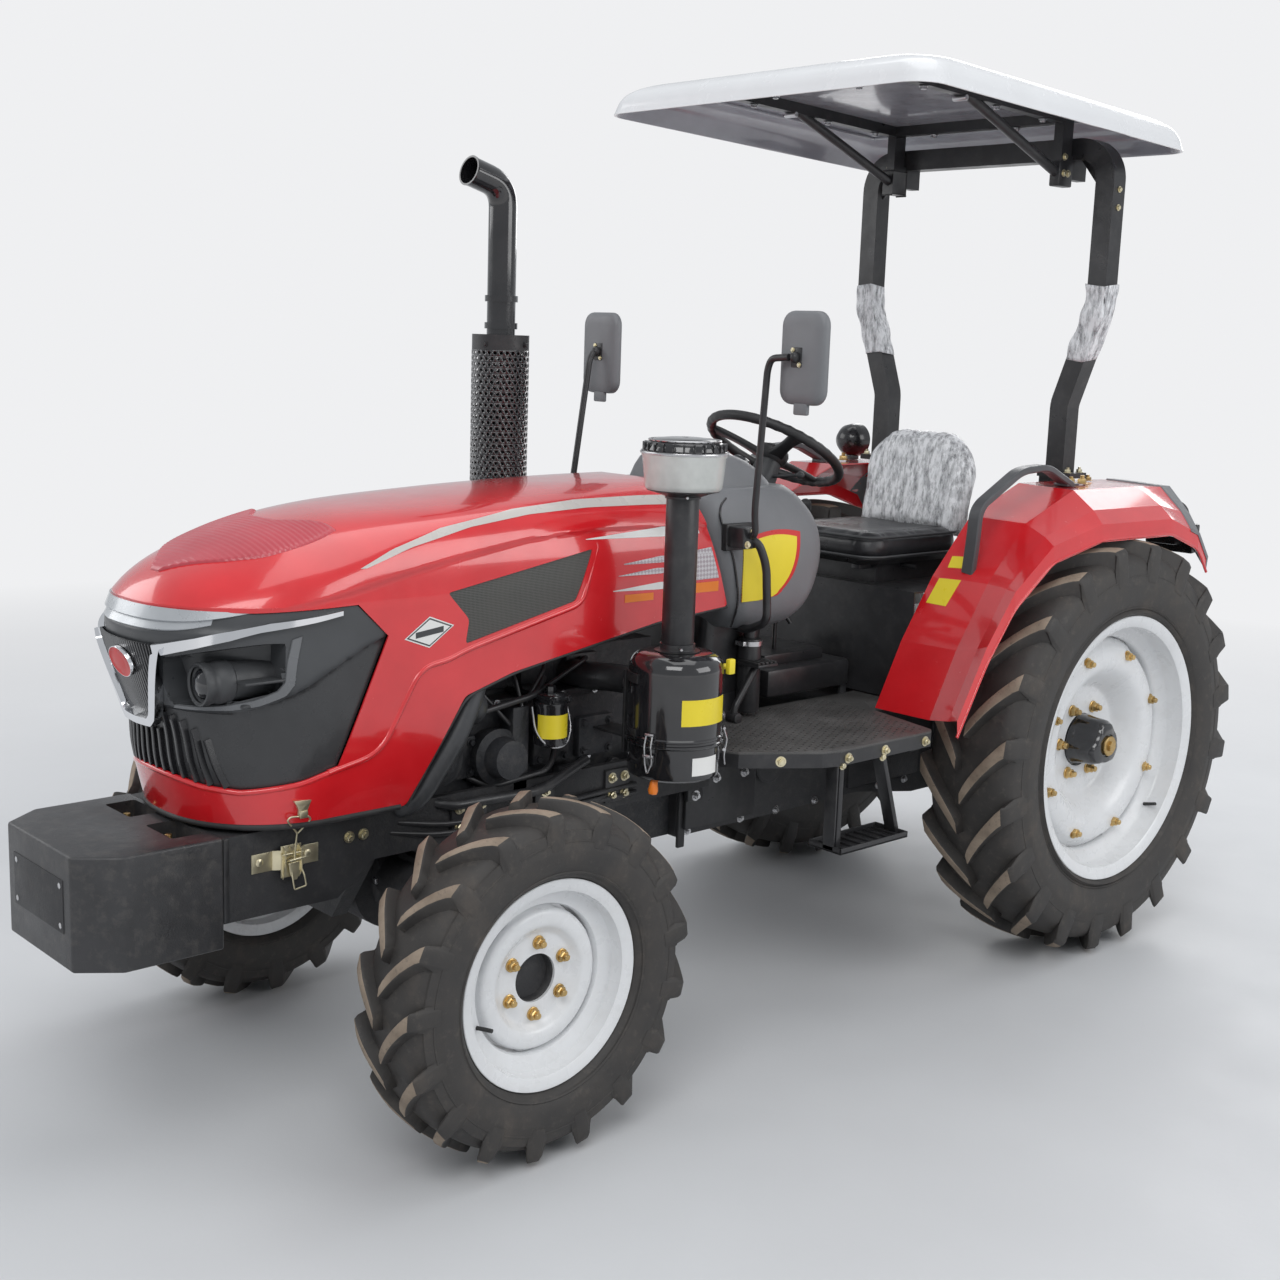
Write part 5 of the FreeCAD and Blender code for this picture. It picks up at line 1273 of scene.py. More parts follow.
def strip(b, left, right, thick, samples=40, rise=None):
    """Raised band between two point functions of 0..1, which take the lift; its edges are rolled in."""
    grid = []
    for i in range(samples + 1):
        t = i / samples
        h = thick if rise is None else thick * rise(t)
        row = [left(t, -0.003), left(t, h * 0.55)]
        for k in (0.06, 0.2, 0.5, 0.8, 0.94):
            a, c = left(t, h), right(t, h)
            row.append(a.lerp(c, k))
        row += [right(t, h * 0.55), right(t, -0.003)]
        grid.append([b.bm.verts.new(p) for p in row])
    made = []
    for p, q in zip(grid, grid[1:]):
        for k in range(len(p) - 1):
            made.append(b.bm.faces.new([p[k], p[k + 1], q[k + 1], q[k]]))
    made.append(b.bm.faces.new(grid[0]))
    made.append(b.bm.faces.new(grid[-1][::-1]))
    b.mark(made)


def along(points, t):
    """Point at share t of a polyline of tuples."""
    pts = [Vector(p) for p in points]
    lens = [(q - p).length for p, q in zip(pts, pts[1:])]
    want = t * sum(lens)
    for p, q, ln in zip(pts, pts[1:], lens):
        if want <= ln + 1e-12:
            return p.lerp(q, want / ln if ln else 0)
        want -= ln
    return pts[-1]


def patch(b, low, high, lift, n, m):
    """Thin sticker between two (y, z) lines on each flank of the hood."""
    for side in (1, -1):
        grid = []
        for i in range(n + 1):
            t = i / n
            p, q = along(low, t), along(high, t)
            row = []
            for j in range(m + 1):
                c = p.lerp(q, j / m)
                at = on_side(c[0], c[1], lift + hood_lift(0.28, c[0], c[1]))
                row.append(b.bm.verts.new((side * at.x, at.y, at.z)))
            grid.append(row)
        for p, q in zip(grid, grid[1:]):
            for j in range(m):
                vs = [p[j], p[j + 1], q[j + 1], q[j]]
                if (vs[0].co - vs[1].co).length < 1e-7:
                    vs = [vs[0], vs[2], vs[3]]
                elif (vs[2].co - vs[3].co).length < 1e-7:
                    vs = vs[:3]
                b.mark([b.bm.faces.new(vs)])


def make_nose_trim():
    # two silver lips under the red one
    b = Build()
    for z_top, z_low, x_end, h in ((1.149, 1.124, 0.246, 0.012), (1.124, 1.108, 0.205, 0.005)):
        def top(t, lift, z=z_top, e=x_end):
            x = (2 * t - 1) * e
            return on_nose(x, z + 0.010 * (abs(x) / e) ** 4 * (0 if z > 1.13 else 1), lift - 0.004)

        def low(t, lift, z=z_low, zt=z_top, e=x_end):
            x = (2 * t - 1) * e
            f = 1 - (abs(x) / e) ** 5
            return on_nose(x, zt - (zt - z) * f - 0.001, lift - 0.004)
        strip(b, top, low, h, 72, rise=lambda t: 0.15 + 0.85 * (1 - abs(2 * t - 1) ** 4))
    lips = b.done("nose_lips", M["silver"], "hood", angle=50)
    # chrome blades and the frame round the grille
    b = Build()
    blade = [(0.114, 1.0670), (0.140, 1.0735), (0.193, 1.0880), (0.233, 1.1020), (0.262, 1.1180)]
    for side in (1, -1):
        def at_blade(t, off, lift, side=side):
            if t < 0.55:
                x, z = along(blade, t / 0.55)
                p = on_nose(x, z + off, lift)
            else:
                k = (t - 0.55) / 0.45
                x0, z0 = blade[-1]
                y0 = nose_y(x0, station_of(z0))
                y, z = along([(y0, z0), (-0.330, 1.1285), (-0.272, 1.1365)], k)
                p = on_side(y, z + off, lift)
            return Vector((side * p.x, p.y, p.z))

        def upper(t, lift, side=side):
            return at_blade(t, 0.0130 * (1 - 0.60 * t), lift, side)

        def lower(t, lift, side=side):
            return at_blade(t, -0.0130 * (1 - 0.60 * t), lift, side)
        strip(b, upper, lower, 0.010, 60, rise=lambda t: 1.0 - 0.55 * t)
        frame = [(0.138, 1.076), (0.071, 0.914), (0.055, 0.898), (0.0, 0.896)]

        def outer_edge(t, lift, side=side):
            x, z = along(frame, t)
            p = on_nose(x, z, lift)
            return Vector((side * p.x, p.y, p.z))
        inner_line = [(0.114, 1.062), (0.0555, 0.928), (0.045, 0.9175), (0.0, 0.9155)]

        def inner_edge(t, lift, side=side):
            x, z = along(inner_line, t)
            p = on_nose(x, z, lift)
            return Vector((side * p.x, p.y, p.z))
        strip(b, outer_edge, inner_edge, 0.019, 48)
    chrome = b.done("nose_chrome", M["chrome"], "hood", angle=50)
    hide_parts("grille_trim")
    # black bars of the grille
    b = Build()
    for k in range(-14, 15):
        x = k * 0.0079
        z0 = 0.914 + max(0.0, (abs(x) - 0.049)) * (0.145 / 0.062)
        b.tube([on_nose(x, z, 0.0035) for z in (z0, (z0 + 1.078) / 2, 1.078)], 0.0, bend=0,
               flat=(0.0021, 0.005),
               up=(1, 0, 0))
    bars = b.done("grille_bars", M["mask_black"], "hood")
    # blank badge
    b = Build()
    c = on_nose(0, 1.030, 0.011)
    d = (on_nose(0, 1.045, 0.011) - on_nose(0, 1.015, 0.011)).normalized()
    out = Vector((1, 0, 0)).cross(d).normalized()
    if out.y > 0:
        out = -out
    n = 40
    # share of the oval's size, height
    rims = [(1.0, -0.006), (1.0, 0.0), (0.98, 0.0018), (0.945, 0.0020), (0.92, 0.0012), (0.5, 0.003),
            (0.0, 0.0036)]
    rings = []
    for k, h in rims:
        rings.append([b.bm.verts.new(c + Vector((1, 0, 0)) * (0.046 * k * math.cos(2 * math.pi * i / n)) +
                                     d * (0.034 * k * math.sin(2 * math.pi * i / n)) + out * h) for i in range(n)]
                     if k else [b.bm.verts.new(c + out * h)])
    for r, (p, q) in enumerate(zip(rings, rings[1:])):
        for i in range(n):
            j = (i + 1) % n
            f = b.bm.faces.new([p[i], p[j], q[j], q[i]] if len(q) > 1 else [p[i], p[j], q[0]])
            f.material_index = 0 if r < 3 else 1
    badge = b.done("nose_badge", [M["chrome"], M["red_label"]], "hood", angle=50)
    # vertical ribs on the lower corners of the mask
    b = Build()
    for k in range(-7, 8):
        z1 = 0.888 if abs(k) < 3 else 0.926 - 0.045 * ((abs(k) - 3) / 4) ** 2
        pts = []
        for j in range(9):
            x = (0.0275 - 0.0035 * j / 8) * abs(k)
            z0 = line_at(MASK_LOW, nose_y(x, station_of(0.79))) + 0.002
            p = on_nose(x, z0 + (z1 - z0) * j / 8, -0.0082)
            pts.append((math.copysign(p.x, k), p.y, p.z))
        b.tube(pts, 0.0, bend=0, flat=(0.0078, 0.0050), up=(1, 0, 0))
    ribs = b.done("mask_ribs", M["mask_black"], "hood")


def make_lamps():
    for name, side in (("left", 1), ("right", -1)):
        b = Build()
        x, z = side * LAMP[0], LAMP[1]
        y0 = FA - 0.546
        b.lathe([(0, 0.036), (-0.003, 0.040), (-0.002, 0.0435), (0.004, 0.0445), (0.014, 0.0440),
                 (0.018, 0.0415),
                 (0.030, 0.0410), (0.034, 0.0435), (0.060, 0.0435), (0.064, 0.0400), (0.16, 0.0395)],
                (x, y0, z), (0, 1, 0), 48)
        b.lathe([(0.006, 0.0405), (0.005, 0.036), (0.009, 0.030), (0.012, 0.0265)], (x, y0, z), (0, 1, 0), 48)
        # fin beside the barrel and the dark shelf that carries it
        b.box(min(x, x + side * 0.078), max(x, x + side * 0.078), y0 + 0.060, y0 + 0.165, z + 0.002,
              z + 0.008, 0.002)
        b.box(x - 0.050, x + 0.050, y0 + 0.070, y0 + 0.16, z - 0.050, z - 0.043, 0.002)
        body = b.done("lamp_body_" + name, M["plastic_dark"], "hood", angle=35)
        g = Build()
        g.lathe([(0.010, 0.0345), (0.003, 0.030), (-0.004, 0.021), (-0.0075, 0.010), (-0.0085, 0)],
                (x, y0 + 0.002, z),
                (0, 1, 0), 40)
        lens = g.done("lamp_lens_" + name, M["lens_dark"], "hood", angle=60)
        if side > 0:
            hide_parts("headlamps")
    # satin band round the outer end and underside of each lamp's pocket
    b = Build()
    near = [(-0.384, 1.090), (-0.394, 1.045), (-0.398, 1.003), (-0.412, 0.986), (-0.452, 0.970),
            (-0.492, 0.959), (-0.545, 0.951),
            (-0.562, 0.950)]
    far = [(-0.362, 1.096), (-0.372, 1.045), (-0.377, 0.997), (-0.394, 0.975), (-0.444, 0.956),
           (-0.488, 0.9475), (-0.545, 0.944),
           (-0.562, 0.9435)]
    for side in (1, -1):
        def edge(line, t, lift, side=side):
            y, z = along(line, t)
            p = on_side(y, z, lift - 0.004)
            return Vector((side * p.x, p.y, p.z))
        strip(b, lambda t, lift: edge(near, t, lift), lambda t, lift: edge(far, t, lift), 0.0035, 60)
    bezel = b.done("lamp_bezels", M["bezel"], "hood", angle=50)


def make_hood_details():
    # ribbed panel on the nose
    b = Build()
    half_line = [(-0.540, 0.016), (-0.500, 0.072), (-0.458, 0.128), (-0.430, 0.153), (-0.396, 0.176),
                 (-0.350, 0.190),
                 (-0.300, 0.196), (-0.262, 0.194), (-0.232, 0.186)]
    back_line = [(0.0, -0.292), (0.052, -0.290), (0.120, -0.240), (0.150, -0.228), (0.186, -0.226)]
    rows = []
    y0, y1 = -0.540, -0.226
    pitch = 0.0108
    n = int((y1 - y0) / (pitch / 6))
    m = 64
    for i in range(n + 1):
        y = y0 + (y1 - y0) * i / n
        w = catmull(half_line, y)
        row = []
        for j in range(-m // 2, m // 2 + 1):
            q = j / (m / 2)
            x = w * q
            yb = line_at(back_line, abs(x))
            # rows behind the notch are pulled forward to it
            yy = min(y, yb) if y > -0.30 else y
            z = top_z(x, yy)
            edge = min(1.0, (1 - abs(q)) * w / 0.006, max(0.0, (yy - y0)) / 0.006,
                       max(0.0, (yb - yy)) / 0.006)
            side_share = max(0.0, min(1.0, (abs(q) - 0.45) / 0.3))
            wave = 0.5 + 0.5 * math.cos(2 * math.pi * (yy - y0) / pitch)
            rib = (0.0007 + 0.0009 * side_share) * wave * min(1.0, edge)
            e = 0.004
            n1 = Vector((1, 0, (top_z(x + e, yy) - top_z(x - e, yy)) / (2 * e)))
            n2 = Vector((0, 1, (top_z(x, yy + e) - top_z(x, yy - e)) / (2 * e)))
            up = n1.cross(n2).normalized()
            lift = hood_lift(x, yy, z) + 0.0005 + (0.0038 * min(1.0,
                                                                edge) ** 0.5 + rib if edge > 0 else -0.001)
            p = Vector((x, FA + yy, z)) + up * lift
            row.append(b.bm.verts.new(p))
        rows.append(row)
    for p, q in zip(rows, rows[1:]):
        for j in range(m):
            b.bm.faces.new([p[j], p[j + 1], q[j + 1], q[j]])
    bmesh.ops.remove_doubles(b.bm, verts=b.bm.verts, dist=0.00005)
    panel = b.done("hood_panel", M["red_panel"], "hood", angle=70)

    # red lip round the nose, over the silver ones
    b = Build()
    pts = []
    for i in range(81):
        x = (2 * i / 80 - 1) * 0.268
        pts.append(on_nose(x, 1.1535 + 0.006 * (abs(x) / 0.268) ** 6, 0.0005))
    b.tube(pts, 0.0052, 10, bend=0)
    # folded ribs: round the front band, up behind the mask and below the window
    def side_run(points, side):
        path = smooth_path([Vector((0, y, z)) for y, z in points], 0.05, 6)
        out = []
        for p in path:
            at = on_side(p.y, p.z, -0.0035)
            out.append((side * at.x, at.y, at.z))
        return out
    for side in (1, -1):
        run = side_run([(-0.300, 0.802), (-0.276, 0.807), (-0.176, 0.827), (-0.085, 0.985), (-0.055, 1.004),
                        (-0.006, 1.010), (0.045, 1.028),
                        (0.352, 1.099), (0.372, 1.112), (0.424, 1.232), (0.420, 1.240)], side)
        fine = []
        for p, q in zip(run, run[1:]):
            p, q = Vector(p), Vector(q)
            k = max(1, int((q - p).length / 0.012))
            fine += [p.lerp(q, j / k) for j in range(k)]
        fine.append(Vector(run[-1]))
        b.tube(fine, 0.0075, 10, bend=0, radii=lambda t: 0.0075 - 0.0035 * max(0.0, t - 0.9) / 0.1)
    band = []
    for i in range(61):
        x = (2 * i / 60 - 1) * 0.235
        z = line_at(MASK_LOW, nose_y(abs(x), station_of(0.79))) - 0.005
        band.append(on_nose(x, z, -0.0035))
    for side in (1, -1):
        tail = [on_side(y, z, -0.0035) for y, z in ((-0.400, 0.780), (-0.358, 0.785), (-0.300, 0.801),
                                                    (-0.276, 0.807))]
        tail = [(side * p.x, p.y, p.z) for p in tail]
        band = band + tail if side > 0 else tail[::-1] + band
    b.tube(band, 0.0065, 10, bend=0.02)
    ribs = b.done("hood_ribs", M["red"], "hood", angle=60)

    # black seal under the hood's lower edge
    b = Build()
    low = [on_nose((2 * i / 60 - 1) * 0.250, 0.6965, -0.002) for i in range(61)]
    for side in (1, -1):
        tail = [on_side(y, 0.6965, -0.002) for y in (-0.33, -0.28, -0.2, -0.115)]
        tail = [(side * p.x, p.y, p.z) for p in tail]
        low = low + tail if side > 0 else tail[::-1] + low
    b.tube(low, 0.007, 10, bend=0.01)
    for side in (1, -1):
        arch = [(-0.101, 0.697), (0.042, 0.925), (0.173, 0.964), (0.613, 1.039), (0.845, 1.058)]
        pts = smooth_path([Vector((0, y + 0.004, z - 0.003)) for y, z in arch], 0.03, 6)
        pts = [on_side(p.y, p.z, -0.004) for p in pts]
        b.tube([(side * p.x, p.y, p.z) for p in pts], 0.0042, 8, bend=0)
    seal = b.done("hood_seal", M["rubber"], "hood")

    # mesh windows, set a little behind the skin
    for side, name in ((1, "left"), (-1, "right")):
        grid = hood_grid(0.0025, None, HOOD_REAR, side_n=44)
        outer = solid_of(grid, "hood_window_" + name)
        inner = solid_of(hood_grid(0.0045, None, HOOD_REAR + 0.01), "inner")
        outer = boolean(outer, inner, "DIFFERENCE")
        wide = [(y + (0.004 if y > 0.2 else -0.004), z + (0.004 if z > 1.12 else -0.004)) for y, z in WINDOW]
        lo, hi = (0.15, 0.5) if side > 0 else (-0.5, -0.15)
        outer = boolean(outer, side_cutter(wide, lo, hi), "INTERSECT")
        finish_piece(outer, M["window"], "hood", angle=40)
        if side > 0:
            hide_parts("hood_mesh")

    # stripes and stickers: name, material, steps along and across, then each one's lower and upper line
    stickers = (
        ("stripe_silver", "stripe", (
            (60, 4, [(-0.224, 1.2215), (-0.219, 1.219), (-0.093, 1.258), (0.068, 1.291), (0.238, 1.309),
                     (0.415, 1.316), (0.600, 1.315), (0.735, 1.312)],
             [(-0.224, 1.222), (-0.141, 1.256), (-0.007, 1.293), (0.201, 1.322), (0.394, 1.334),
              (0.600, 1.336),
              (0.735, 1.334)]),)),
        ("stripes_white", "white_label", (
            (24, 2, [(0.388, 1.248), (0.627, 1.243), (0.752, 1.244)],
             [(0.388, 1.2495), (0.632, 1.2655), (0.749, 1.258)]),
            (24, 2, [(0.464, 1.1235), (0.613, 1.118), (0.700, 1.122)],
             [(0.464, 1.125), (0.613, 1.136), (0.690, 1.131)]))),
        ("stripes_grey", "checker", (
            (24, 2, [(0.498, 1.184), (0.615, 1.182), (0.700, 1.184)],
             [(0.498, 1.186), (0.617, 1.198), (0.692, 1.194)]),
            (24, 2, [(0.480, 1.158), (0.600, 1.156), (0.700, 1.158)],
             [(0.480, 1.159), (0.600, 1.170), (0.692, 1.167)]),
            (8, 4, [(0.716, 1.131), (0.812, 1.132)], [(0.720, 1.203), (0.788, 1.209)]))),
        ("stripes_orange", "orange", (
            (6, 2, [(0.501, 1.094), (0.593, 1.094)], [(0.501, 1.113), (0.593, 1.112)]),
            (6, 2, [(0.716, 1.100), (0.812, 1.099)], [(0.716, 1.124), (0.812, 1.124)]))),
    )
    for name, mat, patches in stickers:
        b = Build()
        for n, m, low, high in patches:
            patch(b, low, high, 0.0007, n, m)
        b.done(name, M[mat], "hood", angle=60)
    b = Build()
    c = Vector((-0.056, 1.0765))
    for k, (sy, sz, up, idx) in enumerate(((0.064, 0.034, 0.0006, 0), (0.059, 0.031, 0.0009, 1),
                                           (0.053, 0.0275, 0.0012, 0),
                                           (0.036, 0.008, 0.0015, 1))):
        for side in (1, -1):
            ring = []
            corners = [(1, 0.10), (0, 1), (-1, -0.10), (0, -1)] if k < 3 else [(1, 0.9), (-1, 0.7),
                                                                               (-1, -0.9), (1, -0.7)]
            for a, e in corners:
                at = on_side(c.x + sy * a, c.y + sz * e + 0.10 * sy * a, up)
                ring.append(b.bm.verts.new((side * at.x, at.y, at.z)))
            f = b.bm.faces.new(ring)
            f.material_index = idx
    label = b.done("hood_diamond", [M["white_label"], M["plastic_dark"]], "hood", angle=60)


def window_mesh_mat():
    """Dark woven mesh: a fine grid of wires, with the holes between painted near black as painted shade of the space
    behind.
    """
    mat, tree, bsdf = material("window_mesh")
    where = tree.nodes.new("ShaderNodeTexCoord")
    split = tree.nodes.new("ShaderNodeSeparateXYZ")
    link(tree, where.outputs["Object"], split.inputs["Vector"])
    waves = []
    for axis in ("Y", "Z"):
        scale = tree.nodes.new("ShaderNodeMath")
        scale.operation = "MULTIPLY"
        scale.inputs[1].default_value = 2 * math.pi / 0.0035
        link(tree, split.outputs[axis], scale.inputs[0])
        wave = tree.nodes.new("ShaderNodeMath")
        wave.operation = "SINE"
        link(tree, scale.outputs[0], wave.inputs[0])
        waves.append(wave.outputs[0])
    top = tree.nodes.new("ShaderNodeMath")
    top.operation = "MAXIMUM"
    link(tree, waves[0], top.inputs[0])
    link(tree, waves[1], top.inputs[1])
    share = range_of(tree, top.outputs[0], 0.0, 1.0, 0.1, 0.7)
    # near black in the holes is painted shade of the dim space behind the mesh; the wires are dark grey
    colour = mix_of(tree, share, (0.014, 0.014, 0.014), (0.13, 0.132, 0.122))
    cloud = noise_of(tree, 8.0, 5.0, 0.6)
    colour = mix_of(tree, range_of(tree, cloud, 0.0, 0.35, 0.4, 0.7), colour, (0.10, 0.095, 0.085))
    link(tree, colour, bsdf.inputs["Base Color"])
    bsdf.inputs["Roughness"].default_value = 0.5
    link(tree, bump_of(tree, share, 0.0008), bsdf.inputs["Normal"])
    return mat


def checker_mat():
    mat, tree, bsdf = material("checker_label")
    where = tree.nodes.new("ShaderNodeTexCoord")
    mapping = tree.nodes.new("ShaderNodeMapping")
    mapping.inputs["Rotation"].default_value = (math.radians(45), 0, 0)
    link(tree, where.outputs["Object"], mapping.inputs["Vector"])
    check = tree.nodes.new("ShaderNodeTexChecker")
    check.inputs["Scale"].default_value = 130
    check.inputs["Color1"].default_value = (0.62, 0.60, 0.62, 1)
    check.inputs["Color2"].default_value = (0.40, 0.34, 0.37, 1)
    link(tree, mapping.outputs["Vector"], check.inputs["Vector"])
    cloud = noise_of(tree, 20.0, 3.0, 0.5)
    link(tree, mix_of(tree, range_of(tree, cloud, 0.0, 0.2, 0.3, 0.7), check.outputs["Color"],
                      (0.5, 0.46, 0.48)),
         bsdf.inputs["Base Color"])
    bsdf.inputs["Roughness"].default_value = 0.35
    return mat


M["window"] = window_mesh_mat()
M["mask_lower"] = painted("mask_lower", (0.030, 0.031, 0.033), rough=0.3, coat=0.2, vary=0.15, depth=0.00008,
                          grain=600)
M["checker"] = checker_mat()
M["stripe"] = painted("stripe_silver_film", (0.56, 0.53, 0.50), rough=0.3, coat=0.6, vary=0.04, depth=0.00003)
M["red_panel"] = painted("red_panel_paint", (0.50, 0.055, 0.075), rough=0.42, coat=0.35, vary=0.08,
                         depth=0.00008)
make_hood()
make_mask()
make_nose_trim()
make_lamps()
make_hood_details()

# Engine bay, dash and controls

def ring(x0, x1, y0, y1, r, z, n=6):
    """Rounded rectangle at height z."""
    points = []
    for cx, cy, a in ((x1 - r, y1 - r, 0), (x0 + r, y1 - r, 90), (x0 + r, y0 + r, 180),
                      (x1 - r, y0 + r, 270)):
        for k in range(n + 1):
            t = math.radians(a + 90 * k / n)
            points.append(Vector((cx + r * math.cos(t), cy + r * math.sin(t), z)))
    return points


def loft(b, rings, caps=True, close=False):
    rows = [[b.bm.verts.new(p) for p in points] for points in rings]
    m = len(rows[0])
    pairs = list(zip(rows, rows[1:])) + ([(rows[-1], rows[0])] if close else [])
    made = [b.bm.faces.new([p[i], p[(i + 1) % m], q[(i + 1) % m], q[i]]) for p, q in pairs for i in range(m)]
    if caps and not close:
        made += [b.bm.faces.new(rows[0][::-1]), b.bm.faces.new(rows[-1])]
    b.mark(made)


def arc_band(b, at, r0, r1, a0, a1, z0, z1, n=18):
    """Part of an upright cylinder's wall between two angles in degrees."""
    rings = []
    for k in range(n + 1):
        t = math.radians(a0 + (a1 - a0) * k / n)
        rings.append([Vector((at[0] + r * math.cos(t), at[1] + r * math.sin(t), z))
                      for r, z in ((r0, z0), (r1, z0), (r1, z1), (r0, z1))])
    loft(b, rings)


def perforated(b, at, r, z0, z1, cols, rows, hole):
    """Upright sheet-metal tube with a hole in each cell."""
    for j in range(rows):
        for i in range(cols):
            def spot(u, v):
                t = 2 * math.pi * (i + u + (0.5 if j % 2 else 0.0)) / cols
                return Vector((at[0] + r * math.cos(t), at[1] + r * math.sin(t),
                               z0 + (z1 - z0) * (j + v) / rows))
            corners = [spot(1, 1), spot(0, 1), spot(0, 0), spot(1, 0)]
            eye = [spot(0.5 + hole * math.cos(t), 0.5 + hole * math.sin(t))
                   for t in (math.radians(22.5 + 45 * k) for k in range(8))]
            faces = []
            for k in range(4):
                faces += [(k, 4 + 2 * k, 4 + 2 * k + 1), (k, 4 + 2 * k + 1, 4 + (2 * k + 2) % 8, (k + 1) % 4)]
            b.add(corners + eye, faces)
    bmesh.ops.remove_doubles(b.bm, verts=b.bm.verts, dist=1e-5)


CAN = (0.42, fy(0.545))


def make_air_cleaner():
    x, y = CAN
    foot = (x, y, 0.706)
    b = Build()
    b.lathe([(0, 0), (0, 0.098), (0.006, 0.107), (0.012, 0.109), (0.078, 0.109), (0.080, 0.113),
             (0.083, 0.1155),
             (0.087, 0.1155), (0.089, 0.1128), (0.094, 0.1128), (0.096, 0.1150), (0.100, 0.1150),
             (0.103, 0.112),
             (0.248, 0.112)] +
            [(0.252 + 0.040 * math.sin(t), 0.072 + 0.040 * math.cos(t)) for t in
             (math.radians(9 * k) for k in range(11))] + [(0.292, 0.055), (0.289, 0.052), (0.289, 0)],
            foot, (0, 0, 1), 72)
    b.done("air_cleaner_can", M["black_gloss"], angle=35)
    b = Build()
    b.lathe([(0, 0.030), (0, 0.052), (0.006, 0.054), (0.008, 0.042), (0.022, 0.0395), (0.022, 0.030)],
            (x, y, 0.994), (0, 0, 1), 40, close=True)
    b.rod((x, y, 0.99), (x, y, 1.372), 0.038, 48, 0.002)
    for z in (1.004, 1.352):
        b.lathe([(0, 0.036), (0, 0.0415), (0.012, 0.0415), (0.012, 0.036)], (x, y, z), (0, 0, 1), 40,
                close=True)
    b.lathe([(0, 0), (0, 0.040), (0.008, 0.062), (0.014, 0.084), (0.016, 0.084), (0.016, 0)], (x, y, 1.356),
            (0, 0, 1), 48)
    b.box(0.15, x - 0.10, y - 0.035, y + 0.035, 0.768, 0.774, 0.001)
    b.box(x - 0.118, x - 0.108, y - 0.06, y + 0.06, 0.74, 0.94, 0.003)
    for z in (0.80, 0.93):
        arc_band(b, CAN, 0.110, 0.1150, 95, 265, z, z + 0.022)
    b.tube([(x - 0.06, y, 0.90), (0.23, y, 0.90), (0.15, y - 0.06, 0.90), (0.06, y - 0.06, 0.90)], 0.034, 24,
           0.05)
    b.done("air_cleaner_pipe", M["black"], angle=35)
    b = Build()
    for turn in (-73, 48, 168):
        t = math.radians(turn)
        out = Vector((math.cos(t), math.sin(t), 0))
        side = Vector((-math.sin(t), math.cos(t), 0))

        def at(r, s, z):
            return Vector((x, y, z)) + out * r + side * s
        b.tube([at(0.1155, -0.008, 0.818), at(0.124, -0.008, 0.792), at(0.118, -0.009, 0.752),
                at(0.122, 0, 0.728), at(0.118, 0.009, 0.752), at(0.124, 0.008, 0.792),
                at(0.1155, 0.008, 0.818)],
               0.0022, 8, 0.006)
        b.rod(at(0.118, -0.013, 0.768), at(0.118, 0.013, 0.768), 0.0045, 10)
        b.rod(at(0.1165, -0.011, 0.818), at(0.1165, 0.011, 0.818), 0.0035, 10)
    for z in (1.006, 1.354):
        b.rod((x + 0.036, y - 0.026, z + 0.004), (x + 0.052, y - 0.036, z + 0.004), 0.0032, 10)
    for clamp_x in (0.335, 0.275):
        b.lathe([(0, 0.034), (0, 0.0365), (0.011, 0.0365), (0.011, 0.034)], (clamp_x, y, 0.90), (1, 0, 0),
                32, close=True)
    b.done("air_cleaner_clips", M["steel"], angle=35)
    for name, mat, a0, a1, z0, z1 in (("air_cleaner_label", "yellow", -36, 34, 0.842, 0.903),
                                      ("air_cleaner_tag", "white_label", -20, 20, 0.724, 0.766)):
        b = Build()
        r = 0.112 if z0 > 0.8 else 0.109
        arc_band(b, CAN, r - 0.0005, r + 0.0007, a0, a1, z0, z1)
        b.done(name, M[mat], angle=50)
    b = Build()
    b.lathe([(0, 0), (0, 0.008), (0.012, 0.010), (0.026, 0.012), (0.034, 0.009), (0.036, 0)],
            (x + 0.028, y - 0.085, 0.708), (0.1, -0.2, -1), 16)
    b.tube([(0.17, fy(0.10), 0.855), (0.17, fy(0.10), 0.885)], 0.022, 20, 0.0)
    b.lathe([(0, 0), (0, 0.010), (0.006, 0.013), (0.012, 0.013), (0.016, 0)], (0.17, fy(0.10), 0.884),
            (0, 0, 1), 16)
    b.done("valve_and_cap", M["orange"], angle=40)
    b = Build()
    b.box(x + 0.084, x + 0.098, y + 0.076, y + 0.096, 0.948, 0.984, 0.003)
    b.rod((x + 0.06, y + 0.07, 0.965), (x + 0.09, y + 0.086, 0.965), 0.007, 12)
    b.done("service_indicator", M["yellow"])
    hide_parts("air_cleaner")
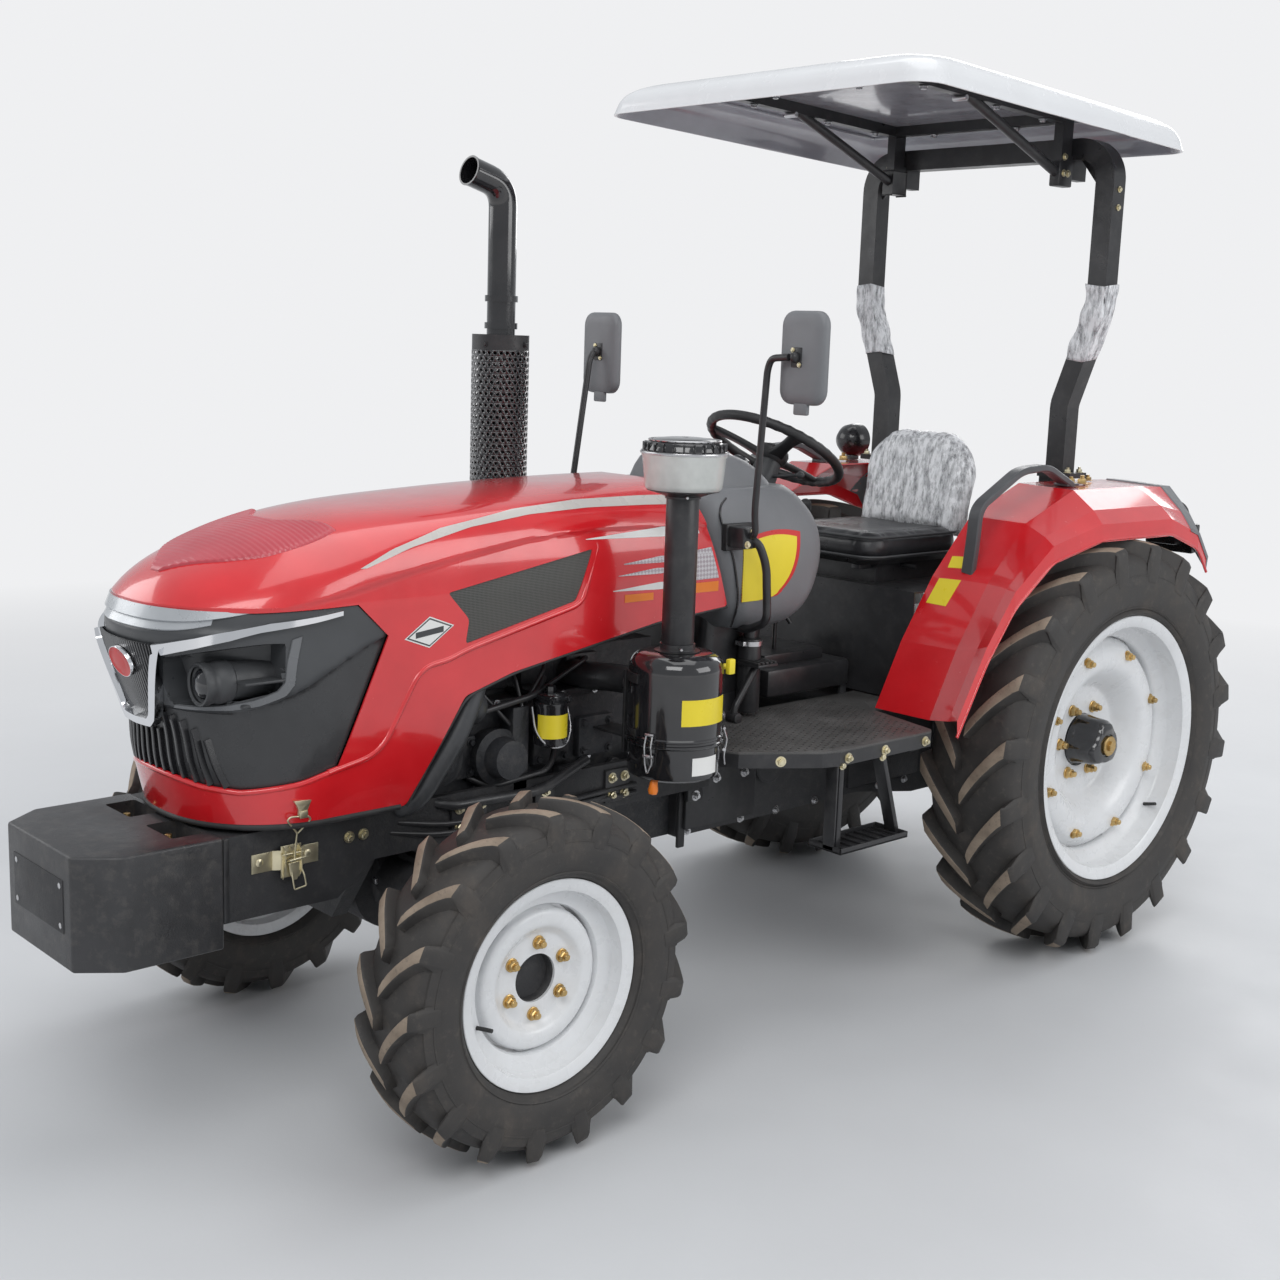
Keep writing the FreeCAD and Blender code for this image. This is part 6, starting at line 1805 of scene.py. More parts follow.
    # Pre-cleaner: bowl with vanes under a dark lid
    b = Build()
    b.lathe([(0, 0.030), (0, 0.084), (0.005, 0.089), (0.074, 0.096), (0.078, 0.099), (0.082, 0.099),
             (0.082, 0.093),
             (0.078, 0.091), (0.008, 0.085), (0.004, 0.030)], (x, y, 1.372), (0, 0, 1), 72, close=True)
    b.done("pre_cleaner_bowl", M["bowl"], angle=40)
    b = Build()
    for k in range(14):
        t = 2 * math.pi * k / 14
        turn = Matrix.Rotation(t + 0.5, 3, "Z")
        c = Vector((x + 0.066 * math.cos(t), y + 0.066 * math.sin(t), 1.414))
        b.box(c.x - 0.019, c.x + 0.019, c.y - 0.0012, c.y + 0.0012, 1.379, 1.449, turn=turn)
    b.rod((x, y, 1.374), (x, y, 1.450), 0.046, 32)
    b.done("pre_cleaner_vanes", M["white_label"], angle=40)
    b = Build()
    b.lathe([(0, 0), (0, 0.0985), (0.003, 0.100), (0.007, 0.100), (0.009, 0.094), (0.014, 0.0925),
             (0.022, 0.090),
             (0.030, 0.080), (0.034, 0.068), (0.037, 0.040), (0.0375, 0)], (x, y, 1.4535), (0, 0, 1), 72)
    for k in range(24):
        t = 2 * math.pi * k / 24
        turn = Matrix.Rotation(t, 3, "Z")
        c = Vector((x + 0.0905 * math.cos(t), y + 0.0905 * math.sin(t), 0))
        b.box(c.x - 0.006, c.x + 0.006, c.y - 0.0022, c.y + 0.0022, 1.459, 1.479, 0.001, turn=turn,
              about=(c.x, c.y, 1.469))
    b.done("pre_cleaner_lid", M["black_gloss"], angle=35)
    b = Build()
    b.lathe([(0, 0.0800), (0, 0.0835), (0.0022, 0.0842), (0.0040, 0.0822), (0.0035, 0.0790)], (x, y, 1.4825),
            (0, 0, 1), 72, close=True)
    b.lathe([(0, 0.0992), (0, 0.1012), (0.003, 0.1018), (0.005, 0.1010), (0.005, 0.0992)], (x, y, 1.4535),
            (0, 0, 1), 72, close=True)
    b.lathe([(0, 0), (0, 0.007), (0.0035, 0.007), (0.0035, 0)], (x, y, 1.4885), (0, 0, 1), 6)
    b.done("pre_cleaner_rings", M["steel"], angle=35)
    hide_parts("pre_cleaner")


def make_exhaust():
    x, y = -0.40, fy(0.645)
    b = Build()
    b.tube([(-0.152, y, 0.83), (x, y, 0.83), (x, y, 0.99)], 0.030, 28, 0.07)
    b.lathe([(0, 0), (0, 0.03), (0.02, 0.058), (0.70, 0.058), (0.725, 0.038), (0.73, 0)], (x, y, 0.972),
            (0, 0, 1), 40)
    b.tube([(x, y, 1.69), (x, y, 2.085), (x, y - 0.11, 2.115)], 0.0375, 32, 0.06, caps=False)
    b.lathe([(-0.001, 0.0345), (-0.001, 0.0390), (0.004, 0.0395), (0.004, 0.0345)], (x, y - 0.108, 2.1145),
            (0, -1, 0.27), 32, close=True)
    for z in (1.72, 1.79):
        b.lathe([(0, 0.0355), (0, 0.0435), (0.016, 0.0435), (0.016, 0.0355)], (x, y, z), (0, 0, 1), 36,
                close=True)
    b.lathe([(0, 0.028), (0, 0.05), (0.012, 0.05), (0.012, 0.028)], (-0.170, y, 0.83), (1, 0, 0), 24,
            close=True)
    b.done("exhaust_pipe", M["black_gloss"], angle=40)
    b = Build()
    perforated(b, (x, y), 0.0745, 1.000, 1.665, 30, 44, 0.30)
    guard = b.done("exhaust_guard", M["black_gloss"], angle=60, recalc=False)
    mod = guard.modifiers.new("sheet", "SOLIDIFY")
    mod.thickness = 0.0016
    mod.offset = -1
    b = Build()
    for z in (0.960, 1.663):
        b.lathe([(0, 0.071), (0, 0.0755), (0.042, 0.0755), (0.042, 0.071)], (x, y, z), (0, 0, 1), 64,
                close=True)
    for z in (0.985, 1.68):
        for k in range(4):
            t = math.radians(20 + 90 * k)
            b.rod((x + 0.03 * math.cos(t), y + 0.03 * math.sin(t), z),
                  (x + 0.073 * math.cos(t), y + 0.073 * math.sin(t), z),
                  0.006, 10)
            b.bolt((x + 0.0755 * math.cos(t), y + 0.0755 * math.sin(t), z), (math.cos(t), math.sin(t), 0),
                   0.0055, 0.004)
    b.done("exhaust_bands", M["black"], angle=35)
    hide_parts("exhaust")


def make_engine():
    """What shows through the arch: cylinder head, covers, pipes and filters on the plain block."""
    b = Build()
    for s in (-1, 1):
        for k in range(4):
            y = fy(0.10 + 0.14 * k)
            b.box(s * 0.148, s * 0.172, y - 0.055, y + 0.055, 0.70, 0.80, 0.006)
            b.box(s * 0.090, s * 0.112, y - 0.050, y + 0.050, 0.885, 0.945, 0.005)
            for z in (0.785, 0.715):
                for dy in (-0.04, 0.04):
                    b.bolt((s * 0.172, y + dy, z), (s, 0, 0), 0.007, 0.007)
            b.rod((s * 0.148, y + 0.07, 0.66), (s * 0.166, y + 0.07, 0.66), 0.022, 24)
        b.box(s * 0.150, s * 0.160, fy(0.0), fy(0.62), 0.855, 0.872, 0.003)
        b.box(s * 0.120, s * 0.132, fy(0.16), fy(0.60), 0.46, 0.50, 0.004)
    b.box(-0.085, 0.085, fy(0.06), fy(0.56), 0.955, 0.985, 0.012)
    b.lathe([(0, 0), (0, 0.06), (0.05, 0.066), (0.06, 0.05), (0.10, 0.045), (0.11, 0)],
            (0.150, fy(0.20), 0.745),
            (1, 0, 0.05), 32)
    b.lathe([(0, 0), (0, 0.052), (0.01, 0.06), (0.06, 0.06), (0.066, 0.045), (0.08, 0.03), (0.085, 0)],
            (0.150, fy(0.03), 0.765), (1, 0, 0), 32)
    b.lathe([(0, 0), (0, 0.055), (0.012, 0.06), (0.05, 0.06), (0.06, 0.05), (0.07, 0)],
            (-0.150, fy(0.10), 0.78),
            (-1, 0, 0), 32)
    b.box(0.150, 0.205, fy(0.235), fy(0.285), 0.62, 0.86, 0.006)
    b.box(0.150, 0.178, fy(0.40), fy(0.50), 0.58, 0.69, 0.008)
    b.box(-0.205, -0.150, fy(0.30), fy(0.48), 0.74, 0.80, 0.008)
    b.done("engine_covers", M["engine"], angle=35)
    b = Build()
    for pts, r in (([(0.175, fy(0.02), 0.83), (0.215, fy(0.10), 0.86), (0.21, fy(0.30), 0.885),
                     (0.16, fy(0.36), 0.91)], 0.008),
                   ([(0.16, fy(0.14), 0.70), (0.20, fy(0.18), 0.68), (0.215, fy(0.34), 0.70),
                     (0.17, fy(0.40), 0.78)], 0.007),
                   ([(0.10, fy(0.10), 0.93), (0.16, fy(0.14), 0.93), (0.20, fy(0.22), 0.83),
                     (0.18, fy(0.26), 0.80)], 0.005),
                   ([(0.10, fy(0.24), 0.93), (0.17, fy(0.26), 0.94), (0.205, fy(0.26), 0.86)], 0.005),
                   ([(0.10, fy(0.38), 0.93), (0.17, fy(0.36), 0.945), (0.205, fy(0.27), 0.87)], 0.005),
                   ([(0.10, fy(0.52), 0.93), (0.18, fy(0.48), 0.95), (0.21, fy(0.28), 0.88)], 0.005),
                   ([(0.16, fy(-0.02), 0.68), (0.22, fy(0.05), 0.66), (0.235, fy(0.30), 0.66),
                     (0.22, fy(0.45), 0.71)], 0.012),
                   ([(0.16, fy(0.30), 0.62), (0.205, fy(0.36), 0.60), (0.21, fy(0.52), 0.60),
                     (0.16, fy(0.60), 0.64)], 0.010),
                   ([(-0.16, fy(0.02), 0.86), (-0.22, fy(0.10), 0.88), (-0.22, fy(0.40), 0.88),
                     (-0.16, fy(0.46), 0.90)], 0.010),
                   ([(-0.16, fy(0.10), 0.66), (-0.21, fy(0.20), 0.64), (-0.21, fy(0.44), 0.66),
                     (-0.16, fy(0.5), 0.72)], 0.008)):
        b.tube(pts, r, 12, 0.03)
    for y in (0.05, 0.21, 0.37, 0.53):
        b.tube([(-0.10, fy(y), 0.92), (-0.17, fy(y + 0.02), 0.915), (-0.185, fy(y + 0.06), 0.86),
                (-0.185, fy(0.645) - 0.02, 0.83)],
               0.021, 16, 0.04)
    b.done("engine_pipes", M["black"], angle=40)
    b = Build()
    b.tube([(0.145, fy(0.12), 0.84), (0.230, fy(0.12), 0.88), (0.230, fy(0.02), 0.96),
            (0.15, fy(-0.08), 1.0)], 0.031, 28, 0.05)
    b.tube([(0.12, fy(-0.085), 0.66), (0.23, fy(-0.06), 0.68), (0.255, fy(0.06), 0.86),
            (0.235, fy(0.13), 1.02)], 0.026, 24, 0.08)
    b.done("radiator_hoses", M["hose"], angle=40)
    # Filter with its bracket and wire loop
    at = (0.225, fy(0.33))
    b = Build()
    b.lathe([(0, 0), (0, 0.028), (0.006, 0.0385), (0.012, 0.040), (0.095, 0.040), (0.100, 0.042),
             (0.106, 0.042),
             (0.110, 0.034), (0.114, 0)], (at[0], at[1], 0.762), (0, 0, 1), 40)
    b.box(0.090, 0.262, fy(0.296), fy(0.364), 0.868, 0.888, 0.005)
    b.lathe([(0, 0), (0, 0.012), (0.018, 0.012), (0.022, 0.006), (0.022, 0)], (at[0], at[1], 0.886),
            (0, 0, 1), 6)
    for dy in (-0.024, 0.024):
        b.bolt((0.262, at[1] + dy, 0.878), (1, 0, 0), 0.006, 0.006)
    b.done("fuel_filter", M["black_gloss"], angle=35)
    b = Build()
    arc_band(b, at, 0.0395, 0.0407, -85, 40, 0.786, 0.842)
    b.done("filter_label", M["yellow"], angle=50)
    b = Build()
    b.tube([(at[0] - 0.005, at[1] - 0.052, 0.86), (at[0] + 0.012, at[1] - 0.054, 0.80),
            (at[0] + 0.026, at[1] - 0.02, 0.762),
            (at[0] + 0.026, at[1] + 0.03, 0.762), (at[0] + 0.010, at[1] + 0.056, 0.80),
            (at[0] - 0.01, at[1] + 0.054, 0.86)],
           0.0028, 8, 0.03)
    for y in (0.02, 0.12, 0.22, 0.42, 0.52):
        b.bolt((0.162, fy(y), 0.864), (1, 0, 0), 0.006, 0.005)
        b.bolt((-0.162, fy(y), 0.864), (-1, 0, 0), 0.006, 0.005)
    for y, z in ((0.06, 0.62), (0.16, 0.645), (0.30, 0.60), (0.44, 0.565), (0.50, 0.70)):
        b.bolt((0.160, fy(y), z), (1, 0, 0), 0.008, 0.007)
    b.done("filter_wire", M["steel"], angle=40)
    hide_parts("engine_fittings")
    # Battery terminals and radiator core
    b = Build()
    for x in (-0.09, 0.09):
        b.lathe([(0, 0), (0, 0.010), (0.016, 0.008), (0.016, 0)], (x, fy(-0.345), 0.900), (0, 0, 1), 20)
    b.done("battery_posts", M["steel"])
    b = Build()
    for k in range(46):
        z = 0.70 + 0.0088 * k
        b.box(-0.195, 0.195, fy(-0.1775), fy(-0.1745), z, z + 0.0022)
    for s in (-1, 1):
        b.box(s * 0.197, s * 0.217, fy(-0.180), fy(-0.105), 0.682, 1.120, 0.003)
    b.box(-0.215, 0.215, fy(-0.182), fy(-0.103), 1.085, 1.122, 0.006)
    b.rod((0.0, fy(-0.142), 1.12), (0.0, fy(-0.142), 1.138), 0.022, 24)
    b.done("radiator_core", M["mask_black"], angle=30)


make_air_cleaner()
make_exhaust()
make_engine()

DASH_RINGS = [(0.985, (0.236, 0.905, 1.120, 0.05)), (1.010, (0.264, 0.884, 1.150, 0.06)),
              (1.040, (0.277, 0.868, 1.176, 0.06)), (1.100, (0.279, 0.845, 1.215, 0.065)),
              (1.190, (0.272, 0.812, 1.238, 0.07)), (1.260, (0.256, 0.791, 1.226, 0.075)),
              (1.310, (0.238, 0.776, 1.190, 0.08)), (1.332, (0.226, 0.771, 1.166, 0.08)),
              (1.342, (0.214, 0.782, 1.150, 0.075))]
COLUMN = Vector((0, math.sin(math.radians(30)), math.cos(math.radians(30))))
WHEEL_AT = Vector((0, ry(-0.770), 1.42))
PEDALS = (0.235, -0.220, -0.310)


def dash_ring(z, grow=0.0):
    half, y0, y1, r = catmull(DASH_RINGS, z)
    return ring(-half - grow, half + grow, fy(y0) - grow, fy(y1) + grow, r, z, 8)


def dash_x(z):
    return catmull(DASH_RINGS, z)[0]


def make_dash():
    b = Build()
    levels = [0.985, 0.988, 0.995] + [1.005 + 0.0115 * k for k in range(29)] + [1.336, 1.340, 1.342]
    loft(b, [dash_ring(z, -0.006 if z < 0.987 else (-0.002 if z < 0.99 else 0)) for z in levels])
    b.done("dash_shell", M["plastic"], angle=38)
    b = Build()
    rows = [(1.330, 0.172, 0.868, 1.150, 0.07), (1.352, 0.166, 0.874, 1.132, 0.065),
            (1.378, 0.156, 0.882, 1.104, 0.06),
            (1.400, 0.144, 0.892, 1.070, 0.055), (1.412, 0.132, 0.902, 1.044, 0.05),
            (1.419, 0.116, 0.916, 1.020, 0.045),
            (1.421, 0.096, 0.932, 1.000, 0.034)]
    loft(b, [ring(-h, h, fy(y0), fy(y1), r, z, 8) for z, h, y0, y1, r in rows])
    b.box(-0.205, -0.150, fy(0.99), fy(1.12), 1.338, 1.349, 0.004)
    b.done("dash_cowl", M["plastic"], angle=45)
    b = Build()
    for s in (-1, 1):
        seam = [(s * (dash_x(z) + 0.0003), fy(y), z) for y, z in ((0.895, 0.996), (0.888, 1.06),
                                                                  (0.880, 1.12), (0.868, 1.18),
                                                                  (0.850, 1.235), (0.838, 1.275),
                                                                  (0.848, 1.305), (0.875, 1.322))]
        b.tube(seam, 0.0028, 8, 0.03)
    b.done("dash_seams", M["mask_black"], angle=60)
    b = Build()
    low = [(1.010, 0.175, 0.885, 1.115, 0.03), (0.960, 0.172, 0.885, 1.105, 0.03),
           (0.800, 0.166, 0.885, 1.100, 0.03),
           (0.712, 0.165, 0.885, 1.098, 0.03)]
    loft(b, [ring(-h, h, fy(y0), fy(y1), r, z, 5) for z, h, y0, y1, r in low])
    for s in (-1, 1):
        b.box(s * 0.158, s * 0.170, fy(0.84), fy(1.10), 0.45, 0.80, 0.003)
        b.prism([(fy(0.792), 1.316), (fy(0.812), 1.316), (fy(0.852), 1.286), (fy(0.852), 1.256)], s * 0.102,
                s * 0.110, "yz",
                0.0015)
        b.box(s * 0.170, s * 0.186, fy(0.83), fy(0.885), 0.53, 0.62, 0.004)
    b.rod((0.200, fy(1.02), 0.752), (0.200, fy(1.02), 0.948), 0.031, 28, 0.005)
    b.rod((0.200, fy(1.02), 0.944), (0.200, fy(1.02), 0.972), 0.018, 20)
    b.box(-0.15, 0.17, ry(-0.935), ry(-0.60), 0.765, 0.842, 0.012)
    b.box(-0.10, 0.12, ry(-0.90), ry(-0.66), 0.840, 0.872, 0.006)
    b.tube([(0.06, ry(-0.80), 0.868), (0.06, ry(-0.80), 0.955), (0.075, ry(-0.775), 0.965),
            (0.085, ry(-0.765), 0.945)], 0.006, 12,
           0.014)
    b.done("dash_base", M["black"], angle=38)
    b = Build()
    b.rod((-0.112, fy(0.8), 1.3195), (0.112, fy(0.8), 1.3195), 0.0055, 16)
    for s in (-1, 1):
        for y, z in ((1.026, 0.776), (0.955, 0.742), (1.0, 0.742), (0.947, 0.576), (1.053, 0.575),
                     (0.90, 0.66), (1.06, 0.66)):
            b.bolt((s * 0.170, fy(y), z), (s, 0, 0), 0.009, 0.008, thread=0.004)
        b.bolt((s * 0.186, fy(0.857), 0.545), (s, 0, 0), 0.009, 0.008, thread=0.004)
    arc_band(b, (0.200, fy(1.02)), 0.0305, 0.0335, 0, 360, 0.93, 0.942, 28)
    b.box(0.185, 0.215, fy(0.98), fy(1.00), 0.930, 0.942, 0.001)
    b.done("dash_bolts", M["steel"], angle=35)
    # Blank yellow plate with a red edge on the left side
    left = [(1.063, 0.898), (1.130, 0.900), (1.205, 0.906)]
    right = [(1.063, 0.958), (1.068, 1.002), (1.085, 1.035), (1.110, 1.064), (1.141, 1.085), (1.180, 1.099),
             (1.226, 1.107)]

    def plate(name, mat, lift, grow, top):
        q = Build()
        n, m = 22, 14
        grid = []
        for k in range(n + 1):
            row = []
            for i in range(m + 1):
                t = i / m
                z0 = 1.063 + (0.142 + 0.021 * math.sin(math.pi * min(1, t * 0.8)) + top) * k / n
                y0 = catmull(left, z0)
                y1 = catmull(right, z0) + grow
                row.append(Vector((dash_x(z0) + lift, fy(y0 + (y1 - y0) * t), z0)))
            grid.append(row)
        rows = [[q.bm.verts.new(p) for p in row] for row in grid]
        back = [[q.bm.verts.new(p - Vector((lift + 0.001, 0, 0))) for p in row] for row in grid]
        made = []
        for k in range(n):
            for i in range(m):
                made.append(q.bm.faces.new([rows[k][i], rows[k][i + 1], rows[k + 1][i + 1], rows[k + 1][i]]))
                made.append(q.bm.faces.new([back[k][i], back[k + 1][i], back[k + 1][i + 1], back[k][i + 1]]))
        rim = [(0, i) for i in range(m)] + [(k, m) for k in range(n)] + [(n, i) for i in range(m, 0, -1)] + \
              [(k, 0) for k in range(n, 0, -1)]
        for (a, c), (d, e) in zip(rim, rim[1:] + rim[:1]):
            made.append(q.bm.faces.new([rows[a][c], back[a][c], back[d][e], rows[d][e]]))
        q.mark(made)
        q.done(name, mat, angle=50)
    plate("dash_plate", M["yellow"], 0.0022, 0.0, 0.0)
    plate("dash_plate_edge", M["red_label"], 0.0012, 0.014, 0.012)
    # Column, gauges and stalk
    b = Build()
    foot = WHEEL_AT - COLUMN * 0.190
    b.lathe([(-0.03, 0), (-0.03, 0.062), (0.03, 0.056), (0.06, 0.044), (0.135, 0.036), (0.150, 0.034),
             (0.150, 0)], foot,
            COLUMN, 32)
    side = Vector((1, 0, 0))
    for s in (-1, 1):
        b.rod(foot + COLUMN * 0.105 + side * 0.02 * s, foot + COLUMN * 0.120 + side * 0.125 * s, 0.005, 12)
        b.ball(foot + COLUMN * 0.120 + side * 0.130 * s, 0.010, 14, 1.4, (1, 0, 0.1))
    b.done("steering_column", M["plastic_dark"], angle=35)
    b = Build()
    tilt = Vector((0, 0.62, 0.78)).normalized()
    for x, r in ((0.0, 0.042), (-0.085, 0.026), (0.085, 0.026)):
        at = Vector((x, fy(1.078), 1.398 - (0.002 if x else 0)))
        b.lathe([(-0.02, 0), (-0.02, r), (0.004, r), (0.006, r - 0.002), (0.006, r - 0.006),
                 (0.003, r - 0.007), (0.003, 0)], at,
                tilt, 32)
    b.done("dash_gauges", M["lens_dark"], angle=35)
    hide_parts("dash_console")


def make_wheel():
    b = Build()
    u = Vector((1, 0, 0))
    w = COLUMN.cross(u)
    rows = []
    n, m = 144, 16
    for i in range(n):
        t = 2 * math.pi * i / n
        out = u * math.cos(t) + w * math.sin(t)
        r = 0.0135 + 0.0009 * math.cos(t * 36) * (0.5 + 0.5 * math.cos(t * 3 + math.pi / 2))
        rows.append([b.bm.verts.new(WHEEL_AT + out * (0.1895 + r * math.cos(a)) + COLUMN * (r * math.sin(a)))
                     for a in (2 * math.pi * k / m for k in range(m))])
    b.mark([b.bm.faces.new([p[k], p[(k + 1) % m], q[(k + 1) % m], q[k]])
            for p, q in zip(rows, rows[1:] + rows[:1]) for k in range(m)])
    for turn in (90, 210, 330):
        t = math.radians(turn)
        out = u * math.cos(t) + w * math.sin(t)
        across = COLUMN.cross(out)
        rings = []
        for k in range(9):
            s = k / 8
            c = WHEEL_AT + out * (0.03 + 0.152 * s) - COLUMN * (0.026 * (1 - s) ** 1.6)
            hw = 0.024 - 0.010 * math.sin(math.pi * min(1, s * 0.9)) + 0.004 * s
            hh = 0.0085 - 0.002 * s
            rings.append([c + across * (hw * x) + COLUMN * (hh * y) for x, y in
                          ((1, 0.5), (0.8, 1), (-0.8, 1), (-1, 0.5), (-1, -0.5), (-0.8, -1), (0.8, -1),
                           (1, -0.5))])
        loft(b, rings)
    b.lathe([(-0.040, 0), (-0.040, 0.036), (-0.030, 0.044), (-0.012, 0.046), (-0.002, 0.042), (0.002, 0.032),
             (0.0045, 0.018),
             (0.005, 0)], WHEEL_AT, COLUMN, 40)
    b.rod(WHEEL_AT - COLUMN * 0.125, WHEEL_AT - COLUMN * 0.035, 0.0108, 20)
    b.done("steering_wheel_grip", M["grip"], "steering_wheel", angle=50)
    b = Build()
    b.lathe([(0, 0), (0, 0.026), (0.003, 0.0255), (0.0045, 0.020), (0.005, 0)], WHEEL_AT + COLUMN * 0.003,
            COLUMN, 36)
    b.done("steering_wheel_cap", M["plastic_dark"], "steering_wheel", angle=40)
    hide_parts("steering_wheel")


def make_mirrors():
    for side, s, x0, x1, y0, z0, z1, arm, joint in (
            ("left", 1, 0.402, 0.542, -1.206, 1.565, 1.785,
             [(0.31, -1.190, 1.235), (0.350, -1.200, 1.240), (0.356, -1.214, 1.30), (0.385, -1.222, 1.645),
              (0.400, -1.226, 1.672),
              (0.452, -1.222, 1.676)], (0.462, -1.212, 1.676)),
            ("right", -1, -0.445, -0.305, -1.102, 1.555, 1.775,
             [(-0.31, -1.190, 1.235), (-0.350, -1.215, 1.240), (-0.354, -1.200, 1.30),
              (-0.366, -1.138, 1.645),
              (-0.370, -1.122, 1.664)], (-0.372, -1.110, 1.668))):
        b = Build()
        mid_x = (x0 + x1) / 2
        rows = []
        for y, inset, r in ((0, 0.030, 0.020), (0.0015, 0.018, 0.026), (0.005, 0.007, 0.031),
                            (0.010, 0.0015, 0.034),
                            (0.016, 0, 0.035), (0.025, 0, 0.035), (0.025, 0.004, 0.032),
                            (0.021, 0.006, 0.030)):
            flat = ring(x0 + inset, x1 - inset, z0 + inset, z1 - inset, r, 0, 6)
            rows.append([Vector((p.x, ry(y0 + y), p.y)) for p in flat])
        loft(b, rows)
        b.box(mid_x - 0.022, mid_x + 0.022, ry(y0 + 0.008), ry(y0 + 0.020), z0 - 0.024, z0 + 0.010, 0.004)
        b.done("mirror_head_" + side, M["plastic"], angle=40)
        b = Build()
        glass = [[Vector((p.x, ry(y), p.y)) for p in ring(x0 + 0.007, x1 - 0.007, z0 + 0.007, z1 - 0.007,
                                                          0.029, 0, 6)]
                 for y in (y0 + 0.020, y0 + 0.0225)]
        loft(b, glass)
        b.done("mirror_glass_" + side, M["mirror"], angle=40)
        b = Build()
        b.tube([(x, ry(y), z) for x, y, z in arm], 0.0085, 16, 0.03)
        at = Vector((joint[0], ry(joint[1]), joint[2]))
        b.ball(at, 0.0135, 20)
        b.rod(at, (at.x, ry(y0 + 0.004), at.z), 0.009, 16)
        b.box(at.x - 0.017, at.x + 0.017, ry(y0 - 0.002), ry(y0 + 0.004), at.z - 0.024, at.z + 0.024, 0.003)
        b.box(s * 0.268, s * 0.328, fy(0.846), fy(0.896), 1.205, 1.258, 0.005)
        b.box(s * 0.255, s * 0.275, fy(0.84), fy(0.94), 1.195, 1.262, 0.003)
        b.tube([(s * 0.300, fy(0.870), 1.232), (s * 0.335, fy(0.892), 1.222), (s * 0.347, fy(0.912), 1.165),
                (s * 0.347, fy(0.924), 1.02), (s * 0.262, fy(0.94), 0.985), (s * 0.20, fy(0.96), 0.985)],
               0.0105, 18, 0.03)
        b.done("mirror_arm_" + side, M["black"], angle=40)
        b = Build()
        for dy, z in ((0.006, 1.246), (-0.012, 1.216)):
            b.bolt((s * 0.328, fy(0.871) + dy, z), (s, 0, 0), 0.006, 0.006)
        for dx, dz in ((-0.011, 0.017), (0.011, -0.017)):
            b.bolt((at.x + dx, ry(y0 - 0.002), at.z + dz), (0, -1, 0), 0.0038, 0.003)
        b.done("mirror_bolts_" + side, M["zinc"], angle=40)
    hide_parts("mirrors")
    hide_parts("mirrors")


def make_controls():
    stems, knobs = Build(), Build()
    for x, y, top in ((-0.300, -0.420, 1.280), (-0.262, -0.300, 1.220)):
        back = 0.22 * (top - 1.05)
        a, z = Vector((x, ry(y), 1.045)), Vector((x, ry(y) - back, top))
        stems.rod(a, z, 0.0062, 14)
        up = (z - a).normalized()
        knobs.lathe([(-0.034, 0.007), (-0.030, 0.0125), (-0.010, 0.0165), (0.006, 0.0185), (0.016, 0.0155),
                     (0.021, 0.008), (0.0215, 0)], z, up, 24)
        knobs.lathe([(0, 0), (0, 0.030), (0.006, 0.028), (0.014, 0.016), (0.030, 0.011), (0.032, 0)],
                    (x, ry(y), 1.049), up, 24)
    arms = Build()
    for x in PEDALS:
        arms.box(x - 0.038, x + 0.038, ry(-1.085), ry(-1.010), 0.880, 0.889, 0.003)
        arms.tube([(x, ry(-1.048), 0.884), (x, ry(-1.085), 0.835), (x, ry(-1.130), 0.775),
                   (x, ry(-1.130), 0.738)], 0.0095, 14, 0.03)
        for k in range(5):
            y = ry(-1.079 + 0.0152 * k)
            knobs.box(x - 0.036, x + 0.036, y - 0.0048, y + 0.0048, 0.8885, 0.8945, 0.0015)
    stems.done("lever_stems", M["zinc"], angle=40)
    knobs.done("lever_knobs", M["rubber"], angle=40)
    arms.done("pedals", M["black"], angle=40)
    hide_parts("controls")
    b = Build()
    for x in PEDALS:
        b.rod((x - 0.018, ry(-1.130), 0.752), (x + 0.018, ry(-1.130), 0.752), 0.014, 18)
    b.done("pedal_pivots", M["casting"], angle=40)


make_dash()
make_wheel()
make_mirrors()
make_controls()

# Seat, fenders, roll bar, canopy and platform

def film_mat():
    """Crinkled clear wrap: white where it folds, nearly clear between."""
    mat, tree, bsdf = material("crinkled_film")
    folds = noise_of(tree, 60.0, 7.0, 0.72, stretch=(1.0, 1.0, 0.30))
    wide = noise_of(tree, 13.0, 4.0, 0.6, stretch=(1.0, 1.0, 0.5))
    link(tree, ramp_of(tree, folds, [(0.35, (0.70, 0.71, 0.74)), (0.58, (0.88, 0.89, 0.91))]),
         bsdf.inputs["Base Color"])
    part = range_of(tree, folds, 0.26, 0.95, 0.38, 0.56)
    link(tree, part, bsdf.inputs["Alpha"])
    link(tree, range_of(tree, wide, 0.06, 0.30, 0.35, 0.65), bsdf.inputs["Roughness"])
    under = bump_of(tree, wide, 0.006, 0.8)
    link(tree, bump_of(tree, folds, 0.004, 1.0, under), bsdf.inputs["Normal"])
    bsdf.inputs["Specular IOR Level"].default_value = 0.8
    return mat


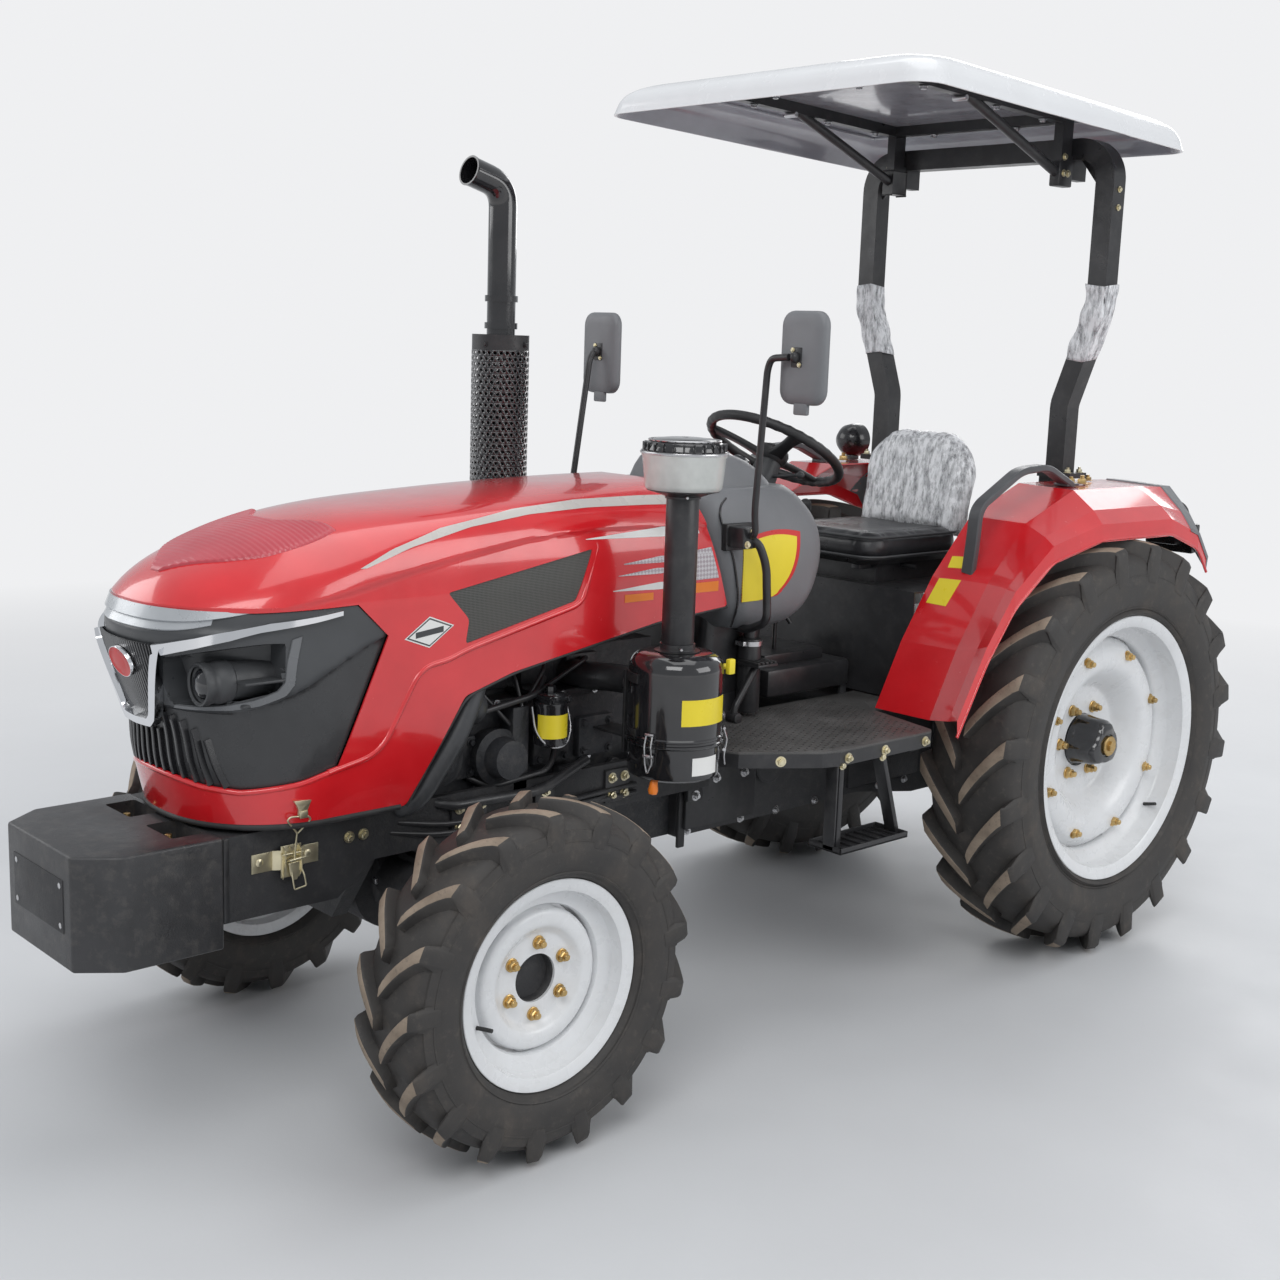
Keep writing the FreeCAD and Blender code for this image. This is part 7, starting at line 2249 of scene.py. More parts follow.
def leather_mat():
    mat, tree, bsdf = material("seat_vinyl")
    cells = tree.nodes.new("ShaderNodeTexVoronoi")
    cells.inputs["Scale"].default_value = 420.0
    where = tree.nodes.new("ShaderNodeTexCoord")
    link(tree, where.outputs["Object"], cells.inputs["Vector"])
    cloud = noise_of(tree, 9.0, 5.0, 0.6)
    link(tree, ramp_of(tree, cloud, [(0.3, (0.016, 0.016, 0.018)), (0.7, (0.030, 0.030, 0.033))]),
         bsdf.inputs["Base Color"])
    link(tree, range_of(tree, cloud, 0.24, 0.42, 0.3, 0.7), bsdf.inputs["Roughness"])
    under = bump_of(tree, cloud, 0.002, 0.5)
    link(tree, bump_of(tree, cells.outputs["Distance"], 0.0004, 0.7, under), bsdf.inputs["Normal"])
    bsdf.inputs["Specular IOR Level"].default_value = 0.6
    return mat


M["film"] = film_mat()
M["vinyl"] = leather_mat()


def puffed(obj, cap=0.014, voxel=0.006, pressure=4.0):
    """The closed mesh swollen by a cloth simulation, no point moving further than cap."""
    scene = bpy.context.scene

    def fixed():
        graph = bpy.context.evaluated_depsgraph_get()
        mesh = bpy.data.meshes.new_from_object(obj.evaluated_get(graph))
        return mesh
    remesh = obj.modifiers.new("remesh", "REMESH")
    remesh.mode = "VOXEL"
    remesh.voxel_size = voxel
    mesh = fixed()
    obj.modifiers.clear()
    obj.data = mesh
    start = [v.co.copy() for v in mesh.vertices]
    cloth = obj.modifiers.new("cloth", "CLOTH")
    s = cloth.settings
    s.quality = 4
    s.mass = 0.3
    s.use_pressure = True
    s.uniform_pressure_force = pressure
    s.tension_stiffness = s.compression_stiffness = 12
    s.shear_stiffness = 4
    s.bending_stiffness = 0.4
    s.effector_weights.gravity = 0
    cloth.point_cache.frame_start = 1
    cloth.point_cache.frame_end = 20
    for frame in range(1, 21):
        scene.frame_set(frame)
    swollen = fixed()
    obj.modifiers.clear()
    obj.data = swollen
    for v, old in zip(swollen.vertices, start):
        move = v.co - old
        if move.length > cap:
            v.co = old + move * (cap / move.length)
    scene.frame_set(1)


def smoothed(obj, times=6, levels=1):
    soft = obj.modifiers.new("soft", "SMOOTH")
    soft.factor = 0.5
    soft.iterations = times
    sub = obj.modifiers.new("subdivision", "SUBSURF")
    sub.levels = sub.render_levels = levels


def back_line(z):
    """Middle of the backrest at a height: y."""
    return ry(-0.146 + (z - 1.16) * (0.045 / 0.315))


def back_outline(grow=0.0, low=1.166):
    """Outline of the backrest seen from the front: (x, z)."""
    half, top, r = 0.204 + grow, 1.468 + grow, 0.125
    points = [(half - 0.004, low)]
    for k in range(13):
        t = math.radians(90 * k / 12)
        points.append((half - r + r * math.cos(t) - 0.012 * math.sin(t), top - r + r * math.sin(t)))
    return points + [(-x, z) for x, z in points[::-1]]


def make_seat():
    b = Build()
    rows = [(1.122, 0.196, -0.572, -0.150, 0.06), (1.130, 0.206, -0.584, -0.144, 0.065),
            (1.150, 0.210, -0.588, -0.142, 0.07),
            (1.170, 0.206, -0.584, -0.144, 0.07), (1.180, 0.196, -0.574, -0.150, 0.065)]
    loft(b, [ring(-h, h, ry(y0), ry(y1), r, z, 7) for z, h, y0, y1, r in rows])
    seat = b.done("seat_pad", M["vinyl"], smooth=True, angle=60)
    puffed(seat, 0.012)
    for v in seat.data.vertices:
        x, y, z = v.co
        if z > 1.16:
            dip = math.exp(-((x / 0.12) ** 2 + ((y - ry(-0.33)) / 0.13) ** 2))
            front = max(0.0, 1 - abs(y - ry(-0.535)) / 0.05)
            groove = math.exp(-((abs(x) - 0.135) / 0.005) ** 2) + math.exp(-((y - ry(-0.505)) / 0.005) ** 2) * (abs(x) < 0.2)
            v.co.z = z - 0.010 * dip - 0.004 * groove + 0.003 * front
    smoothed(seat, 3)
    shade(seat, 70)
    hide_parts("seat_cushion")
    b = Build()
    for z, h, y0, y1, r in ((1.1815, 0.2035, -0.5815, -0.1445, 0.066),
                            (1.128, 0.2125, -0.590, -0.1395, 0.068)):
        path = ring(-h, h, ry(y0), ry(y1), r, z, 7)
        m = len(path)
        rings = []
        for i, p in enumerate(path):
            d = (path[(i + 1) % m] - path[i - 1]).normalized()
            out = Vector((d.y, -d.x, 0))
            rings.append([p + out * 0.0042 * math.cos(t) + Vector((0, 0, 0.0042 * math.sin(t)))
                          for t in (math.pi * k / 4 for k in range(8))])
        loft(b, rings, caps=False, close=True)
    b.done("seat_piping", M["plastic_dark"], angle=70)
    b = Build()
    loft(b, [ring(-h, h, ry(y0), ry(y1), r, z, 6) for z, h, y0, y1, r in
             ((1.100, 0.150, -0.52, -0.17, 0.04), (1.104, 0.190, -0.565, -0.15, 0.05),
              (1.120, 0.205, -0.582, -0.143, 0.06),
              (1.124, 0.203, -0.580, -0.145, 0.06))])
    for s in (-1, 1):
        b.box(s * 0.105, s * 0.165, ry(-0.50), ry(-0.42), 1.050, 1.104, 0.008)
        b.box(s * 0.105, s * 0.165, ry(-0.25), ry(-0.17), 1.050, 1.104, 0.008)
        b.box(s * 0.120, s * 0.150, ry(-0.56), ry(-0.12), 1.088, 1.103, 0.003)
        b.prism([(ry(-0.165), 1.08), (ry(-0.105), 1.08), (ry(-0.088), 1.36), (ry(-0.118), 1.36),
                 (ry(-0.135), 1.125)],
                s * 0.060, s * 0.075, "yz", 0.004)
    b.tube([(0.225, ry(-0.40), 1.094), (0.16, ry(-0.40), 1.094)], 0.006, 10)
    b.done("seat_pan", M["black"], angle=40)
    # Backrest: padded front on a tilted plane, under a crinkled clear wrap
    outline = back_outline()
    b = Build()
    rows = []
    for depth, inset in ((-0.024, 0.030), (-0.019, 0.012), (-0.008, 0.002), (0.006, 0.0), (0.016, 0.006),
                         (0.020, 0.022)):
        rows.append([Vector((x * (1 - inset / 0.2), back_line(z) + depth,
                             1.166 + (z - 1.166) * (1 - inset / 0.3) + inset * 0.35))
                     for x, z in outline])
    loft(b, rows)
    back = b.done("seat_backrest", M["vinyl"], angle=60)
    puffed(back, 0.012)
    # The wrap is the pad's own swollen skin, moved out along its normals and crinkled
    film = twin(back, "seat_back_wrap")
    rng = random.Random(5)
    waves = [(rng.uniform(60, 210), rng.uniform(0, 6.28), rng.uniform(-30, 30),
              rng.uniform(0.0003, 0.0007)) for _ in range(8)]
    normals = [v.normal.copy() for v in film.data.vertices]
    for v, n in zip(film.data.vertices, normals):
        x, y, z = v.co
        wrinkle = sum(a * math.sin(f * x + ph + tw * z) for f, ph, tw, a in waves)
        v.co += n * (0.0055 + max(-0.0025, min(0.0035, wrinkle)))
    for v in back.data.vertices:
        x, y, z = v.co
        if y < back_line(z) - 0.012:
            v.co.y += 0.0045 * (math.exp(-((abs(x) - 0.12) / 0.005) ** 2) + math.exp(-((z - 1.40) / 0.005) ** 2))
    smoothed(back, 3)
    shade(back, 70)
    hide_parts("seat_back")
    finish_piece(film, M["film"], "chassis", angle=80)
    sheet = film.modifiers.new("sheet", "SOLIDIFY")
    sheet.thickness = 0.0005


def on_fender(direction, points, lift):
    """Points thrown onto the left fender along a direction, and lifted off it."""
    hit = []
    for p in points:
        at, normal, _, _ = FENDER_TREE.ray_cast(Vector(p) - direction * 0.4, direction)
        if at is None:
            at, normal, _, _ = FENDER_TREE.find_nearest(Vector(p))
        if normal.dot(direction) > 0:
            normal = -normal
        hit.append(at + normal * lift)
    return hit


def fender_label(name, corners, n=10):
    """Thin label on the fender between four corners (x, from the front axle, height)."""
    a, b_, c, d = [Vector((x, fy(y), z)) for x, y, z in corners]
    aim = Vector((0, 1, -0.35)).normalized()
    b = Build()
    rows = []
    for lift in (0.0011, -0.0006):
        grid = []
        for k in range(n + 1):
            left, right = a.lerp(d, k / n), b_.lerp(c, k / n)
            grid.append(on_fender(aim, [left.lerp(right, i / n) for i in range(n + 1)], lift))
        rows.append([[b.bm.verts.new(p) for p in row] for row in grid])
    top, low = rows
    made = []
    for k in range(n):
        for i in range(n):
            made.append(b.bm.faces.new([top[k][i], top[k][i + 1], top[k + 1][i + 1], top[k + 1][i]]))
            made.append(b.bm.faces.new([low[k][i], low[k + 1][i], low[k + 1][i + 1], low[k][i + 1]]))
    rim = [(0, i) for i in range(n)] + [(k, n) for k in range(n)] + [(n, i) for i in range(n, 0, -1)] + \
          [(k, 0) for k in range(n, 0, -1)]
    for (e, f), (g, h) in zip(rim, rim[1:] + rim[:1]):
        made.append(b.bm.faces.new([top[e][f], low[e][f], low[g][h], top[g][h]]))
    b.mark(made)
    b.done(name, M["yellow"], angle=40)


OUTER_EDGE = [(-0.745, 0.773), (-0.638, 0.955), (-0.531, 1.089), (-0.370, 1.201), (-0.142, 1.248),
              (0.222, 1.246),
              (0.378, 1.195), (0.440, 1.120)]
INNER_EDGE = [(-0.700, 0.745), (-0.604, 0.922), (-0.484, 1.092), (-0.330, 1.250), (-0.110, 1.335),
              (0.222, 1.335),
              (0.400, 1.329), (0.470, 1.230)]


def make_fenders():
    for side, s in (("left", 1), ("right", -1)):
        b = Build()
        rings = []
        for x, share in ((0.3485, 0), (0.352, 0), (0.44, 0.02), (0.535, 0.05), (0.575, 0.32), (0.615, 0.6),
                         (0.640, 0.84), (0.6565, 1), (0.659, 1)):
            fore, top, low = [Vector((0, i[0] * (1 - share) + o[0] * share,
                                      i[1] * (1 - share) + o[1] * share))
                              for i, o in zip(INNER_EDGE[5:], OUTER_EDGE[5:])]
            path = [top.lerp(fore, 0.28), top, top.lerp(low, 0.5), low, low + Vector((0, -0.004, -0.03))]
            outer = [Vector((s * x, ry(p.y) + 0.0035, p.z + 0.003)) for p in path]
            inner = [Vector((s * x, ry(p.y) - 0.004, p.z - 0.004)) for p in path]
            rings.append(outer + inner[::-1])
        loft(b, rings)
        b.done("fender_cap_" + side, M["plastic"], angle=30)
        b = Build()
        b.tube([(s * 0.6585, ry(y), z - 0.043) for y, z in OUTER_EDGE], 0.0042, 10, 0.04)
        b.done("fender_bead_" + side, M["red"], angle=60)
        b = Build()
        bar = [(0.452, -0.462, 1.110), (0.468, -0.472, 1.200), (0.471, -0.470, 1.290), (0.471, -0.288, 1.384),
               (0.471, -0.165, 1.392), (0.466, -0.035, 1.338)]
        b.tube([(s * x, ry(y), z) for x, y, z in bar], 0.01, bend=0.035, flat=(0.0095, 0.019), up=(1, 0, 0),
               steps=10)
        b.box(s * 0.436, s * 0.484, ry(-0.065), ry(-0.005), 1.334, 1.342, 0.003)
        b.done("grab_bar_" + side, M["bar"], angle=40)
        b = Build()
        b.bolt((s * 0.460, ry(-0.012), 1.342), (0, 0, 1), 0.010, 0.010, thread=0.006)
        b.bolt((s * 0.455, ry(0.052), 1.337), (0, 0, 1), 0.012, 0.012, thread=0.010)
        b.bolt((s * 0.395, ry(0.175), 1.337), (0, 0, 1), 0.010, 0.009, thread=0.006)
        b.done("grab_bar_nuts_" + side, M["brass"], angle=35)
        # Lamps at the rear
        b = Build()
        b.prism([(ry(0.452), 1.122), (ry(0.490), 1.126), (ry(0.490), 1.212), (ry(0.446), 1.214)], s * 0.440,
                s * 0.600, "yz", 0.006)
        b.box(s * 0.470, s * 0.570, ry(0.40), ry(0.455), 1.15, 1.19, 0.004)
        b.lathe([(-0.012, 0), (-0.012, 0.024), (0.0, 0.036), (0.014, 0.038), (0.018, 0.034), (0.018, 0)],
                (s * 0.520, ry(0.478), 1.236), (0, 0.96, 0.28), 32)
        b.done("rear_lamp_body_" + side, M["mask_black"], angle=35)
        for k, (mat, x0, x1) in enumerate((("red_lens", 0.448, 0.500), ("amber", 0.504, 0.548),
                                           ("clear_lens", 0.552, 0.592))):
            b = Build()
            b.prism([(ry(0.488), 1.134), (ry(0.4955), 1.138), (ry(0.4955), 1.200), (ry(0.488), 1.204)],
                    s * x0, s * x1, "yz", 0.003)
            b.done("rear_lamp_lens_%d_%s" % (k, side), M[mat], angle=40)
    for side in ("left", "right"):
        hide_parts("grab_bars")
        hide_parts("rear_lamps")
    b = Build()
    b.lathe([(-0.058, 0), (-0.056, 0.018), (-0.046, 0.036), (-0.026, 0.050), (0.0, 0.054), (0.022, 0.055),
             (0.026, 0.052),
             (0.026, 0)], (-0.500, ry(0.150), 1.398), (0, 1, 0), 40)
    b.box(-0.512, -0.488, ry(0.13), ry(0.17), 1.332, 1.350, 0.003)
    b.done("work_lamp", M["mask_black"], angle=35)
    b = Build()
    b.lathe([(0, 0), (0, 0.049), (0.004, 0.048), (0.009, 0.036), (0.012, 0.018), (0.013, 0)],
            (-0.500, ry(0.150) + 0.0255, 1.398),
            (0, 1, 0), 40)
    b.done("work_lamp_glass", M["clear_lens"], angle=60)
    fender_label("fender_label_upper", [(0.382, 1.604, 1.116), (0.457, 1.608, 1.121), (0.441, 1.636, 1.149),
                                        (0.374, 1.632, 1.145)])
    fender_label("fender_label_lower", [(0.371, 1.532, 1.023), (0.438, 1.530, 1.022), (0.448, 1.579, 1.091),
                                        (0.376, 1.577, 1.088)])


M["red_lens"] = painted("red_lens", (0.5, 0.01, 0.01), rough=0.12, coat=0.6, vary=0.1, depth=0.0001)
M["clear_lens"] = painted("clear_lens", (0.55, 0.56, 0.58), rough=0.1, coat=0.6, vary=0.08, depth=0.0001)
FENDER_TREE = BVHTree.FromObject(NODES["fenders"], bpy.context.evaluated_depsgraph_get())
make_seat()
make_fenders()

# Roll bar wraps, canopy, platform, ballast and the machine's underside

def post_x(z):
    if z < 1.56:
        return 0.335
    return 0.335 + 0.095 * min(1.0, (z - 1.56) / 0.285)


def make_roll_bar():
    y = ry(0.115)
    rng = random.Random(9)
    for side, s in (("left", 1), ("right", -1)):
        b = Build()
        rows = []
        waves = [(rng.uniform(20, 90), rng.uniform(0, 6.3), rng.randint(1, 5),
                  rng.uniform(0.0003, 0.0011)) for _ in range(8)]
        for k in range(25):
            z = 1.688 + 0.215 * k / 24
            row = []
            for p in ring(-0.0325, 0.0325, -0.0325, 0.0325, 0.008, 0, 3):
                t = math.atan2(p.y, p.x)
                f = 1 + 28 * (0.0030 + sum(a * math.sin(w * z + ph + m * t) for w, ph, m, a in waves))
                row.append(Vector((s * (post_x(z) + p.x * f), y + p.y * f, z + 0.006 * math.sin(2 * t + s))))
            rows.append(row)
        loft(b, rows, caps=False)
        wrap = b.done("post_wrap_" + side, M["film"], angle=80)
        sheet = wrap.modifiers.new("sheet", "SOLIDIFY")
        sheet.thickness = 0.0005
        b = Build()
        for dx, dy in ((-0.036, -0.030), (0.048, -0.030), (-0.036, 0.030), (0.048, 0.030)):
            b.bolt((s * (0.335 + dx), y + dy, 1.361), (0, 0, 1), 0.008, 0.008, thread=0.006)
        for z in (2.12, 2.17):
            b.bolt((s * 0.4605, y, z), (s, 0, 0), 0.006, 0.005)
        for z, dy in ((2.215, -0.075), (2.215, -0.055), (2.26, -0.075)):
            b.bolt((s * 0.3205, y + dy, z), (s, 0, 0), 0.007, 0.006)
        b.done("post_bolts_" + side, M["zinc"], angle=35)
        b = Build()
        b.box(s * 0.2885, s * 0.3215, y - 0.098, y - 0.030, 2.178, 2.248, 0.004)
        b.prism([(y - 0.030, 2.255), (y - 0.09, 2.255), (y - 0.03, 2.20)], s * 0.300, s * 0.310, "yz", 0.001)
        b.prism([(s * 0.395, 2.258), (s * 0.402, 2.17), (s * 0.330, 2.258)], y - 0.005, y + 0.005, "xz",
                0.001)
        b.prism([(s * 0.30, 1.361), (s * 0.30, 1.40), (s * 0.285, 1.361)], y - 0.004, y + 0.004, "xz", 0.0008)
        b.done("post_brackets_" + side, M["black"], angle=35)


def make_canopy():
    turn = Matrix.Rotation(math.radians(-CANOPY_TILT), 4, "X")
    centre = Vector((0, (ry(-0.930) + ry(0.290)) / 2, 2.305))

    def tilt(p):
        return centre + turn @ (p - centre)
    keys = [(0.0, (0.0, 0.0)), (0.12, (0.003, 0.012)), (0.30, (0.010, 0.038)), (0.42, (0.022, 0.058)),
            (0.52, (0.045, 0.074)),
            (0.66, (0.085, 0.086)), (0.78, (0.130, 0.092)), (0.9, (0.20, 0.096)), (1.0, (0.30, 0.0985))]
    outer, inner = [], []
    for k in range(31):
        a, h = catmull(keys, k / 30)
        h = min(h, 0.0995)
        r = 0.075 + a * 0.6
        outer.append([tilt(p) for p in ring(-0.58 + a, 0.58 - a, ry(-0.93) + a, ry(0.29) - a, r, 2.305 + h,
                                            10)])
        g = a + 0.006
        inner.append([tilt(p) for p in ring(-0.58 + g, 0.58 - g, ry(-0.93) + g, ry(0.29) - g,
                                            max(0.02, r - 0.004),
                                            2.305 + (h - 0.006 if k > 2 else h * 0.6 - 0.0002 * (k == 0)),
                                            10)])
    b = Build()
    loft(b, outer, caps=False)
    m = len(outer[0])
    b.bm.verts.ensure_lookup_table()
    b.mark([b.bm.faces.new(b.bm.verts[-m:])])
    first = b.bm.verts[:m]
    # the underside takes the darker copy of the white paint: painted shade
    b.index = 1
    start = len(b.bm.verts)
    loft(b, inner, caps=False)
    b.bm.verts.ensure_lookup_table()
    b.mark([b.bm.faces.new(b.bm.verts[-m:])])
    b.index = 0
    low = b.bm.verts[start:start + m]
    b.mark([b.bm.faces.new([first[i], first[(i + 1) % m], low[(i + 1) % m], low[i]]) for i in range(m)])
    b.done("canopy_shell", [M["canopy"], M["canopy_under_shaded"]], angle=50)
    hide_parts("canopy")
    b = Build()
    for x in (-0.46, 0.46):
        b.tube([tilt(Vector((x, ry(-0.76), 2.386))), tilt(Vector((x, ry(0.12), 2.386)))], 0.006, 10)
    for y in (-0.76, 0.12):
        b.tube([tilt(Vector((-0.46, ry(y), 2.386))), tilt(Vector((0.46, ry(y), 2.386)))], 0.006, 10)
    b.done("canopy_beads", M["canopy_under_shaded"], angle=60)
    b = Build()
    for x in (-0.305, 0.305):
        for y in (-0.60, -0.28, -0.06):
            b.bolt(tilt(Vector((x, ry(y), 2.3655))), (0, 0, -1), 0.008, 0.007)
        b.rod((x - 0.022, ry(-0.44), 2.366), (x + 0.022, ry(-0.44), 2.366), 0.008, 14)
    for x in (-0.15, 0.15):
        b.bolt(tilt(Vector((x, ry(-0.675), 2.3655))), (0, 0, -1), 0.008, 0.007)
        b.bolt(tilt(Vector((x, ry(0.035), 2.3655))), (0, 0, -1), 0.008, 0.007)
    b.done("canopy_bolts", M["steel"], angle=35)


def make_platform():
    plate = [(0.152, -1.375), (0.425, -1.375), (0.470, -1.350), (0.585, -1.178), (0.600, -1.130),
             (0.600, -0.775), (0.585, -0.757),
             (0.345, -0.702), (0.345, -0.552), (0.152, -0.552)]
    for side, s in (("left", 1), ("right", -1)):
        b = Build()
        b.prism([(s * x, ry(y)) for x, y in plate], 0.7335, 0.740, "xy", 0.0012, 2)
        sheet = b.done("platform_plate_" + side, M["tread"], body=None, smooth=False)
        cut = Build()
        for j in range(34):
            for i in range(22):
                x, y = 0.178 + 0.0205 * i + (0.01 if j % 2 else 0), -1.352 + 0.019 * j
                edge = min(0.586 - x, y + 1.364, -0.765 - y + max(0.0, 0.585 - x) * 0.22,
                           (0.585 - x) * 0.83 + (y + 1.178) * 0.555)
                if edge > 0.012 and x > 0.170 and not (x < 0.24 and -1.23 < y < -1.06):
                    cut.lathe([(0, 0), (0, 0.0042), (0.02, 0.0042), (0.02, 0)], (s * x, ry(y), 0.728),
                              (0, 0, 1), 8)
        tool = cut.done("cut_" + side, M["tread"], body=None, smooth=False)
        boolean(sheet, tool, "DIFFERENCE")
        finish_piece(sheet, M["tread"], "chassis", True, 35)
        b = Build()
        skirt = [(s * x, ry(y)) for x, y in plate[:8]]
        for p, q in zip(skirt, skirt[1:]):
            d = (Vector(q) - Vector(p)).normalized()
            n = Vector((d.y, -d.x)) * (0.0045 * s)
            b.prism([p, q, tuple(Vector(q) - n), tuple(Vector(p) - n)], 0.700, 0.7345, "xy")
        for y in (-1.12, -0.83):
            b.box(s * 0.152, s * 0.583, ry(y), ry(y + 0.04), 0.690, 0.7335, 0.003)
        b.box(s * 0.575, s * 0.598, ry(-1.125), ry(-1.108), 0.486, 0.73, 0.003)
        b.box(s * 0.562, s * 0.598, ry(-1.135), ry(-1.129), 0.484, 0.73, 0.002)
        b.prism([(ry(-0.892), 0.484), (ry(-0.877), 0.484), (ry(-0.957), 0.72), (ry(-0.972), 0.72)],
                s * 0.562, s * 0.598, "yz", 0.002)
        b.box(s * 0.515, s * 0.622, ry(-1.135), ry(-0.875), 0.481, 0.4865, 0.0015)
        for x0, x1, y0, y1 in ((0.515, 0.519, -1.135, -0.875), (0.618, 0.622, -1.135, -0.875),
                               (0.515, 0.622, -1.135, -1.131),
                               (0.515, 0.622, -0.879, -0.875)):
            b.box(s * x0, s * x1, ry(y0), ry(y1), 0.4805, 0.4965, 0.0012)
        for k in range(7):
            y = -1.105 + 0.034 * k
            b.box(s * 0.525, s * 0.612, ry(y - 0.0035), ry(y + 0.0035), 0.486, 0.4915, 0.0015)
        b.prism([(s * 0.16, 0.69), (s * 0.30, 0.69), (s * 0.16, 0.60)], ry(-1.118), ry(-1.110), "xz", 0.001)
        b.done("platform_frame_" + side, M["black"], angle=35)
        b = Build()
        for x, y in ((0.600, -1.10), (0.600, -0.96), (0.600, -0.80)):
            b.bolt((s * x, ry(y), 0.717), (s, 0, 0), 0.0085, 0.008, thread=0.004)
        b.bolt((s * 0.528, ry(-1.264), 0.717), (s * 0.83, -0.555, 0), 0.0085, 0.008, thread=0.004)
        for y in (-1.118, -0.966):
            b.bolt((s * 0.598, ry(y), 0.70), (s, 0, 0), 0.007, 0.006)
        b.done("platform_bolts_" + side, M["zinc"], angle=35)
        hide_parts("platform")


def make_ballast():
    """Cast block ahead of the front frame, with a blank plate on its nose and two open pockets with bolts."""
    front, back = -1.865, fy(-0.506)
    b = Build()
    plan = [(-0.150, front + 0.003), (0.150, front + 0.003), (0.210, front + 0.084), (0.210, back),
            (-0.210, back),
            (-0.210, front + 0.084)]
    b.prism(plan, 0.4475, 0.6845, "xy", 0.006, 3)
    block = b.done("ballast_casting", M["ballast"], angle=40)
    tool = Build()
    for s in (-1, 1):
        tool.prism([(s * 0.036, fy(-0.590)), (s * 0.154, fy(-0.590)), (s * 0.154, fy(-0.522)),
                    (s * 0.036, fy(-0.522))],
                   0.576, 0.70, "xy", 0.007, 2)
    boolean(block, tool.done("pocket_tool", M["ballast"], body=None), "DIFFERENCE")
    finish_piece(block, M["ballast"], None, True, 40)
    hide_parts("ballast_block")
    b = Build()
    b.prism([(-0.118, 0.520), (0.118, 0.520), (0.118, 0.630), (-0.118, 0.630)], front + 0.0012,
            front + 0.006, "xz", 0.001)
    b.box(-0.204, 0.204, back - 0.0035, back + 0.001, 0.455, 0.678)
    b.done("ballast_plate", M["casting"], angle=35)
    b = Build()
    for x in (-0.104, 0.104):
        for z in (0.534, 0.616):
            b.lathe([(0, 0), (0, 0.0065), (0.0006, 0.0065), (0.0010, 0.0055), (0.0010, 0)],
                    (x, front + 0.0012, z), (0, -1, 0), 6)
    b.done("ballast_plate_bolts", M["steel"], angle=35)
    b = Build()
    for s in (-1, 1):
        for x in (0.070, 0.120):
            b.rod((s * x, fy(-0.556), 0.5765), (s * x, fy(-0.556), 0.668), 0.0075, 16)
            b.bolt((s * x, fy(-0.556), 0.6385), (0, 0, 1), 0.0115, 0.011)
        b.box(s * 0.042, s * 0.148, fy(-0.584), fy(-0.528), 0.630, 0.6385, 0.002)
    b.done("ballast_bolts", M["brass"], angle=35)


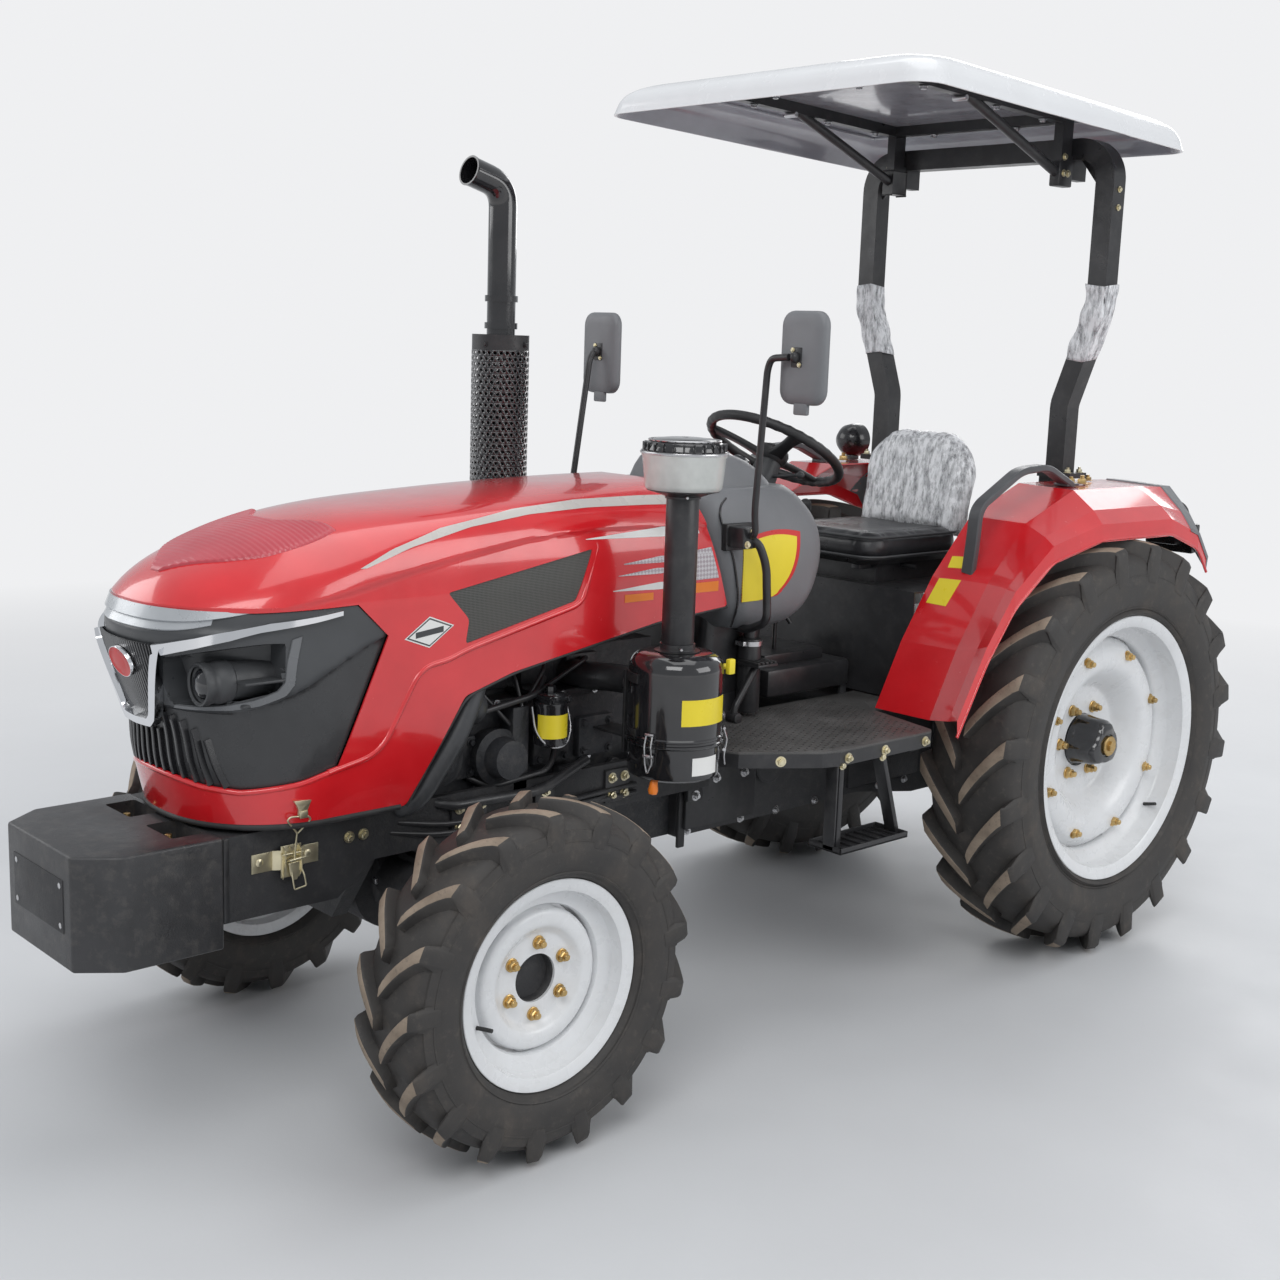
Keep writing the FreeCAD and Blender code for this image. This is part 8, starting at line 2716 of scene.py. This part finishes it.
def make_latch():
    """Wire latch on each side of the frame head, with its catch on the hood's rim."""
    frame_side = Build()
    wire = Build()
    catch = Build()
    for s in (-1, 1):
        for y0, y1 in ((-0.442, -0.392), (-0.320, -0.284)):
            frame_side.box(s * 0.2052, s * 0.2076, fy(y0), fy(y1), 0.594, 0.635, 0.0008)
        for foot, head in ((-0.394, -0.378), (-0.318, -0.332)):
            frame_side.prism([(s * 0.2052, fy(foot)), (s * 0.2076, fy(foot)), (s * 0.2170, fy(head)),
                              (s * 0.2146, fy(head))], 0.594, 0.636, "xy", 0.0004)
        frame_side.box(s * 0.2140, s * 0.2170, fy(-0.379), fy(-0.331), 0.576, 0.645, 0.0008)
        for y in (-0.374, -0.336):
            frame_side.prism([(s * 0.2160, 0.645), (s * 0.2270, 0.636), (s * 0.2300, 0.592),
                              (s * 0.2160, 0.572)],
                             fy(y - 0.0012), fy(y + 0.0012), "xz", 0.0004)
        frame_side.rod((s * 0.2235, fy(-0.380), 0.628), (s * 0.2235, fy(-0.330), 0.628), 0.0028, 12)
        for y in (-0.424, -0.310):
            frame_side.lathe([(0, 0), (0, 0.0085), (0.0012, 0.0085), (0.0030, 0.0060), (0.0036, 0)],
                             (s * 0.2072, fy(y), 0.616), (s, 0, 0), 18)
        wire.tube([(s * 0.2250, fy(-0.352), 0.612), (s * 0.2310, fy(-0.353), 0.645),
                   (s * 0.2400, fy(-0.3545), 0.676),
                   (s * 0.2628, fy(-0.391), 0.714), (s * 0.2640, fy(-0.384), 0.7205),
                   (s * 0.2640, fy(-0.343), 0.7165),
                   (s * 0.2628, fy(-0.335), 0.708), (s * 0.2405, fy(-0.3525), 0.676)], 0.0021, 8, 0.005)
        wire.rod((s * 0.2265, fy(-0.365), 0.614), (s * 0.2265, fy(-0.328), 0.616), 0.0032, 12)
        wire.tube([(s * 0.2240, fy(-0.358), 0.590), (s * 0.2285, fy(-0.357), 0.567),
                   (s * 0.2290, fy(-0.354), 0.550),
                   (s * 0.2290, fy(-0.326), 0.554), (s * 0.2285, fy(-0.330), 0.576),
                   (s * 0.2240, fy(-0.333), 0.590)],
                  0.0019, 8, 0.004)
        wire.prism([(fy(-0.366), 0.608), (fy(-0.334), 0.610), (fy(-0.338), 0.585), (fy(-0.346), 0.570),
                    (fy(-0.356), 0.570),
                    (fy(-0.362), 0.585)], s * 0.2225, s * 0.2255, "yz", 0.0008)
        outline = [(-0.377, 0.7535), (-0.335, 0.7505), (-0.340, 0.740), (-0.3445, 0.730), (-0.343, 0.7195),
                   (-0.367, 0.7210),
                   (-0.3655, 0.731), (-0.370, 0.742)]
        catch.prism([(fy(y), z) for y, z in outline], s * 0.2595, s * 0.2665, "yz", 0.0012)
        catch.prism([(s * 0.2600, 0.7295), (s * 0.2680, 0.7295), (s * 0.2680, 0.7140), (s * 0.2655, 0.7140),
                     (s * 0.2655, 0.7260),
                     (s * 0.2600, 0.7260)], fy(-0.364), fy(-0.346), "xz", 0.0005)
    frame_side.done("latch_plates", M["zinc"], angle=35)
    wire.done("latch_wires", M["zinc"], angle=60)
    catch.done("latch_catches", M["zinc"], "hood", angle=35)


def make_front():
    make_ballast()
    make_latch()
    b = Build()
    for s in (-1, 1):
        for y0, y1 in ((0.06, 0.16), (0.30, 0.36), (0.52, 0.60)):
            b.box(s * 0.204, s * 0.213, fy(y0), fy(y1), 0.585, 0.668, 0.003)
        b.box(s * 0.188, s * 0.2075, fy(-0.505), fy(-0.492), 0.503, 0.680, 0.002)
        b.tube([(s * 0.212, fy(0.62), 0.600), (s * 0.216, fy(0.30), 0.592), (s * 0.216, fy(0.02), 0.598),
                (s * 0.20, fy(-0.10), 0.62)],
               0.0065, 12, 0.05)
        b.tube([(s * 0.212, fy(0.62), 0.620), (s * 0.216, fy(0.30), 0.612), (s * 0.216, fy(0.04), 0.618),
                (s * 0.20, fy(-0.08), 0.64)],
               0.0065, 12, 0.05)
    b.done("frame_brackets", M["black"], angle=35)
    b = Build()
    for s in (-1, 1):
        for y in (0.08, 0.14, 0.33, 0.54, 0.58):
            for z in (0.605, 0.648):
                b.bolt((s * 0.213, fy(y), z), (s, 0, 0), 0.0085, 0.008, thread=0.005)
        for y in (-0.207, -0.171):
            b.bolt((s * 0.2055, fy(y), 0.632), (s, 0, 0), 0.0085, 0.008, thread=0.003)
    b.done("frame_bolts", M["zinc"], angle=35)
    # Front axle: covers, bolts, steering cylinder
    b = Build()
    b.lathe([(-0.060, 0), (-0.060, 0.072), (-0.048, 0.092), (-0.020, 0.098), (0.020, 0.098), (0.048, 0.092),
             (0.060, 0.072),
             (0.060, 0)], (0, FA, 0.470), (0, 1, 0), 40)
    for s in (-1, 1):
        b.lathe([(0, 0.052), (0, 0.064), (0.012, 0.066), (0.024, 0.066), (0.028, 0.052)],
                (s * 0.395, FA, 0.470), (s, 0, 0), 32, close=True)
        b.box(s * 0.10, s * 0.30, FA - 0.014, FA + 0.014, 0.515, 0.540, 0.006)
    b.rod((-0.13, FA + 0.082, 0.418), (0.13, FA + 0.082, 0.418), 0.024, 28)
    for s in (-1, 1):
        b.rod((s * 0.128, FA + 0.082, 0.418), (s * 0.145, FA + 0.082, 0.418), 0.019, 24)
    b.box(-0.05, 0.05, FA + 0.045, FA + 0.075, 0.395, 0.445, 0.005)
    b.done("axle_covers", M["casting"], angle=35)
    b = Build()
    for s in (-1, 1):
        for k in range(6):
            t = 2 * math.pi * k / 6
            b.bolt((s * 0.423, FA + 0.058 * math.cos(t), 0.470 + 0.058 * math.sin(t)), (s, 0, 0), 0.005,
                   0.004)
    for k in range(8):
        t = 2 * math.pi * k / 8
        b.bolt((0.082 * math.cos(t), FA - 0.054, 0.470 + 0.082 * math.sin(t)), (0, -1, 0.0), 0.006, 0.005)
    for s in (-1, 1):
        b.rod((s * 0.145, FA + 0.082, 0.418), (s * 0.165, FA + 0.082, 0.418), 0.010, 16)
    b.done("axle_bolts", M["steel"], angle=35)


def make_rear():
    b = Build()
    for s in (-1, 1):
        for k in range(8):
            t = 2 * math.pi * k / 8 + 0.2
            b.bolt((s * 0.4255, RA + 0.099 * math.cos(t), 0.600 + 0.099 * math.sin(t)), (s, 0, 0), 0.007,
                   0.006)
        for y in (-1.20, -1.0, -0.86, -0.70, -0.42, -0.30, 0.16):
            for z in (0.44, 0.72):
                b.bolt((s * 0.150, ry(y), z), (s, 0, 0), 0.008, 0.007, thread=0.003)
        for y in (-0.07, 0.05):
            b.bolt((s * 0.30, ry(y), 0.699), (0, 0, 1), 0.009, 0.009, thread=0.008)
    for k in range(6):
        t = 2 * math.pi * k / 6
        b.bolt((0.095 * math.cos(t), ry(0.235), 0.610 + 0.095 * math.sin(t)), (0, 1, 0), 0.007, 0.006)
    b.done("gearbox_bolts", M["steel"], angle=35)
    b = Build()
    for s in (-1, 1):
        for y in (-1.238, -0.62, -0.18):
            b.box(s * 0.147, s * 0.158, ry(y), ry(y + 0.024), 0.400, 0.765, 0.003)
        b.box(s * 0.147, s * 0.156, ry(-0.56), ry(-0.24), 0.45, 0.58, 0.006)
        b.lathe([(0, 0), (0, 0.050), (0.010, 0.056), (0.016, 0.050), (0.018, 0)],
                (s * 0.150, ry(-0.90), 0.58), (s, 0, 0), 32)
    b.box(-0.10, 0.10, ry(0.234), ry(0.246), 0.50, 0.72, 0.006)
    b.lathe([(0, 0.030), (0, 0.052), (0.045, 0.052), (0.045, 0.044), (0.006, 0.044), (0.006, 0.030)],
            (0, ry(0.24), 0.610), (0, 1, 0),
            32, close=True)
    b.box(-0.115, 0.115, ry(-0.30), ry(0.10), 0.868, 0.886,
          0.008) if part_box("gearbox_housing")[1][2] > 0.86 else None
    b.done("gearbox_ribs", M["casting"], angle=35)


def tread_mat():
    mat, tree, bsdf = material("tread_plate")
    cloud = noise_of(tree, 9.0, 8.0, 0.65)
    grit = noise_of(tree, 240.0, 4.0, 0.7)
    colour = ramp_of(tree, cloud, [(0.3, (0.05, 0.049, 0.048)), (0.7, (0.10, 0.098, 0.096))])
    link(tree, mix_of(tree, range_of(tree, grit, 0.0, 0.35, 0.5, 0.7), colour, (0.17, 0.16, 0.15)),
         bsdf.inputs["Base Color"])
    link(tree, range_of(tree, cloud, 0.4, 0.65, 0.3, 0.7), bsdf.inputs["Roughness"])
    link(tree, bump_of(tree, grit, 0.0007), bsdf.inputs["Normal"])
    return mat


CANOPY_TILT = math.degrees(math.atan(50 / 1180))
M["tread"] = tread_mat()
make_roll_bar()
make_canopy()
make_platform()
make_front()
make_rear()
